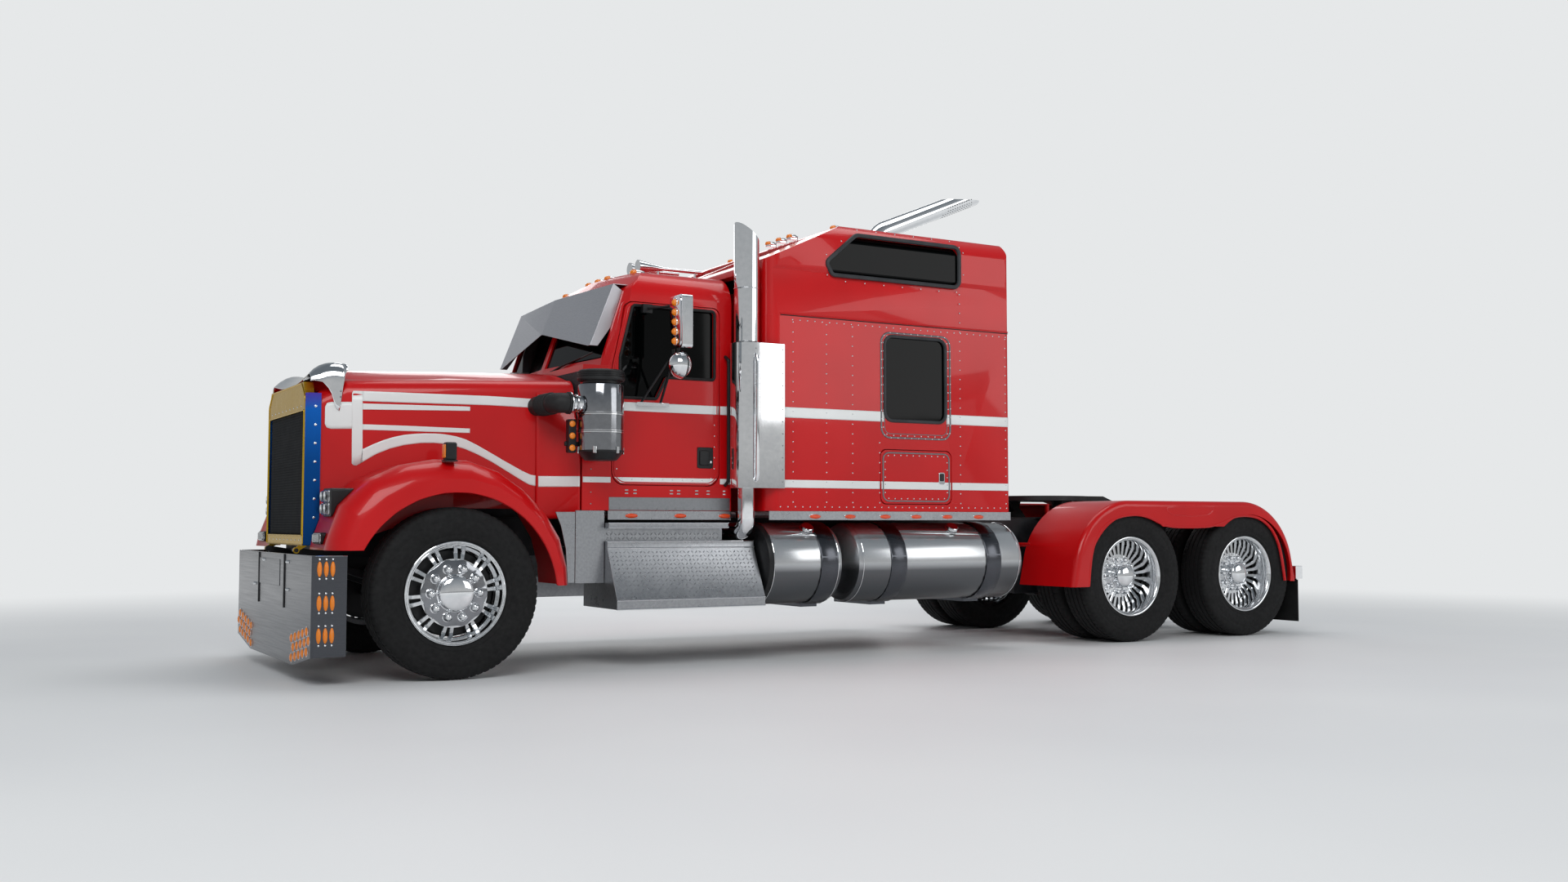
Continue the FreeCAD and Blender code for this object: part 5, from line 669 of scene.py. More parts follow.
# Wheels and tyres: distances run outwards from the middle of the outer tyre.
wheel = {
    "tyreRadius": 0.535, "tyreHalf": 0.145, "bead": 0.3008, "flangeRadius": 0.3235,
    "flange": 0.1175, "steps": 288, "lugs": 72, "lugDepth": 0.005, "grooveDepth": 0.014,
    "frontFace": 0.079, "frontRimFace": 0.036, "plateRadius": 0.207, "scallop": 0.005, "pairs": 10,
    "pairTurn": -8.0, "spokeTurn": 5.415, "spokeHalf": 0.0138, "frontHub": 0.112,
    "nutCircle": 0.155, "nutRadius": 0.0265, "nutLength": 0.054, "rearFace": -0.032, "ribs": 30,
    "rearHub": 0.094, "rearReach": 0.084, "rearRise": 0.042,
}


def tyrePatch(centre, axis):
    # Tread and sidewalls turned about the axle; the shoulders are notched by a square wave in angle.
    half, r = wheel["tyreHalf"], wheel["tyreRadius"]
    groove = r - wheel["grooveDepth"]
    side = [(wheel["bead"], half - 0.038), (0.3245, half - 0.0365), (0.333, half - 0.026),
            (0.345, half - 0.0185), (0.352, half - 0.017), (0.358, half - 0.0185),
            (0.38, half - 0.008), (0.405, half - 0.002), (0.424, half), (0.446, half - 0.0005),
            (0.452, half - 0.0025), (0.456, half - 0.0025), (0.460, half - 0.0012),
            (0.480, half - 0.004), (0.494, half - 0.007), (0.506, half - 0.009),
            (0.519, half - 0.016), (0.528, half - 0.026), (0.532, half - 0.038)]
    tread = [(0.5335, 0.077), (groove, 0.075), (groove, 0.067), (0.5345, 0.065), (r, 0.031),
             (groove, 0.029), (groove, 0.021), (r, 0.019)]
    profile = side + tread
    profile += [(radius, -distance) for radius, distance in reversed(profile)]
    along, across, up = basis(axis)
    radius, distance = np.array(profile).T
    t = np.linspace(0, 2 * np.pi, wheel["steps"], endpoint=False)
    notch = (np.arange(wheel["steps"]) * wheel["lugs"] * 4 // wheel["steps"]) % 4 == 0
    shoulder = np.clip((radius - 0.5) / 0.02, 0, 1) * (np.abs(distance) > 0.07)
    size = radius[:, None] - shoulder[:, None] * notch[None] * wheel["lugDepth"]
    ring = np.cos(t)[:, None] * across + np.sin(t)[:, None] * up
    points = (np.array(centre, float) + distance[:, None, None] * along
              + size[..., None] * ring[None])
    return gridPatch(points, closeRows=True, closeColumns=True)


def rimPatch(centre, axis, dish):
    # Barrel with a rolled double lip outside; the dish is the radius of its inner skin.
    f, r = wheel["flange"], wheel["flangeRadius"]
    profile = [(0.300, f - 0.010), (0.318, f - 0.009), (r, f - 0.005), (r, f - 0.001),
               (0.320, f + 0.001), (0.315, f), (0.312, f - 0.004), (0.308, f - 0.004),
               (0.304, f - 0.001), (0.299, f - 0.002), (0.295, f - 0.010), (dish, f - 0.045),
               (dish - 0.003, 0.0), (dish - 0.003, -f + 0.008), (r, -f), (r, -f + 0.008),
               (0.300, -f + 0.010), (0.300, f - 0.010)]
    return turned(profile, centre, axis, 120)


def nutPatch(centre, axis, circle, face, radius, length, count=10):
    # Bullet nut covers on a circle.
    middle = np.array(centre, float) + circle * basis(axis)[2]
    flare = radius * 1.18
    profile = [(0, face), (flare, face), (flare, face + 0.004), (radius, face + 0.007)]
    profile += domeProfile(radius, face + length * 0.45, length * 0.55, 6)
    return spun(turned(profile, middle, axis, 16), centre, axis, count, math.pi / count)


def hubProfile(radius, foot, step, shoulder, rise):
    # Hub cover: a lip at its foot, a straight wall and a domed end.
    return [(radius + 0.006, foot), (radius + 0.006, foot + step), (radius, foot + step + 0.004),
            (radius, shoulder)] + domeProfile(radius, shoulder, rise)


def frontWheel(side):
    sign = sides[side]
    axis = (0, sign, 0)
    centre = spot(truck["frontAxle"], sign * truck["tyreMiddle"], truck["axleHeight"])
    face, rimFace, half = wheel["frontFace"], wheel["frontRimFace"], wheel["spokeHalf"]
    body = "front_road_wheel_" + side
    label = side.title()
    spoke = bar([(0.190, half * 0.9, face, face - 0.02),
                 (0.225, half * 0.95, face - 0.010, face - 0.026),
                 (0.262, half * 1.03, (face + rimFace) / 2, rimFace - 0.012),
                 (0.298, half * 1.1, rimFace, rimFace - 0.016)], centre, axis)
    ring = [(0.296, rimFace + 0.002), (0.280, rimFace + 0.004), (0.280, rimFace - 0.016),
            (0.296, rimFace - 0.02), (0.296, rimFace + 0.002)]
    disc = [(0.0, face - 0.004), (0.214, face - 0.006), (0.214, face - 0.022), (0.0, face - 0.03)]
    turns = [math.radians(wheel["pairTurn"] * -sign + lean * wheel["spokeTurn"]) for lean in (-1, 1)]
    makePiece("frontWheel" + label, [rimPatch(centre, axis, 0.294)]
              + [spun(spoke, centre, axis, wheel["pairs"], turn) for turn in turns]
              + [turned(ring, centre, axis, 120), turned(disc, centre, axis, 96)],
              "wheelAlloy", body, replaces=("front_wheel_" + side,))

    # Scalloped plate: its radius swells ten times round, radius = mean + swell * cos(10 t).
    t = np.linspace(0, 2 * np.pi, 160, endpoint=False)
    along, across, up = basis(axis)
    radius = wheel["plateRadius"] + wheel["scallop"] * signedPower(np.cos(10 * t), 0.5)
    outline = radius[:, None] * (np.cos(t)[:, None] * across + np.sin(t)[:, None] * up)
    rings = np.stack([outline * share + np.array(centre) + along * distance
                      for share, distance in ((1.0, face - 0.003), (1.0, face + 0.002),
                                              (0.985, face + 0.004), (0.52, face + 0.004))])
    # The plate's darker chrome is a painted reflection of the dark ground.
    makePiece("frontWheelPlate" + label, [gridPatch(rings, closeColumns=True)], "darkChrome", body,
              closed=False)

    hub = hubProfile(wheel["frontHub"], face + 0.003, 0.007, face + 0.048, 0.033)
    makePiece("frontHub" + label,
              [turned(hub, centre, axis, 96), nutPatch(centre, axis, 0.122, face, 0.0075, 0.018),
               nutPatch(centre, axis, wheel["nutCircle"], face + 0.004, wheel["nutRadius"],
                        wheel["nutLength"])], "chrome", body)
    drum = [(0.0, -0.09), (0.268, -0.09), (0.274, -0.08), (0.274, -0.01), (0.265, 0.0), (0.0, 0.004)]
    makePiece("frontDrum" + label, [turned(drum, centre, axis, 64)], "iron", body)
    makePiece("frontTyre" + label, [tyrePatch(centre, axis)], "tyre", body,
              replaces=("front_tyre_" + side,), crease=28.0)


def rearWheels(pair, side):
    sign = sides[side]
    axis = (0, sign, 0)
    centre = spot(truck["rearAxles"][pair - 1], sign * truck["tyreMiddle"], truck["axleHeight"])
    inner = (centre[0], centre[1] - sign * truck["twinSpacing"], centre[2])
    face = wheel["rearFace"]
    name = "%d%s" % (pair, side.title())
    node = "%d_%s" % (pair, side)
    body = "rear_road_wheels_" + node
    barrel = [(0.300, 0.108), (0.318, 0.1085), (0.3235, 0.112), (0.3235, 0.1165), (0.320, 0.118),
              (0.314, 0.1175), (0.309, 0.114), (0.300, 0.106), (0.293, 0.088), (0.290, 0.040),
              (0.284, -0.004), (0.276, face - 0.002), (0.276, face - 0.02), (0.29, -0.1),
              (0.3235, -0.1175), (0.3235, -0.109), (0.300, -0.106), (0.300, 0.108)]
    innerRim = [(0.300, 0.106), (0.3235, 0.109), (0.3235, 0.1175), (0.292, 0.112), (0.290, -0.1),
                (0.3235, -0.1175), (0.3235, -0.109), (0.300, -0.106), (0.300, 0.106)]
    rib = bar([(0.150, 0.0105, face + 0.008, face - 0.006), (0.20, 0.0115, face + 0.004, face - 0.014),
               (0.25, 0.0130, face + 0.002, face - 0.016), (0.280, 0.0150, face, face - 0.016)],
              centre, axis)
    back = [(0.09, face + 0.002), (0.176, face + 0.002), (0.180, face - 0.002),
            (0.180, face - 0.014), (0.09, face - 0.014), (0.09, face + 0.002)]
    makePiece("rearWheels" + name,
              [turned(barrel, centre, axis, 120), spun(rib, centre, axis, wheel["ribs"]),
               turned(back, centre, axis, 96), turned(innerRim, inner, axis, 64)],
              "wheelAlloy", body, replaces=("rear_wheels_" + node,))
    rise = wheel["rearRise"]
    hub = hubProfile(wheel["rearHub"], face, 0.008, wheel["rearReach"] - rise, rise)
    makePiece("rearHub" + name,
              [turned(hub, centre, axis, 72),
               nutPatch(centre, axis, 0.137, face + 0.004, 0.019, 0.050),
               nutPatch(centre, axis, 0.108, face + 0.002, 0.007, 0.016)], "chrome", body)
    drum = [(0.0, face - 0.03), (0.262, face - 0.03), (0.262, -0.10), (0.205, -0.13), (0.205, -0.44),
            (0.09, -0.45), (0.09, -0.10)]
    makePiece("rearDrum" + name, [turned(drum, centre, axis, 64)], "iron", body, closed=False)
    makePiece("rearTyres" + name, [tyrePatch(centre, axis), tyrePatch(inner, axis)], "tyre", body,
              replaces=("rear_tyres_" + node,), crease=28.0)


for side in sides:
    frontWheel(side)
    for pair in (1, 2):
        rearWheels(pair, side)
print("wheels and tyres done")

# Rear of the hood: flared quarter panels that meet the wider cab, wheel arch lips and the scoop.
flare = {
    "front": 1.530, "rear": 1.783, "low": 1.000, "high": 1.842, "frontHalf": 0.8432,
    "rearHalf": 0.872, "spread": 0.122, "fade": 0.46, "proud": 0.0025, "tuck": 0.006,
    "rows": 30, "columns": 26, "wall": 0.003,
}
lip = {"first": 3.5, "last": 155.0, "radius": 0.636, "growth": 0.0118, "half": 1.2205, "bead": 0.0125}
scoop = {
    "stations": (0.084, 0.110, 0.145, 0.185, 0.220, 0.240, 0.265, 0.288, 0.305, 0.320, 0.334),
    "crowns": (1.893, 1.932, 1.968, 1.995, 2.008, 2.012, 2.014, 2.013, 2.011, 2.006, 1.999),
    "edges": (1.882, 1.880, 1.875, 1.869, 1.830, 1.793, 1.705, 1.684, 1.820, 1.925, 1.960),
    "front": 0.112, "halfStations": (0.084, 0.148, 0.340), "halves": (0.586, 0.598, 0.640),
    "shoulder": 0.105, "dip": 0.012, "arch": 0.045, "wall": 0.004,
}


def hoodFlare(side):
    # y = hood half width + spread * smooth step along the length * fade near the shoulder.
    f = flare
    u = np.linspace(0, 1, f["columns"])[None]
    v = np.linspace(0, 1, f["rows"])[:, None]
    fade = np.clip((1 - v) / f["fade"], 0, 1)
    fade = fade * fade * (3 - 2 * fade)
    half = (f["frontHalf"] + (f["rearHalf"] - f["frontHalf"]) * u + f["proud"]
            - f["tuck"] * (1 - u) ** 40)
    points = np.empty((f["rows"], f["columns"], 3))
    points[..., 0] = at(f["front"] + (f["rear"] - f["front"]) * u)
    points[..., 1] = sides[side] * (half + f["spread"] * u * u * fade)
    points[..., 2] = f["low"] + (f["high"] - f["low"]) * v
    name = "hoodFlare" + side.title()
    made[name] = makePiece(name, [gridPatch(points)], "red", "hood", closed=False, crease=80.0)


def fenderLip():
    # Rolled bead on the wheel arch: radius = least radius + growth * (angle from the top) squared.
    t = np.radians(np.linspace(lip["first"], lip["last"], 110))
    radius = lip["radius"] + lip["growth"] * (t - math.pi / 2) ** 2
    x = at(truck["frontAxle"]) + radius * np.cos(t)
    z = truck["axleHeight"] + radius * np.sin(t)
    path = np.stack([x, np.full(len(t), -lip["half"]), z], 1)
    makePiece("fenderLips", bothSides(tube(path, lip["bead"], 12)), "red", "hood")


def hoodScoop():
    # Each station has its own crown height and lower edge; across, the section runs down one flank,
    # round the shoulder, over the crown and down the other flank.
    station = np.linspace(scoop["front"], scoop["stations"][-1], 34)
    crown = np.interp(station, scoop["stations"], scoop["crowns"])[:, None]
    lowest = np.interp(station, scoop["stations"], scoop["edges"])[:, None]
    half = np.interp(station, scoop["halfStations"], scoop["halves"])[:, None]
    r = np.minimum(scoop["shoulder"], (crown - lowest) * 0.8 + 0.006)
    a = np.linspace(0, np.pi / 2, 9)
    flank = np.linspace(0, 1, 8)[:-1]
    across = np.linspace(1, 0, 10)[1:]
    shoulder = crown - r - scoop["dip"]
    low = np.minimum(lowest, shoulder)
    y = np.concatenate([half + 0 * flank, half - r * (1 - np.cos(a)), (half - r) * across], 1)
    z = np.concatenate([low + (shoulder - low) * flank, shoulder + r * np.sin(a),
                        crown - scoop["dip"] - scoop["arch"] * (1 - across ** 2)], 1)
    y = np.concatenate([y, -y[:, -2::-1]], 1)
    z = np.concatenate([z, z[:, -2::-1]], 1)
    x = np.repeat(at(station)[:, None], y.shape[1], 1)
    piece = makePiece("hoodScoop", [gridPatch(np.stack([x, y, z], -1))], "chrome", "hood",
                      replaces=("hood_scoop",), closed=False, crease=50.0)
    wall(piece, scoop["wall"], 0.0)


for side in sides:
    hoodFlare(side)
fenderLip()
hoodScoop()
print("hood flares and scoop done")

# Painted stripes: edge lines in stations and heights, laid on the panels.
stripe = {
    "film": 0.0014, "outside": 1.5,
    "block": ([(0.204, 1.60), (0.215, 1.578), (0.24, 1.570), (0.367, 1.573)],
              [(0.204, 1.71), (0.215, 1.735), (0.24, 1.742), (0.365, 1.745)]),
    "bar": ([(0.368, 1.352), (0.380, 1.339), (0.396, 1.338), (0.433, 1.360)],
            [(0.363, 1.800), (0.370, 1.816), (0.385, 1.817), (0.427, 1.817)]),
    "upperProng": ([(0.426, 1.752), (0.684, 1.750), (1.228, 1.749), (1.552, 1.740)],
                   [(0.426, 1.817), (0.683, 1.815), (1.227, 1.810), (1.552, 1.799)]),
    "middleProng": ([(0.427, 1.698), (1.10, 1.708)], [(0.427, 1.737), (1.10, 1.736)]),
    "lowerProng": ([(0.429, 1.568), (1.10, 1.562)], [(0.429, 1.603), (0.686, 1.600), (1.10, 1.591)]),
    "arc": ([(0.420, 1.352), (0.513, 1.412), (0.600, 1.450), (0.688, 1.475), (0.790, 1.490),
             (0.879, 1.492), (0.980, 1.482), (1.073, 1.455), (1.160, 1.417), (1.250, 1.370),
             (1.340, 1.315), (1.447, 1.250), (1.490, 1.226), (1.552, 1.213)],
            [(0.431, 1.443), (0.500, 1.478), (0.561, 1.505), (0.620, 1.525), (0.687, 1.541),
             (0.750, 1.549), (0.814, 1.553), (0.880, 1.554), (0.942, 1.550), (1.010, 1.538),
             (1.073, 1.520), (1.150, 1.482), (1.232, 1.436), (1.338, 1.375), (1.446, 1.316),
             (1.500, 1.292), (1.552, 1.284)]),
    "flare": (1.545, 1.781), "upperFlare": ((1.738, 1.733), (1.797, 1.793)),
    "lowerFlare": ((1.212, 1.213), (1.284, 1.283)), "door": (2.012, 2.826),
    "upper": (1.733, 1.793, 0.004), "lower": (1.243, 1.281, 0.062),
    "cab": ((1.800, 2.002), (2.836, 2.920)), "sleeper": (1.716, 1.790),
    "sleeperParts": ((3.12, 4.085), (4.655, 5.262)), "sleeperLow": (1.220, 1.276),
    "lockerParts": ((3.12, 4.045), (4.059, 4.693), (4.707, 5.262)),
}


def straightStripe(name, span, heights, target, body, side, along=60):
    # Band between two stations and two heights, named after its first station.
    lower, upper = ([(x, z) for x in span] for z in heights)
    decal("%s%d" % (name, span[0] * 100), lower, upper, target, body, side, along)


for side in sides:
    for name in ("block", "bar", "upperProng", "middleProng", "lowerProng", "arc"):
        decal(name + "Stripe", *stripe[name], "hood_shell", "hood", side, 120 if name == "arc" else 60)
    for name in ("upper", "lower"):
        low, high = (list(zip(stripe["flare"], edge)) for edge in stripe[name + "Flare"])
        decal(name + "FlareStripe", low, high, "hoodFlare" + side.title(), "hood", side, 30)
    door, locker = "door_" + side, "luggage_" + side
    for name in ("upper", "lower"):
        low, high, cut = stripe[name]
        front, rear = stripe["door"]
        decal(name + "DoorStripe", [(front + cut, low), (rear - cut, low)],
              [(front + cut / 4, high), (rear - cut / 4, high)], door, door, side)
        for span in stripe["cab"]:
            straightStripe(name + "CabStripe", span, (low, high), "cab_shell", "chassis", side, 12)
    for span in stripe["sleeperParts"]:
        straightStripe("sleeperStripe", span, stripe["sleeper"], "sleeper_body", "chassis", side)
    for span, target, body in zip(stripe["lockerParts"],
                                  ("sleeper_body", "luggage_door_" + side, "sleeper_body"),
                                  ("chassis", locker, "chassis")):
        straightStripe("sleeperLowStripe", span, stripe["sleeperLow"], target, body, side)
    wall(made["hoodFlare" + side.title()], flare["wall"], 0.0)
print("stripes laid")

# Nose: grille facing with its rivets and fine mesh, scoop rivets, hood lamps and bumper lamps.
nose = {
    "grilleFront": 0.088, "faceLow": 0.828, "faceHigh": 1.872, "cornerCut": 0.120,
    "mouthHalf": 0.540, "mouthLow": 0.892, "mouthHigh": 1.690, "stripRivets": 0.125,
    "meshPitch": 0.0215, "meshBar": 0.0042, "meshStation": 0.106, "meshLean": 0.62,
    "faceOutline": [(-0.566, 0.834, 0.01), (0.566, 0.834, 0.01), (0.566, 1.775, 0.04),
                    (0.46, 1.866, 0.05), (-0.46, 1.866, 0.05), (-0.566, 1.775, 0.04)],
    "stripPlan": [(0.0885, 0.5725), (0.116, 0.5925), (0.150, 0.5985), (0.180, 0.6035),
                  (0.180, 0.6000), (0.150, 0.5950), (0.116, 0.5885), (0.0885, 0.5690)],
    "bead": 0.0045, "blueFrom": 0.5715,
    "bumperHalf": 1.190, "wingStations": (0.056, 0.095, 0.133), "wingHeights": (0.697, 0.495, 0.303),
    "bumperSetback": 0.013, "lampTall": 0.046, "lampWide": 0.0145, "screwReach": 0.058,
    "cornerColumns": 5, "cornerRows": 3, "cornerPitch": (0.104, 0.060), "cornerStart": (0.660, 0.142),
    "cornerRise": 0.16, "cornerLamp": 0.0285,
    "fittings": ((0.55, 0.555), (-0.51, 0.726), (-0.52, 0.552), (0.24, 0.726)),
    "holder": (-0.27, 0.46, 0.565, 0.738, 0.012),
}
lamps = {
    "marker": ((0.806, 0.876), (1.135, 1.205), (1.362, 1.474)), "markerFront": 0.799,
    "row": 0.800, "column": 0.094, "lowest": 1.058, "rise": 0.078, "half": (0.041, 0.034),
    "front": 0.150, "back": 0.163, "lowerY": 0.868, "lowerHalf": 0.095,
    "lowerHeights": (0.850, 0.904), "lowerFront": 0.098, "lowerBack": 0.107,
    "bulb": [(0.0, 0.0), (0.012, 0.002), (0.027, 0.016), (0.029, 0.018)],
}


def strands(low, high, half, pitch, lean, station, thick):
    # Parallel wires of a diamond mesh: each is cut where y = foot + lean * (z - low) leaves the mouth.
    tall = high - low
    feet = np.arange(-half - tall, half + tall, pitch)
    start = np.clip(-(np.sign(lean) * half + feet) / lean, 0, tall)
    end = np.clip((np.sign(lean) * half - feet) / lean, 0, tall)
    keep = end - start > pitch
    z = np.stack([start, end], 1)[keep]
    y = feet[keep, None] + lean * z
    unit = np.array([[-1, 0], [0, -1], [1, 0], [0, 1.0]]) * thick
    points = np.empty((len(z), 2, 4, 3))
    points[..., 0] = at(station) + unit[:, 0]
    points[..., 1] = y[..., None] + unit[:, 1]
    points[..., 2] = low + z[..., None]
    quads = gridFaces(2, 4, closeColumns=True)
    faces = (quads[None] + (np.arange(len(z)) * 8)[:, None, None]).reshape(-1, 4).tolist()
    return points.reshape(-1, 3), faces


def grilleDetails():
    n = nose
    front = at(n["grilleFront"])
    half, low, high = n["mouthHalf"], n["mouthLow"], n["mouthHigh"]
    wires = [strands(low + 0.002, high - 0.002, half - 0.002, n["meshPitch"], lean, n["meshStation"],
                     n["meshBar"]) for lean in (n["meshLean"], -n["meshLean"])]
    makePiece("grilleWire", wires, "black", "hood", ("grille_mesh",), closed=False)

    # Side strips with domed rivets, coloured by heat on the face that looks outwards.
    strips, rivets = [], []
    for sign in sides.values():
        plan = np.array([(at(x), sign * y) for x, y in n["stripPlan"]])
        strips.append(plate(plan, "z", n["faceLow"] + 0.002, n["faceHigh"] - n["cornerCut"] * 0.62,
                            0.0008))
        x, y = n["stripPlan"][2]
        centres = row(spot(x - 0.003, sign * y, n["faceLow"] + 0.060),
                      spot(x - 0.003, sign * y, n["faceHigh"] - 0.160), n["stripRivets"])
        rivets.append(studs(centres, (0, sign, 0), 0.0090, 0.0045, 12))
        inner = sign * (half - 0.0015)
        lining = box2d(front + 0.001, front + 0.058, low + 0.001, high - 0.001, 0.002)
        strips.append(plate(lining, "y", inner + sign * 0.0012, inner, 0.0005))
    makePiece("grilleSideStrips", strips, "blue", "hood")
    for z in (low - 0.030, high + 0.030):
        centres = row((front - 0.0005, -0.46, z), (front - 0.0005, 0.46, z), 0.115)
        rivets.append(studs(centres, (-1, 0, 0), 0.0060, 0.003, 10))
    makePiece("grilleRivets", rivets, "chrome", "hood")

    # Rolled edges of the gold panels, round the mesh and round the facing.
    mouth = box2d(-half, half, low, high, 0.012)
    makePiece("grilleBeads", [frameRing(line, "x", front - 0.001, n["bead"])
                              for line in (mouth, rounded(n["faceOutline"]))], "gold", "hood")
    tips = [studs([spot(0.292, sign * 0.6385, z) for z in (1.775, 1.812)], (0, sign, 0), 0.006,
                  0.0025, 10) for sign in sides.values()]
    makePiece("scoopRivets", tips, "satin", "hood")


def hoodLamps():
    # Marker lamp on each fender, two-by-two headlamps and the lower lamp: black cases, clear lenses.
    cases, ambers, clears, rims = [], [], [], []

    def addLens(y, z, halfWide, halfTall, radius, back, front, bead):
        outline = box2d(y - halfWide, y + halfWide, z - halfTall, z + halfTall, radius)
        clears.append(plate(outline, "x", at(back), at(front), 0.004))
        rims.append(frameRing(outline, "x", at(back), bead))

    (x0, x1), across, (z0, z1) = lamps["marker"]
    for sign in sides.values():
        y0, y1 = sorted(sign * y for y in across)
        cases.append(block(spot(x0, y0, z0), spot(x1, y1, z1), 0.008))
        ambers.append(block(spot(lamps["markerFront"], y0 + 0.006, z0 + 0.014),
                            spot(x0 + 0.001, y1 - 0.006, z1 - 0.014), 0.004))
        cases.append(plate(box2d(at(x0 - 0.006), at(x1 + 0.004), z0 - 0.008, z0 + 0.002, 0.004), "y",
                           y0 - 0.004, y1 + 0.004))
        for column in (0, 1):
            for story in (0, 1):
                y = sign * (lamps["row"] + lamps["column"] * column)
                z = lamps["lowest"] + story * lamps["rise"]
                addLens(y, z, *lamps["half"], 0.010, lamps["back"], lamps["front"], 0.0035)
                rims.append(turned(lamps["bulb"], spot(lamps["back"] - 0.0025, y, z), (-1, 0, 0), 24))
        low, high = lamps["lowerHeights"]
        addLens(sign * lamps["lowerY"], (low + high) / 2, lamps["lowerHalf"], (high - low) / 2, 0.012,
                lamps["lowerBack"], lamps["lowerFront"], 0.003)
    makePiece("hoodLampCases", cases, "black", "hood")
    makePiece("fenderMarkers", ambers, "amber", "hood")
    makePiece("headlampLenses", clears, "clearLens", "hood")
    makePiece("headlampBezels", rims, "chrome", "hood", closed=False)


def bumperLamps():
    n = nose
    face = at(n["bumperSetback"])
    ahead = (-1, 0, 0)
    ambers, screws, beads = [], [], []
    for sign in sides.values():
        y = sign * n["bumperHalf"]
        for z in n["wingHeights"]:
            centres = [spot(x, y, z) for x in n["wingStations"]]
            ambers.append(ovals(centres, (0, sign, 0), n["lampTall"], n["lampWide"], 0.012))
            ends = [spot(x, y, z + shift) for x in n["wingStations"]
                    for shift in (-n["screwReach"], n["screwReach"])]
            screws.append(studs(ends, (0, sign, 0), 0.0065, 0.004))
        # Staggered rows that follow the cut lower corner.
        wide, tall = n["cornerPitch"]
        for story in range(n["cornerRows"]):
            across = n["cornerStart"][0] + wide * (np.arange(n["cornerColumns"]) + 0.5 * (story % 2))
            height = n["cornerStart"][1] + tall * story + n["cornerRise"] * (across - 0.69)
            centres = np.stack([np.full(len(across), face), sign * across, height], 1)
            ambers.append(studs(centres, ahead, n["cornerLamp"], 0.0125, 16))
            beads += [torus(centre, (1, 0, 0), n["cornerLamp"] + 0.0015, 0.0022, 20, 6)
                      for centre in centres]
    makePiece("bumperLamps", ambers, "amber")
    fittings = [plate(box2d(y - 0.036, y + 0.036, z - 0.006, z + 0.006, 0.004), "x", face + 0.0005,
                      face - 0.004) for y, z in n["fittings"]]
    fittings += [studs([(face, y + d, z)], ahead, 0.011, 0.012, 12)
                 for y, z in n["fittings"] for d in (-0.02, 0.02)]
    rim = [(at(0.218), -1.187), (face + 0.02, -1.187), (face + 0.004, -1.17)]
    rim += [(x, -y) for x, y in reversed(rim)]
    top = tube([(x, y, 0.7735) for x, y in rim], 0.0032, 8)
    makePiece("bumperFittings", screws + beads + fittings + [top], "chrome")
    makePiece("plateHolder", [plate(box2d(*n["holder"]), "x", face + 0.0005, face - 0.0025)], "smoked")


def setBack(piece, amount, limit):
    # The end face of a piece moves inwards, so that what stands on it keeps inside the whole size.
    verts = np.empty(len(piece.data.vertices) * 3)
    piece.data.vertices.foreach_get("co", verts)
    verts = verts.reshape(-1, 3)
    beyond = verts[:, 0] < at(limit) if amount > 0 else verts[:, 0] > at(limit)
    verts[beyond, 0] += amount
    piece.data.vertices.foreach_set("co", verts.ravel())
    piece.data.update()


setBack(made["bumper"], nose["bumperSetback"], 0.03)
grilleDetails()
hoodLamps()
bumperLamps()
for sign in sides.values():
    repaint(made["grille_surround"], "blue", spot(0, sign * nose["blueFrom"], 0),
            spot(0.2, sign * 2, 3))
print("nose done")

# Cab: door bead and rivets, gaskets, handle, grab bar, sill panel, lamps, wipers and seals.
cab = {
    "skin": 1.0, "sleeperSkin": 1.22, "doorFront": 2.012, "doorRear": 2.826, "doorLow": 1.232,
    "doorHigh": 2.482, "doorRadius": 0.089, "rivet": 0.0056, "gasket": 0.011,
    "sill": (1.990, 2.915, 1.058, 1.146), "markerHeight": 1.020, "sleeperMarkerHeight": 1.017,
    "windowFront": 2.070, "windowRear": 2.786, "windowLow": 1.828, "windowHigh": 2.458,
    "dip": 2.336, "step": 1.980, "handle": (2.655, 2.780, 1.352, 1.500), "paddle": (2.672, 2.745),
    "barStation": 2.876, "barRadius": 0.012,
    "bar": ((0, 1.235), (0.045, 1.262), (0.052, 1.30), (0.052, 2.08), (0.045, 2.12), (0, 2.147)),
    "slotStations": (2.107, 2.170, 2.445, 2.500, 2.640, 2.730, 2.859), "slotHeights": (1.168, 1.190),
    "cabMarkers": (2.157, 2.526, 2.872), "sleeperMarkers": (3.487, 3.785, 4.093, 4.372, 4.659, 4.954),
    "marker": (0.0165, 0.050, 0.016), "base": 0.016,
}


def doorOutline(inset):
    low, high = cab["doorLow"] + inset, cab["doorHigh"] - inset
    front, rear = at(cab["doorFront"] + inset), at(cab["doorRear"] - inset)
    r = cab["doorRadius"] - inset / 2
    return rounded([(front, low, r), (rear, low, r), (rear, high, r * 0.6),
                    (front + 0.105, high, r * 0.6), (front, 2.036, r)], 8)


def doorWindow(gap):
    front, rear = at(cab["windowFront"] - gap), at(cab["windowRear"] + gap)
    low, high, step = cab["windowLow"] - gap, cab["windowHigh"] + gap, cab["step"] - gap
    dip = at(cab["dip"] + gap)
    return rounded([(front, low, 0.018), (dip, low, 0.026), (dip + 0.078, step, 0.020),
                    (rear, step, 0.024), (rear, high, 0.026), (front + 0.092, high, 0.026),
                    (front, 2.096, 0.030)], 6)


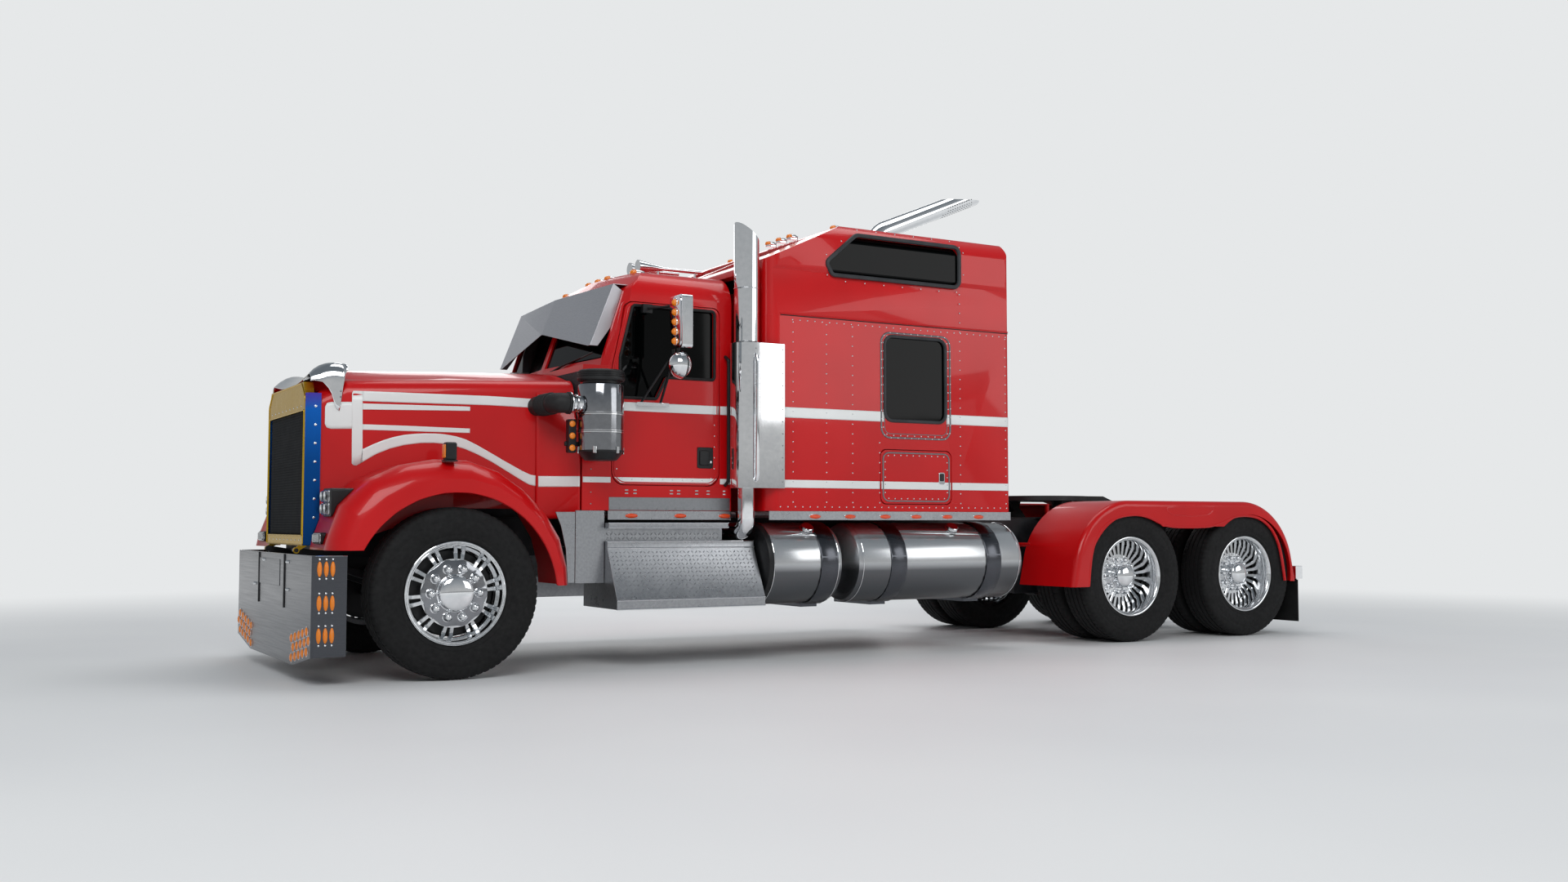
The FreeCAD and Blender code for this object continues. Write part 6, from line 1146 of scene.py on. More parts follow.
def doorDetails(side):
    sign = sides[side]
    y = sign * cab["skin"]
    out = (0, sign, 0)
    body = "door_" + side
    label = side.title()
    makePiece("doorGasket" + label, [frameRing(doorWindow(0.004), "y", y, cab["gasket"])], "rubber",
              body)
    makePiece("doorBead" + label, [frameRing(doorOutline(0.016), "y", y, 0.0045)], "red", body)
    dots = lift(alongLoop(doorOutline(0.034), 0.075), "y", y)
    makePiece("doorRivets" + label, [studs(dots[dots[:, 2] < 1.75], out, cab["rivet"], 0.0032)],
              "alloy", body)
    front, rear, low, high = cab["handle"]
    bezel = plate(box2d(at(front), at(rear), low, high, 0.022), "y", y - sign * 0.002,
                  y + sign * 0.004)
    front, rear = cab["paddle"]
    paddle = plate(box2d(at(front), at(rear), low + 0.022, high - 0.022, 0.012), "y", y,
                   y + sign * 0.014, 0.004)
    lock = turned([(0.0, 0.008), (0.008, 0.007), (0.011, 0.0)], spot(2.761, y, low + 0.045), out, 20)
    makePiece("doorHandle" + label, [bezel, paddle], "black", body)
    makePiece("doorLock" + label, [lock], "chrome", body, closed=False)


def cabDetails():
    bars, rivets, sills, ambers, bases, slotPlates, wipers = [], [], [], [], [], [], []
    for sign in sides.values():
        y = sign * cab["skin"]
        out = (0, sign, 0)
        bars.append(tube([spot(cab["barStation"], y + sign * reach, z) for reach, z in cab["bar"]],
                         cab["barRadius"], 10))
        front, rear, low, high = cab["sill"]
        panel = box2d(at(front), at(rear), low, high, 0.004)
        sills.append(plate(panel, "y", y, y + sign * 0.003))
        slotPlates += [plate(box2d(at(x), at(x + 0.026), z, z + 0.009, 0.004), "y", y,
                             y + sign * 0.0016, 0.0006)
                       for x in cab["slotStations"] for z in cab["slotHeights"]]
        low = y + sign * 0.003
        for dots in (row(spot(2.000, low, 1.070), spot(2.905, low, 1.070), 0.07),
                     row(spot(1.860, y, 1.10), spot(1.860, y, 1.95), 0.075)):
            rivets.append(studs(dots, out, cab["rivet"], 0.0022, 6))
        tall, wide, rise = cab["marker"]
        for stations, wallY, z in ((cab["cabMarkers"], y, cab["markerHeight"]),
                                   (cab["sleeperMarkers"], sign * cab["sleeperSkin"],
                                    cab["sleeperMarkerHeight"])):
            for x in stations:
                ambers.append(ovals([spot(x, wallY, z)], out, tall, wide, rise))
                bases.append(plate(box2d(at(x - wide), at(x + wide), z - cab["base"],
                                         z + cab["base"], 0.012), "y", wallY, wallY + sign * 0.003))
        pivot = np.array(spot(1.872, sign * 0.25, 2.052))
        tip = np.array(spot(1.944, sign * 0.66, 2.130))
        wipers += [tube([pivot, spot(1.905, sign * 0.36, 2.090), tip], (0.011, 0.008, 0.005), 8),
                   tube([tip + (-0.004, sign * -0.27, -0.028), tip + (-0.002, sign * 0.16, 0.012)],
                        0.007, 6),
                   turned([(0.0, 0.03), (0.018, 0.024), (0.02, 0.0)], pivot - (0, 0, 0.018),
                          (0, 0, 1), 16)]
    makePiece("grabBars", bars, "black")
    makePiece("sillPanels", sills, "satin")
    makePiece("sillSlots", slotPlates, "chrome")
    makePiece("cabRivets", rivets, "satin")
    makePiece("sideMarkers", ambers, "deepAmber")
    makePiece("sideMarkerBases", bases, "chrome")
    makePiece("wipers", wipers, "black")


for side in sides:
    doorDetails(side)
cabDetails()
print("cab done")

# Mirrors, air cleaners, elbows and the lamps on both roofs.
outside = {
    "mirrorStation": 2.350, "mirrorY": 1.360, "mirrorLow": 2.134, "mirrorHigh": 2.490,
    "ball": 2.026, "ballRadius": 0.089, "boardHalf": 0.078, "lampCount": 5, "lampRadius": 0.0248,
    "cleanerStation": 1.850, "cleanerY": 1.182, "cleanerRadius": 0.151, "stubHeight": 1.752,
    "elbowRadius": 0.066, "ribRadius": 0.0675, "elbowStation": 1.475, "ribPitch": (0.016, 0.018),
    "postLamps": (1.462, 1.541, 1.620), "postLamp": 0.0215, "post": (1.102, 1.158),
    "cabRoof": {"station": 2.335, "crown": 2.765, "edge": 2.728, "half": 0.8, "size": 1.0,
                "lamps": (-0.64, -0.18, 0.0, 0.18, 0.64)},
    "sleeperRoof": {"station": 3.905, "crown": 3.245, "edge": 3.156, "half": 1.11, "size": 0.9,
                    "lamps": (-0.82, -0.17, 0.0, 0.17, 0.82)},
    "shell": [(0.036, 0.0), (0.035, 0.02), (0.031, 0.045), (0.022, 0.070), (0.0, 0.084)],
    "bullet": [(0.0, 0.036), (0.014, 0.034), (0.026, 0.026), (0.033, 0.012), (0.0345, 0.0),
               (0.0, 0.0)], "squash": 0.72,
}


def mirrorDetails(side):
    o = outside
    sign = sides[side]
    label = side.title()
    body = "door_" + side
    x, y = at(o["mirrorStation"]), sign * o["mirrorY"]
    low, high = o["mirrorLow"], o["mirrorHigh"]
    half = o["boardHalf"]
    for corner, opposite in (((x - 0.06, y - 0.1, low - 0.005), (x + 0.06, y + 0.1, high + 0.01)),
                             ((x - 0.11, y - 0.1, 1.9), (x + 0.11, y + 0.1, 2.118)),
                             ((x - 0.2, sign, 1.75), (x + 0.1, sign * 1.045, 1.80))):
        repaint(made["mirror_" + side], "chrome", corner, opposite)
    board = plate(box2d(y - half, y + half, low + 0.012, high - 0.012, 0.03), "x", x - 0.038,
                  x - 0.045)
    centres = [(x - 0.045, y, z) for z in np.linspace(low + 0.048, high - 0.048, o["lampCount"])]
    bezels = [torus(centre, (1, 0, 0), 0.027, 0.0038, 28, 8) for centre in centres]
    bezels.append(ball((x - 0.012, y, o["ball"]), o["ballRadius"], (0.9, 1, 1), 40))
    makePiece("mirrorBoard" + label, [board] + bezels, "chrome", body)
    makePiece("mirrorLamps" + label, [studs(centres, (-1, 0, 0), o["lampRadius"], 0.026, 24)],
              "amber", body)
    pane = box2d(y - half - 0.004, y + half + 0.004, low + 0.014, high - 0.014, 0.018)
    makePiece("mirrorGlass" + label, [plate(pane, "x", x + 0.0385, x + 0.0405)], "mirrorGlass", body)
    makePiece("mirrorRim" + label, [frameRing(pane, "x", x + 0.0395, 0.004),
                                    torus((x + 0.010, y, o["ball"]), (1, 0, 0),
                                          o["ballRadius"] + 0.001, 0.0045, 48, 8)], "black", body)


def cleanerDetails(side):
    o = outside
    sign = sides[side]
    label = side.title()
    x, y, r, z = at(o["cleanerStation"]), sign * o["cleanerY"], o["cleanerRadius"], o["stubHeight"]
    centre = (x, y, 0.0)
    up = (0, 0, 1)
    along = (1, 0, 0)
    body = [(0.0, 1.440), (r - 0.006, 1.440), (r, 1.446), (r, 1.566), (r + 0.004, 1.568),
            (r + 0.004, 1.574), (r, 1.576), (r, 1.684), (r + 0.005, 1.686), (r + 0.005, 1.693),
            (r, 1.695), (r, 1.872), (r - 0.004, 1.880), (r - 0.016, 1.886), (0.0, 1.888)]
    bands = [[(r, z - 0.011), (r + 0.0035, z - 0.009), (r + 0.0035, z + 0.009), (r, z + 0.011),
              (r, z - 0.011)] for z in (1.570, 1.687)]
    cap = [(0.0, 1.905), (0.150, 1.905), (0.156, 1.912), (0.157, 1.918)]
    for rib in 1.922 + 0.012 * np.arange(4):
        cap += [(0.157, rib), (0.157, rib + 0.006), (0.152, rib + 0.008), (0.152, rib + 0.011)]
    cap += [(0.150, 1.970), (0.140, 1.977), (0.0, 1.9775)]
    bowl = [(0.0, 1.381), (0.100, 1.381), (0.108, 1.384), (0.146, 1.430), (0.153, 1.436),
            (0.153, 1.447), (0.0, 1.447)]
    neck = [(0.0, 1.885), (0.122, 1.885), (0.122, 1.907), (0.0, 1.907)]
    latch = plate(box2d(x - 0.012, x + 0.012, 1.425, 1.470, 0.004), "y", y + r, y + r + 0.007)
    latches = spun(latch, centre, up, 6, 0.4)
    makePiece("cleanerBody" + label, [turned(body, centre, up, 96)], "darkChrome",
              replaces=("air_cleaners",) if side == "left" else ())
    makePiece("cleanerBands" + label, [turned(band, centre, up, 96) for band in bands] + [latches],
              "alloy")
    makePiece("cleanerCap" + label, [turned(cap, centre, up, 96), turned(neck, centre, up, 64),
                                     turned(bowl, centre, up, 96)], "black")

    # Short stub with its clamp, and the ribbed rubber hose on the hood's side.
    stub = turned([(0.0, 0.10), (0.052, 0.10), (0.052, 0.204), (0.046, 0.206), (0.0, 0.206)],
                  (x, y, z), (-1, 0, 0), 48)
    makePiece("cleanerStub" + label, [stub, torus((x - 0.178, y, z), along, 0.055, 0.005)], "chrome")
    corner = at(o["elbowStation"]) + o["elbowRadius"]
    straight, cross = o["ribPitch"]
    ribs = [torus((station, y, z), along, o["ribRadius"], 0.006, 40)
            for station in np.arange(corner + 0.075, at(1.636), straight)]
    ribs += [torus((corner, sign * inner, z), (0, 1, 0), o["ribRadius"], 0.006, 40)
             for inner in np.arange(0.93, 1.105, cross)]
    makePiece("elbowRibs" + label, ribs, "rubber", "hood")
    makePiece("elbowClamp" + label, [torus((at(1.632), y, z), along, 0.069, 0.005, 40)], "chrome",
              "hood")

    # Post of amber lamps ahead of the canister, its brace and the canister's two shelves.
    inner, outer = (sign * reach for reach in o["post"])
    brackets = [block(spot(1.636, inner, 1.430), spot(1.690, outer, 1.650), 0.006),
                block(spot(1.62, sign * 1.11, 1.475), spot(1.75, sign * 1.13, 1.505), 0.004)]
    brackets += [block(spot(1.805, sign * 0.999, height), spot(1.895, y, height + 0.030), 0.005)
                 for height in (1.515, 1.785)]
    makePiece("cleanerBrackets" + label, brackets, "black")
    centres = [spot(1.661, outer, height) for height in o["postLamps"]]
    makePiece("cleanerLamps" + label, [studs(centres, (0, sign, 0), o["postLamp"], 0.012, 16)],
              "amber")


def roofLamps():
    # Bullet lamps: amber glass ahead of a chrome shell, on a foot that follows the roof's arc,
    # z = crown - radius + root of (radius squared - y squared).
    shells, glasses = [], []
    for roof in (outside["cabRoof"], outside["sleeperRoof"]):
        rise = roof["crown"] - roof["edge"]
        radius = (roof["half"] ** 2 + rise ** 2) / (2 * rise)
        x, size = at(roof["station"]), roof["size"]
        for y in roof["lamps"]:
            z = roof["crown"] - radius + math.sqrt(radius ** 2 - y * y)
            for shape, way, group in (("shell", 1, shells), ("bullet", -1, glasses)):
                verts, faces = turned(np.array(outside[shape]) * size, (0, 0, 0), (way, 0, 0), 24)
                centre = np.array([x, y, z + 0.012 * size])
                group.append((verts * (1, 1, outside["squash"]) + centre, faces))
            foot = box2d(x - 0.03 * size, x + 0.07 * size, y - 0.03 * size, y + 0.03 * size, 0.02)
            shells.append(plate(foot, "z", z - 0.012, z + 0.004))
    makePiece("roofLampShells", shells, "chrome", closed=False)
    makePiece("roofLampGlasses", glasses, "amber", replaces=("marker_lamps",))


for side in sides:
    mirrorDetails(side)
    cleanerDetails(side)
roofLamps()
print("outside fittings done")

# Sleeper: gaskets, riveted frames, rivet rows, seam and latches.
sleeper = {
    "skin": 1.220, "rivet": 0.0060, "columns": (3.304, 3.584, 3.808), "rearColumn": 4.786,
    "cornerColumn": 5.225, "foot": 1.12, "shoulder": 2.40, "pitch": 0.072, "rowPitch": 0.062,
    "seam": 2.445, "window": (4.097, 4.643, 1.732, 2.348, 0.062),
    "frame": (4.060, 4.690, 1.600, 2.378, 0.075), "locker": (4.075, 4.677, 1.133, 1.489, 0.05),
    "lockerInset": 0.018, "lockerPitch": 0.055, "latch": (4.580, 4.634, 1.262, 1.350, 0.012),
    "paddle": (4.590, 4.624, 1.285, 1.342, 0.008), "rear": 5.270, "backHalf": 1.15,
}


def upperWindow(gap):
    front, rear, low, high = at(3.595 - gap), at(4.776 + gap), 2.778 - gap, 3.068 + gap
    return rounded([(front + 0.048, low, 0.03), (rear, low, 0.046), (rear, high, 0.046),
                    (front + 0.25, high, 0.06), (front, low + 0.076, 0.03)], 8)


def opening(name, inset=0.0):
    # Rounded outline of a window, frame or door, drawn in by an inset.
    front, rear, low, high, r = sleeper[name]
    return box2d(at(front + inset), at(rear - inset), low + inset, high - inset,
                 r - inset * (0.005 / 0.018))


def sleeperDetails(side):
    p = sleeper
    sign = sides[side]
    y = sign * p["skin"]
    label = side.title()
    out = (0, sign, 0)
    locker = "luggage_" + side
    frame2d = opening("frame")
    makePiece("sleeperGaskets" + label,
              [frameRing(grown(opening("window"), 0.006), "y", y, 0.013),
               frameRing(grown(upperWindow(0.0), 0.010), "y", y, 0.016)], "greyRubber")
    makePiece("windowFrame" + label, [frameRing(frame2d, "y", y, 0.0075),
                                      frameRing(grown(frame2d, -0.030), "y", y, 0.003)], "satin")
    makePiece("luggageBead" + label, [frameRing(opening("locker"), "y", y, 0.006)], "satin", locker)
    dots = lift(alongLoop(opening("locker", p["lockerInset"]), p["lockerPitch"]), "y", y)
    makePiece("luggageRivets" + label, [studs(dots, out, p["rivet"], 0.0036)], "alloy", locker)
    makePiece("luggageLatch" + label, [plate(opening("latch"), "y", y, y + sign * 0.006)], "chrome",
              locker)
    makePiece("luggagePaddle" + label, [plate(opening("paddle"), "y", y + sign * 0.005,
                                              y + sign * 0.013, 0.003)], "black", locker)

    # Upright rows, then level rows, then the rows that follow the frame and the upper window.
    rows = [row(spot(x, y, p["foot"]), spot(x, y, top), p["pitch"])
            for x, top in [(x, p["shoulder"]) for x in p["columns"]]
            + [(p["rearColumn"], 3.08), (p["cornerColumn"], p["shoulder"]), (4.044, 1.56)]]
    rows += [row(spot(x, y, z), spot(5.23, y, z), p["rowPitch"])
             for x, z in ((3.30, p["seam"] - 0.028), (3.20, 1.086))]
    rows += [lift(alongLoop(frame2d, p["rowPitch"]), "y", y + sign * 0.005),
             lift(alongLoop(grown(frame2d, -0.018), p["rowPitch"]), "y", y),
             lift(alongLoop(grown(upperWindow(0.0), 0.050), 0.16), "y", y)]
    makePiece("sleeperRivets" + label, [studs(r, out, p["rivet"], 0.0034) for r in rows], "alloy")
    for name, rise, radius, material in (("sleeperSeam", 0.0, 0.0035, "rubber"),
                                         ("dripRail", 0.012, 0.005, "red")):
        line = [spot(x, y, p["seam"] + rise) for x in (3.20, 5.255)]
        makePiece(name + label, [tube(line, radius, 8)], material)


def sleeperBack():
    # Rivet rows on the rear wall and the seam across it.
    p = sleeper
    half, seam = p["backHalf"], p["seam"]
    rows = [row(spot(p["rear"], y, p["foot"]), spot(p["rear"], y, p["shoulder"]), 0.09)
            for y in np.linspace(0.03 - half, half - 0.03, 6)]
    rows.append(row(spot(p["rear"], -half, seam - 0.028), spot(p["rear"], half, seam - 0.028), 0.07))
    makePiece("backRivets", [studs(r, (1, 0, 0), p["rivet"], 0.0022, 6) for r in rows], "satin")
    line = [spot(p["rear"], y, seam) for y in (-half - 0.04, half + 0.04)]
    makePiece("backSeam", [tube(line, 0.0035, 8)], "rubber")


for side in sides:
    sleeperDetails(side)
sleeperBack()
print("sleeper done")

# Steps, tanks, stack guard, rear fenders and tail.
running = {
    "tank": (0.928, 0.682, 0.292), "strapStations": (3.610, 4.216, 5.100), "strapHalf": 0.070,
    "tankEnds": ((3.110, 3.735), (3.860, 5.398)), "capShare": 0.6, "capLean": 36.0,
    "cap": [(0.056, 0.0), (0.056, 0.006), (0.047, 0.010), (0.047, 0.022), (0.047, 0.030),
            (0.042, 0.034), (0.0, 0.034)],
    "lozengePitch": 0.030, "stepEnds": (1.975, 3.075), "upperEnds": (1.975, 2.855),
    "slopeTop": (1.045, 0.800), "slopeFoot": (1.212, 0.460), "nose": 0.005,
    "noses": ((0.970, 1.067, 2.868), (0.940, 1.068, 2.868), (0.846, 1.044, 3.085),
              (0.802, 1.046, 3.085), (0.459, 1.212, 3.085), (0.402, 1.211, 3.085)),
    "grips": ((2.845, 1.055, 0.9725), (3.065, 1.02, 0.8485)),
    "splash": ((1.7495, 0.575), (1.7495, 1.045), (1.61, 1.045), (1.65, 0.95), (1.685, 0.80),
               (1.70, 0.575)),
    "guard": (2.978, 1.128, 0.117), "guardHeights": (1.26, 2.19), "guardLips": (2.24, 2.62),
    "grab": [(0.012, 1.262), (-0.020, 1.275), (-0.030, 1.31), (-0.030, 2.10), (-0.020, 2.135),
             (0.012, 2.148)],
    "tipRake": 22.6, "tipKnee": (5.436, 0.900, 3.620), "tipRadius": 0.0825, "tipPitch": 0.030,
    "tipRows": (-100, -120, -140, -160, -180, -200, -220, -240), "tipReach": (1.150, 1.25),
    "fenderHalf": 1.240, "fenderBead": 0.0130, "smoothing": 12,
    "fenderLip": [(6.044, 0.466), (6.060, 0.629), (6.087, 0.763), (6.141, 0.888), (6.232, 0.975),
                  (6.390, 1.027), (6.576, 1.047), (6.736, 1.018), (6.844, 0.965), (6.953, 0.941),
                  (7.190, 0.938), (7.432, 0.942), (7.548, 0.975), (7.695, 1.026), (7.843, 1.041),
                  (8.022, 1.021), (8.171, 0.933), (8.259, 0.807), (8.301, 0.659), (8.332, 0.469)],
    "recess": [(6.874, 1.092, 0.015), (6.960, 1.043, 0.08), (7.178, 1.030, 0.4),
               (7.395, 1.043, 0.08), (7.478, 1.095, 0.015), (7.300, 1.110, 0.3),
               (7.060, 1.110, 0.3)],
    "tailSetback": 0.012, "tailLamp": (8.5642, 1.163, 0.536), "tailLampRadius": 0.044,
}


def lozenges(corner, along, across, count, pitch):
    # Raised diamonds on a plate: rows of slim pyramids turned alternately to either side.
    corner, along, across = (np.array(v, float) for v in (corner, along, across))
    normal = np.cross(along, across)
    i, j = np.meshgrid(np.arange(count[0]), np.arange(count[1]), indexing="ij")
    middles = corner + (i[..., None] + 0.5) * pitch * along + (j[..., None] + 0.5) * pitch * across
    lean = np.where((i + j) % 2 == 0, 1.0, -1.0)[..., None]
    major = (along + across * lean) / math.sqrt(2) * pitch * 0.46
    minor = (along - across * lean) / math.sqrt(2) * pitch * 0.15
    base = [middles + major, middles + minor * lean, middles - major, middles - minor * lean]
    top = [middles + (p - middles) * 0.45 + normal * pitch * 0.075 for p in base]
    points = np.stack(base + top, 2).reshape(-1, 3)
    unit = np.array([[0, 1, 5, 4], [1, 2, 6, 5], [2, 3, 7, 6], [3, 0, 4, 7], [4, 5, 6, 7],
                     [3, 2, 1, 0]])
    faces = (unit[None] + (np.arange(i.size) * 8)[:, None, None]).reshape(-1, 4)
    return points, faces.tolist()


def stepDetails():
    g = running
    plates, bright = [], []
    pitch = g["lozengePitch"]
    (topY, topZ), (footY, footZ) = g["slopeTop"], g["slopeFoot"]
    for sign in sides.values():
        end = 0 if sign < 0 else 1
        turn = (-sign, 0, 0)
        slope = np.array([0, sign * (topY - footY), topZ - footZ])
        length = np.linalg.norm(slope)
        plates.append(lozenges(spot(g["stepEnds"][end], sign * (footY - 0.0015), footZ + 0.003), turn,
                               slope / length, (int(1.10 / pitch), int(length / pitch)), pitch))
        plates.append(lozenges(spot(g["upperEnds"][end], sign * 0.9752, 0.852), turn, (0, 0, 1),
                               (int(0.88 / pitch), 2), pitch))
        bright += [tube([spot(1.962, sign * y, z), spot(rear, sign * y, z)], g["nose"], 8)
                   for z, y, rear in g["noses"]]
        bright += [studs(row(spot(1.985, sign * y, z), spot(rear, sign * y, z), 0.022), (0, 0, 1),
                         0.006, 0.002, 6) for rear, y, z in g["grips"]]
    makePiece("stepPlate", plates, "tread", crease=10.0)
    # Splash panels that carry the cowl's side on to the hood's rear edge.
    splash = plate(np.array([(at(x), z) for x, z in g["splash"]]), "y", -0.9995, -0.9915)
    makePiece("splashPanels", bothSides(splash), "tread", crease=10.0)
    makePiece("stepNoses", bright, "chrome")


def tankDetails():
    half, height, radius = running["tank"]
    w = running["strapHalf"]
    band = [(radius + 0.0065, 0.006 - w), (radius + 0.0085, 0.010 - w),
            (radius + 0.0085, w - 0.010), (radius + 0.0065, w - 0.006)]
    lean = math.radians(running["capLean"])
    bands, caps, ends = [], [], []
    for sign in sides.values():
        ray = np.array([0, sign * math.sin(lean), math.cos(lean)])
        for station in running["strapStations"]:
            bands.append(turned(band, spot(station, sign * half, height), (1, 0, 0), 96))
        for front, rear in running["tankEnds"]:
            middle = front + (rear - front) * running["capShare"]
            seat = np.array(spot(middle, sign * half, height)) + ray * (radius + 0.004)
            caps.append(turned(running["cap"], seat, ray, 32))
            for end in (front + 0.046, rear - 0.046):
                ends.append(torus(spot(end, sign * half, height), (1, 0, 0), radius + 0.0005, 0.003,
                                  96, 6))
    makePiece("tankBands", bands, "smoked", closed=False)
    makePiece("tankCaps", caps, "chrome", closed=False)
    makePiece("tankSeams", ends, "chrome")
    repaint(made["fuel_tanks"], "black", spot(3.100, -2, 0), spot(3.155, 2, 2))


def stackDetails():
    g = running
    station, half, radius = g["guard"]
    y = -half - radius
    low, high = g["guardHeights"]
    rivets = [studs(row(spot(x, y, low), spot(x, y, high), 0.085), (0, -1, 0), 0.0052, 0.0025)
              for x in (station + 0.012, 3.205)]
    makePiece("guardRivets", rivets, "satin")
    fold = tube([spot(station + 0.008, y + out, z) for out, z in g["grab"]], 0.0125, 12)
    lips = [torus(spot(station, -half, z), (0, 0, 1), 0.0905, 0.0035) for z in g["guardLips"]]
    makePiece("guardFold", [fold] + lips, "chrome")

    # Perforated tip of the far pipe: rows of black dots along its scoop, painted shade standing for
    # the holes.
    rake = math.radians(g["tipRake"])
    ray = np.array([math.cos(rake), 0, math.sin(rake)])
    square = np.array([-math.sin(rake), 0, math.cos(rake)])
    knee = np.array(spot(*g["tipKnee"]))
    inner, outer = g["tipReach"]
    dots = []
    for degrees in g["tipRows"]:
        lean = math.radians(degrees)
        out = math.cos(lean) * square + math.sin(lean) * np.array([0, 1.0, 0])
        foot = knee + out * g["tipRadius"]
        length = 0.40 if abs(degrees + 180) > 50 else 0.46
        places = row(foot + ray * (outer - length), foot + ray * inner, g["tipPitch"])
        dots.append(studs(places, out, 0.0055, 0.0012, 6))
    makePiece("scoopHoleShadeDots", dots, "black")


def fenderDetails():
    # Rolled bead along the lip of each rear fender, through the points of its side outline.
    smooth = resampled(running["fenderLip"], 140)
    for _ in range(running["smoothing"]):
        smooth[1:-1] = (smooth[:-2] + 2 * smooth[1:-1] + smooth[2:]) / 4
    oval = rounded([(at(x), z, r) for x, z, r in running["recess"]], 6)
    beads, recesses = [], []
    for sign in sides.values():
        y = sign * running["fenderHalf"]
        path = np.stack([at(smooth[:, 0]), np.full(len(smooth), y), smooth[:, 1]], 1)
        beads.append(tube(path, running["fenderBead"], 10))
        recesses.append(frameRing(oval, "y", y + sign * 0.005, 0.0080))
    makePiece("fenderBeads", beads + recesses, "red")


def tailDetails():
    # Bright lamp box beside each flap with a round red lamp; its face stands back for the lens.
    setBack(made["tail_brackets"], -running["tailSetback"], 8.57)
    lenses, rims = [], []
    x, half, z = running["tailLamp"]
    for sign in sides.values():
        repaint(made["tail_brackets"], "chrome", spot(8.478, sign * 1.080, 0.475),
                spot(8.58, sign * 1.245, 0.60))
        centre = spot(x, sign * half, z)
        lenses.append(studs([centre], (1, 0, 0), running["tailLampRadius"], 0.010, 24))
        rims.append(torus(centre, (1, 0, 0), running["tailLampRadius"] + 0.002, 0.004, 40))
    makePiece("tailLamps", lenses, "redLens")
    makePiece("tailLampRims", rims, "chrome")


stepDetails()
tankDetails()
stackDetails()
fenderDetails()
tailDetails()
print("running gear details done")


# Studio: pale floor, soft lamps and the photograph's camera.
studio = {
    "eye": (-1.915, -9.955, 0.968), "forward": (0.5075, 0.8616), "pitchUp": 3.28, "lens": 33.04,
    "fadeFrom": 4.6, "fadeTo": 13.0, "floorTone": "#F6F7F7", "skyTone": "#E6E8E9",
}


def addLamp(name, place, target, size, power):
    data = bpy.data.lights.new(name, "AREA")
    data.shape = "RECTANGLE"
    data.size, data.size_y = size
    data.energy = power
    lamp = bpy.data.objects.new(name, data)
    lamp.location = place
    direction = np.array(target) - np.array(place)
    lamp.rotation_euler = Vector(direction).to_track_quat("-Z", "Y").to_euler()
    bpy.context.collection.objects.link(lamp)


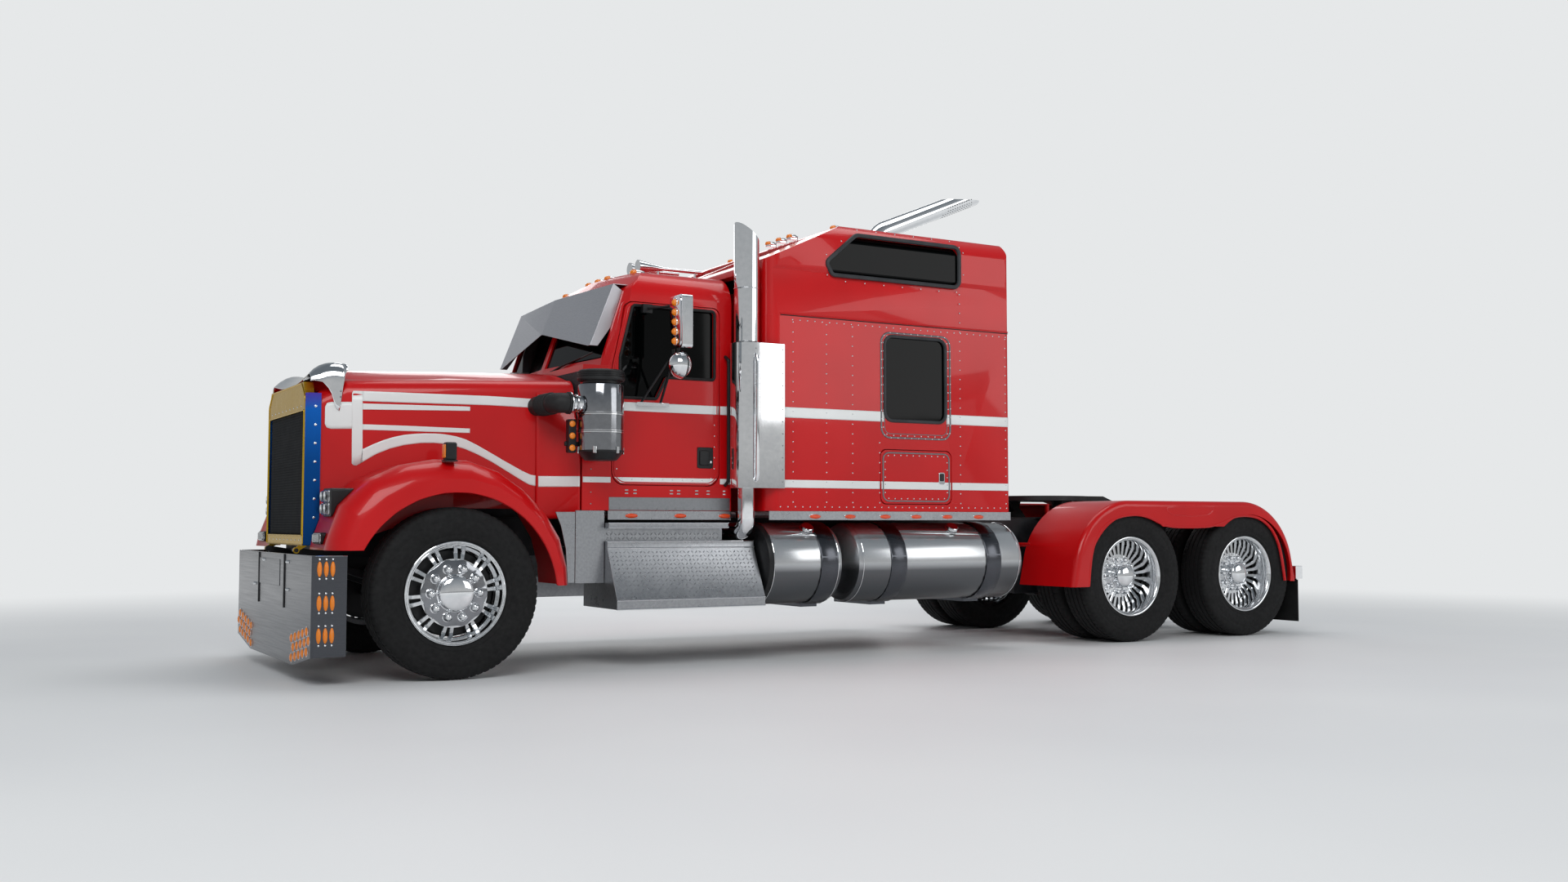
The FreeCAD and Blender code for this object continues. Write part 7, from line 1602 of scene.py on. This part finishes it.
def addStudio():
    world = bpy.data.worlds.new("softStudio")
    bpy.context.scene.world = world
    world.use_nodes = True
    tree = world.node_tree
    tree.nodes.clear()
    place = addNode(tree, "ShaderNodeTexCoord").outputs["Generated"]
    height = addNode(tree, "ShaderNodeSeparateXYZ", links={"Vector": place}).outputs["Z"]
    share = addNode(tree, "ShaderNodeMapRange", inputs={"From Min": -0.25, "From Max": 0.9},
                    links={"Value": height}).outputs["Result"]
    dome = ramp(tree, share, [(0.0, colour("#5A5D60")), (0.2, colour("#8E9194")),
                              (0.26, colour("#F4F5F5")), (0.5, colour("#C9CFD4")),
                              (1.0, colour("#8C959D"))])
    light = addNode(tree, "ShaderNodeBackground", inputs={"Strength": 0.55}, links={"Color": dome})
    plain = addNode(tree, "ShaderNodeBackground",
                    inputs={"Color": colour(studio["skyTone"]), "Strength": 1.0})
    seen = addNode(tree, "ShaderNodeLightPath").outputs["Is Camera Ray"]
    mixed = addNode(tree, "ShaderNodeMixShader", links={0: seen, 1: light.outputs[0],
                                                        2: plain.outputs[0]})
    addNode(tree, "ShaderNodeOutputWorld", links={"Surface": mixed.outputs[0]})

    reach = 60.0
    mesh = bpy.data.meshes.new("studioFloor")
    mesh.from_pydata([(-reach, -reach, 0), (reach, -reach, 0), (reach, reach, 0),
                      (-reach, reach, 0)], [], [(0, 1, 2, 3)])
    floorMaterial, tree, surface, place = newMaterial("paleFloor", {"Roughness": 0.5})
    drive(tree, surface, "Base Color", noise(tree, place, 0.4, 2.0), (0.3, colour("#F0F1F2")),
          (0.7, colour(studio["floorTone"])))
    # Far from the object the floor fades into the backdrop's tone.
    away = addNode(tree, "ShaderNodeVectorMath", {"operation": "LENGTH"}, links={0: place})
    fade = addNode(tree, "ShaderNodeMapRange", {"interpolation_type": "SMOOTHSTEP"},
                   {"From Min": studio["fadeFrom"], "From Max": studio["fadeTo"]},
                   {"Value": away.outputs["Value"]})
    glow = addNode(tree, "ShaderNodeEmission", inputs={"Color": colour(studio["skyTone"])})
    blend = addNode(tree, "ShaderNodeMixShader", links={0: fade.outputs["Result"],
                                                        1: surface.outputs[0], 2: glow.outputs[0]})
    for node in tree.nodes:
        if node.type == "OUTPUT_MATERIAL":
            tree.links.new(blend.outputs[0], node.inputs["Surface"])
    mesh.materials.append(floorMaterial)
    floor = bpy.data.objects.new("studioFloor", mesh)
    bpy.context.collection.objects.link(floor)

    addLamp("keyLamp", (-6.5, -9.0, 8.5), (0, 0, 1.2), (7, 5), 520)
    addLamp("fillLamp", (7.0, -10.0, 5.0), (1, 0, 1.5), (7, 5), 230)
    addLamp("topLamp", (0.5, 1.0, 11.0), (0, 0, 0), (10, 5), 380)
    addLamp("rimLamp", (3.0, 9.5, 5.0), (0, 0, 1.5), (9, 4), 260)


def addCamera():
    data = bpy.data.cameras.new("photoCamera")
    data.lens = studio["lens"]
    data.sensor_width = 36.0
    data.clip_end = 300.0
    camera = bpy.data.objects.new("photoCamera", data)
    x, y, z = studio["eye"]
    camera.location = (at(x), y, z)
    pitch = math.radians(studio["pitchUp"])
    ahead = Vector((studio["forward"][0] * math.cos(pitch), studio["forward"][1] * math.cos(pitch),
                    math.sin(pitch)))
    camera.rotation_euler = ahead.to_track_quat("-Z", "Y").to_euler()
    bpy.context.collection.objects.link(camera)
    bpy.context.scene.camera = camera
    bpy.context.scene.view_settings.view_transform = "Standard"


addStudio()
addCamera()
print("studio ready")
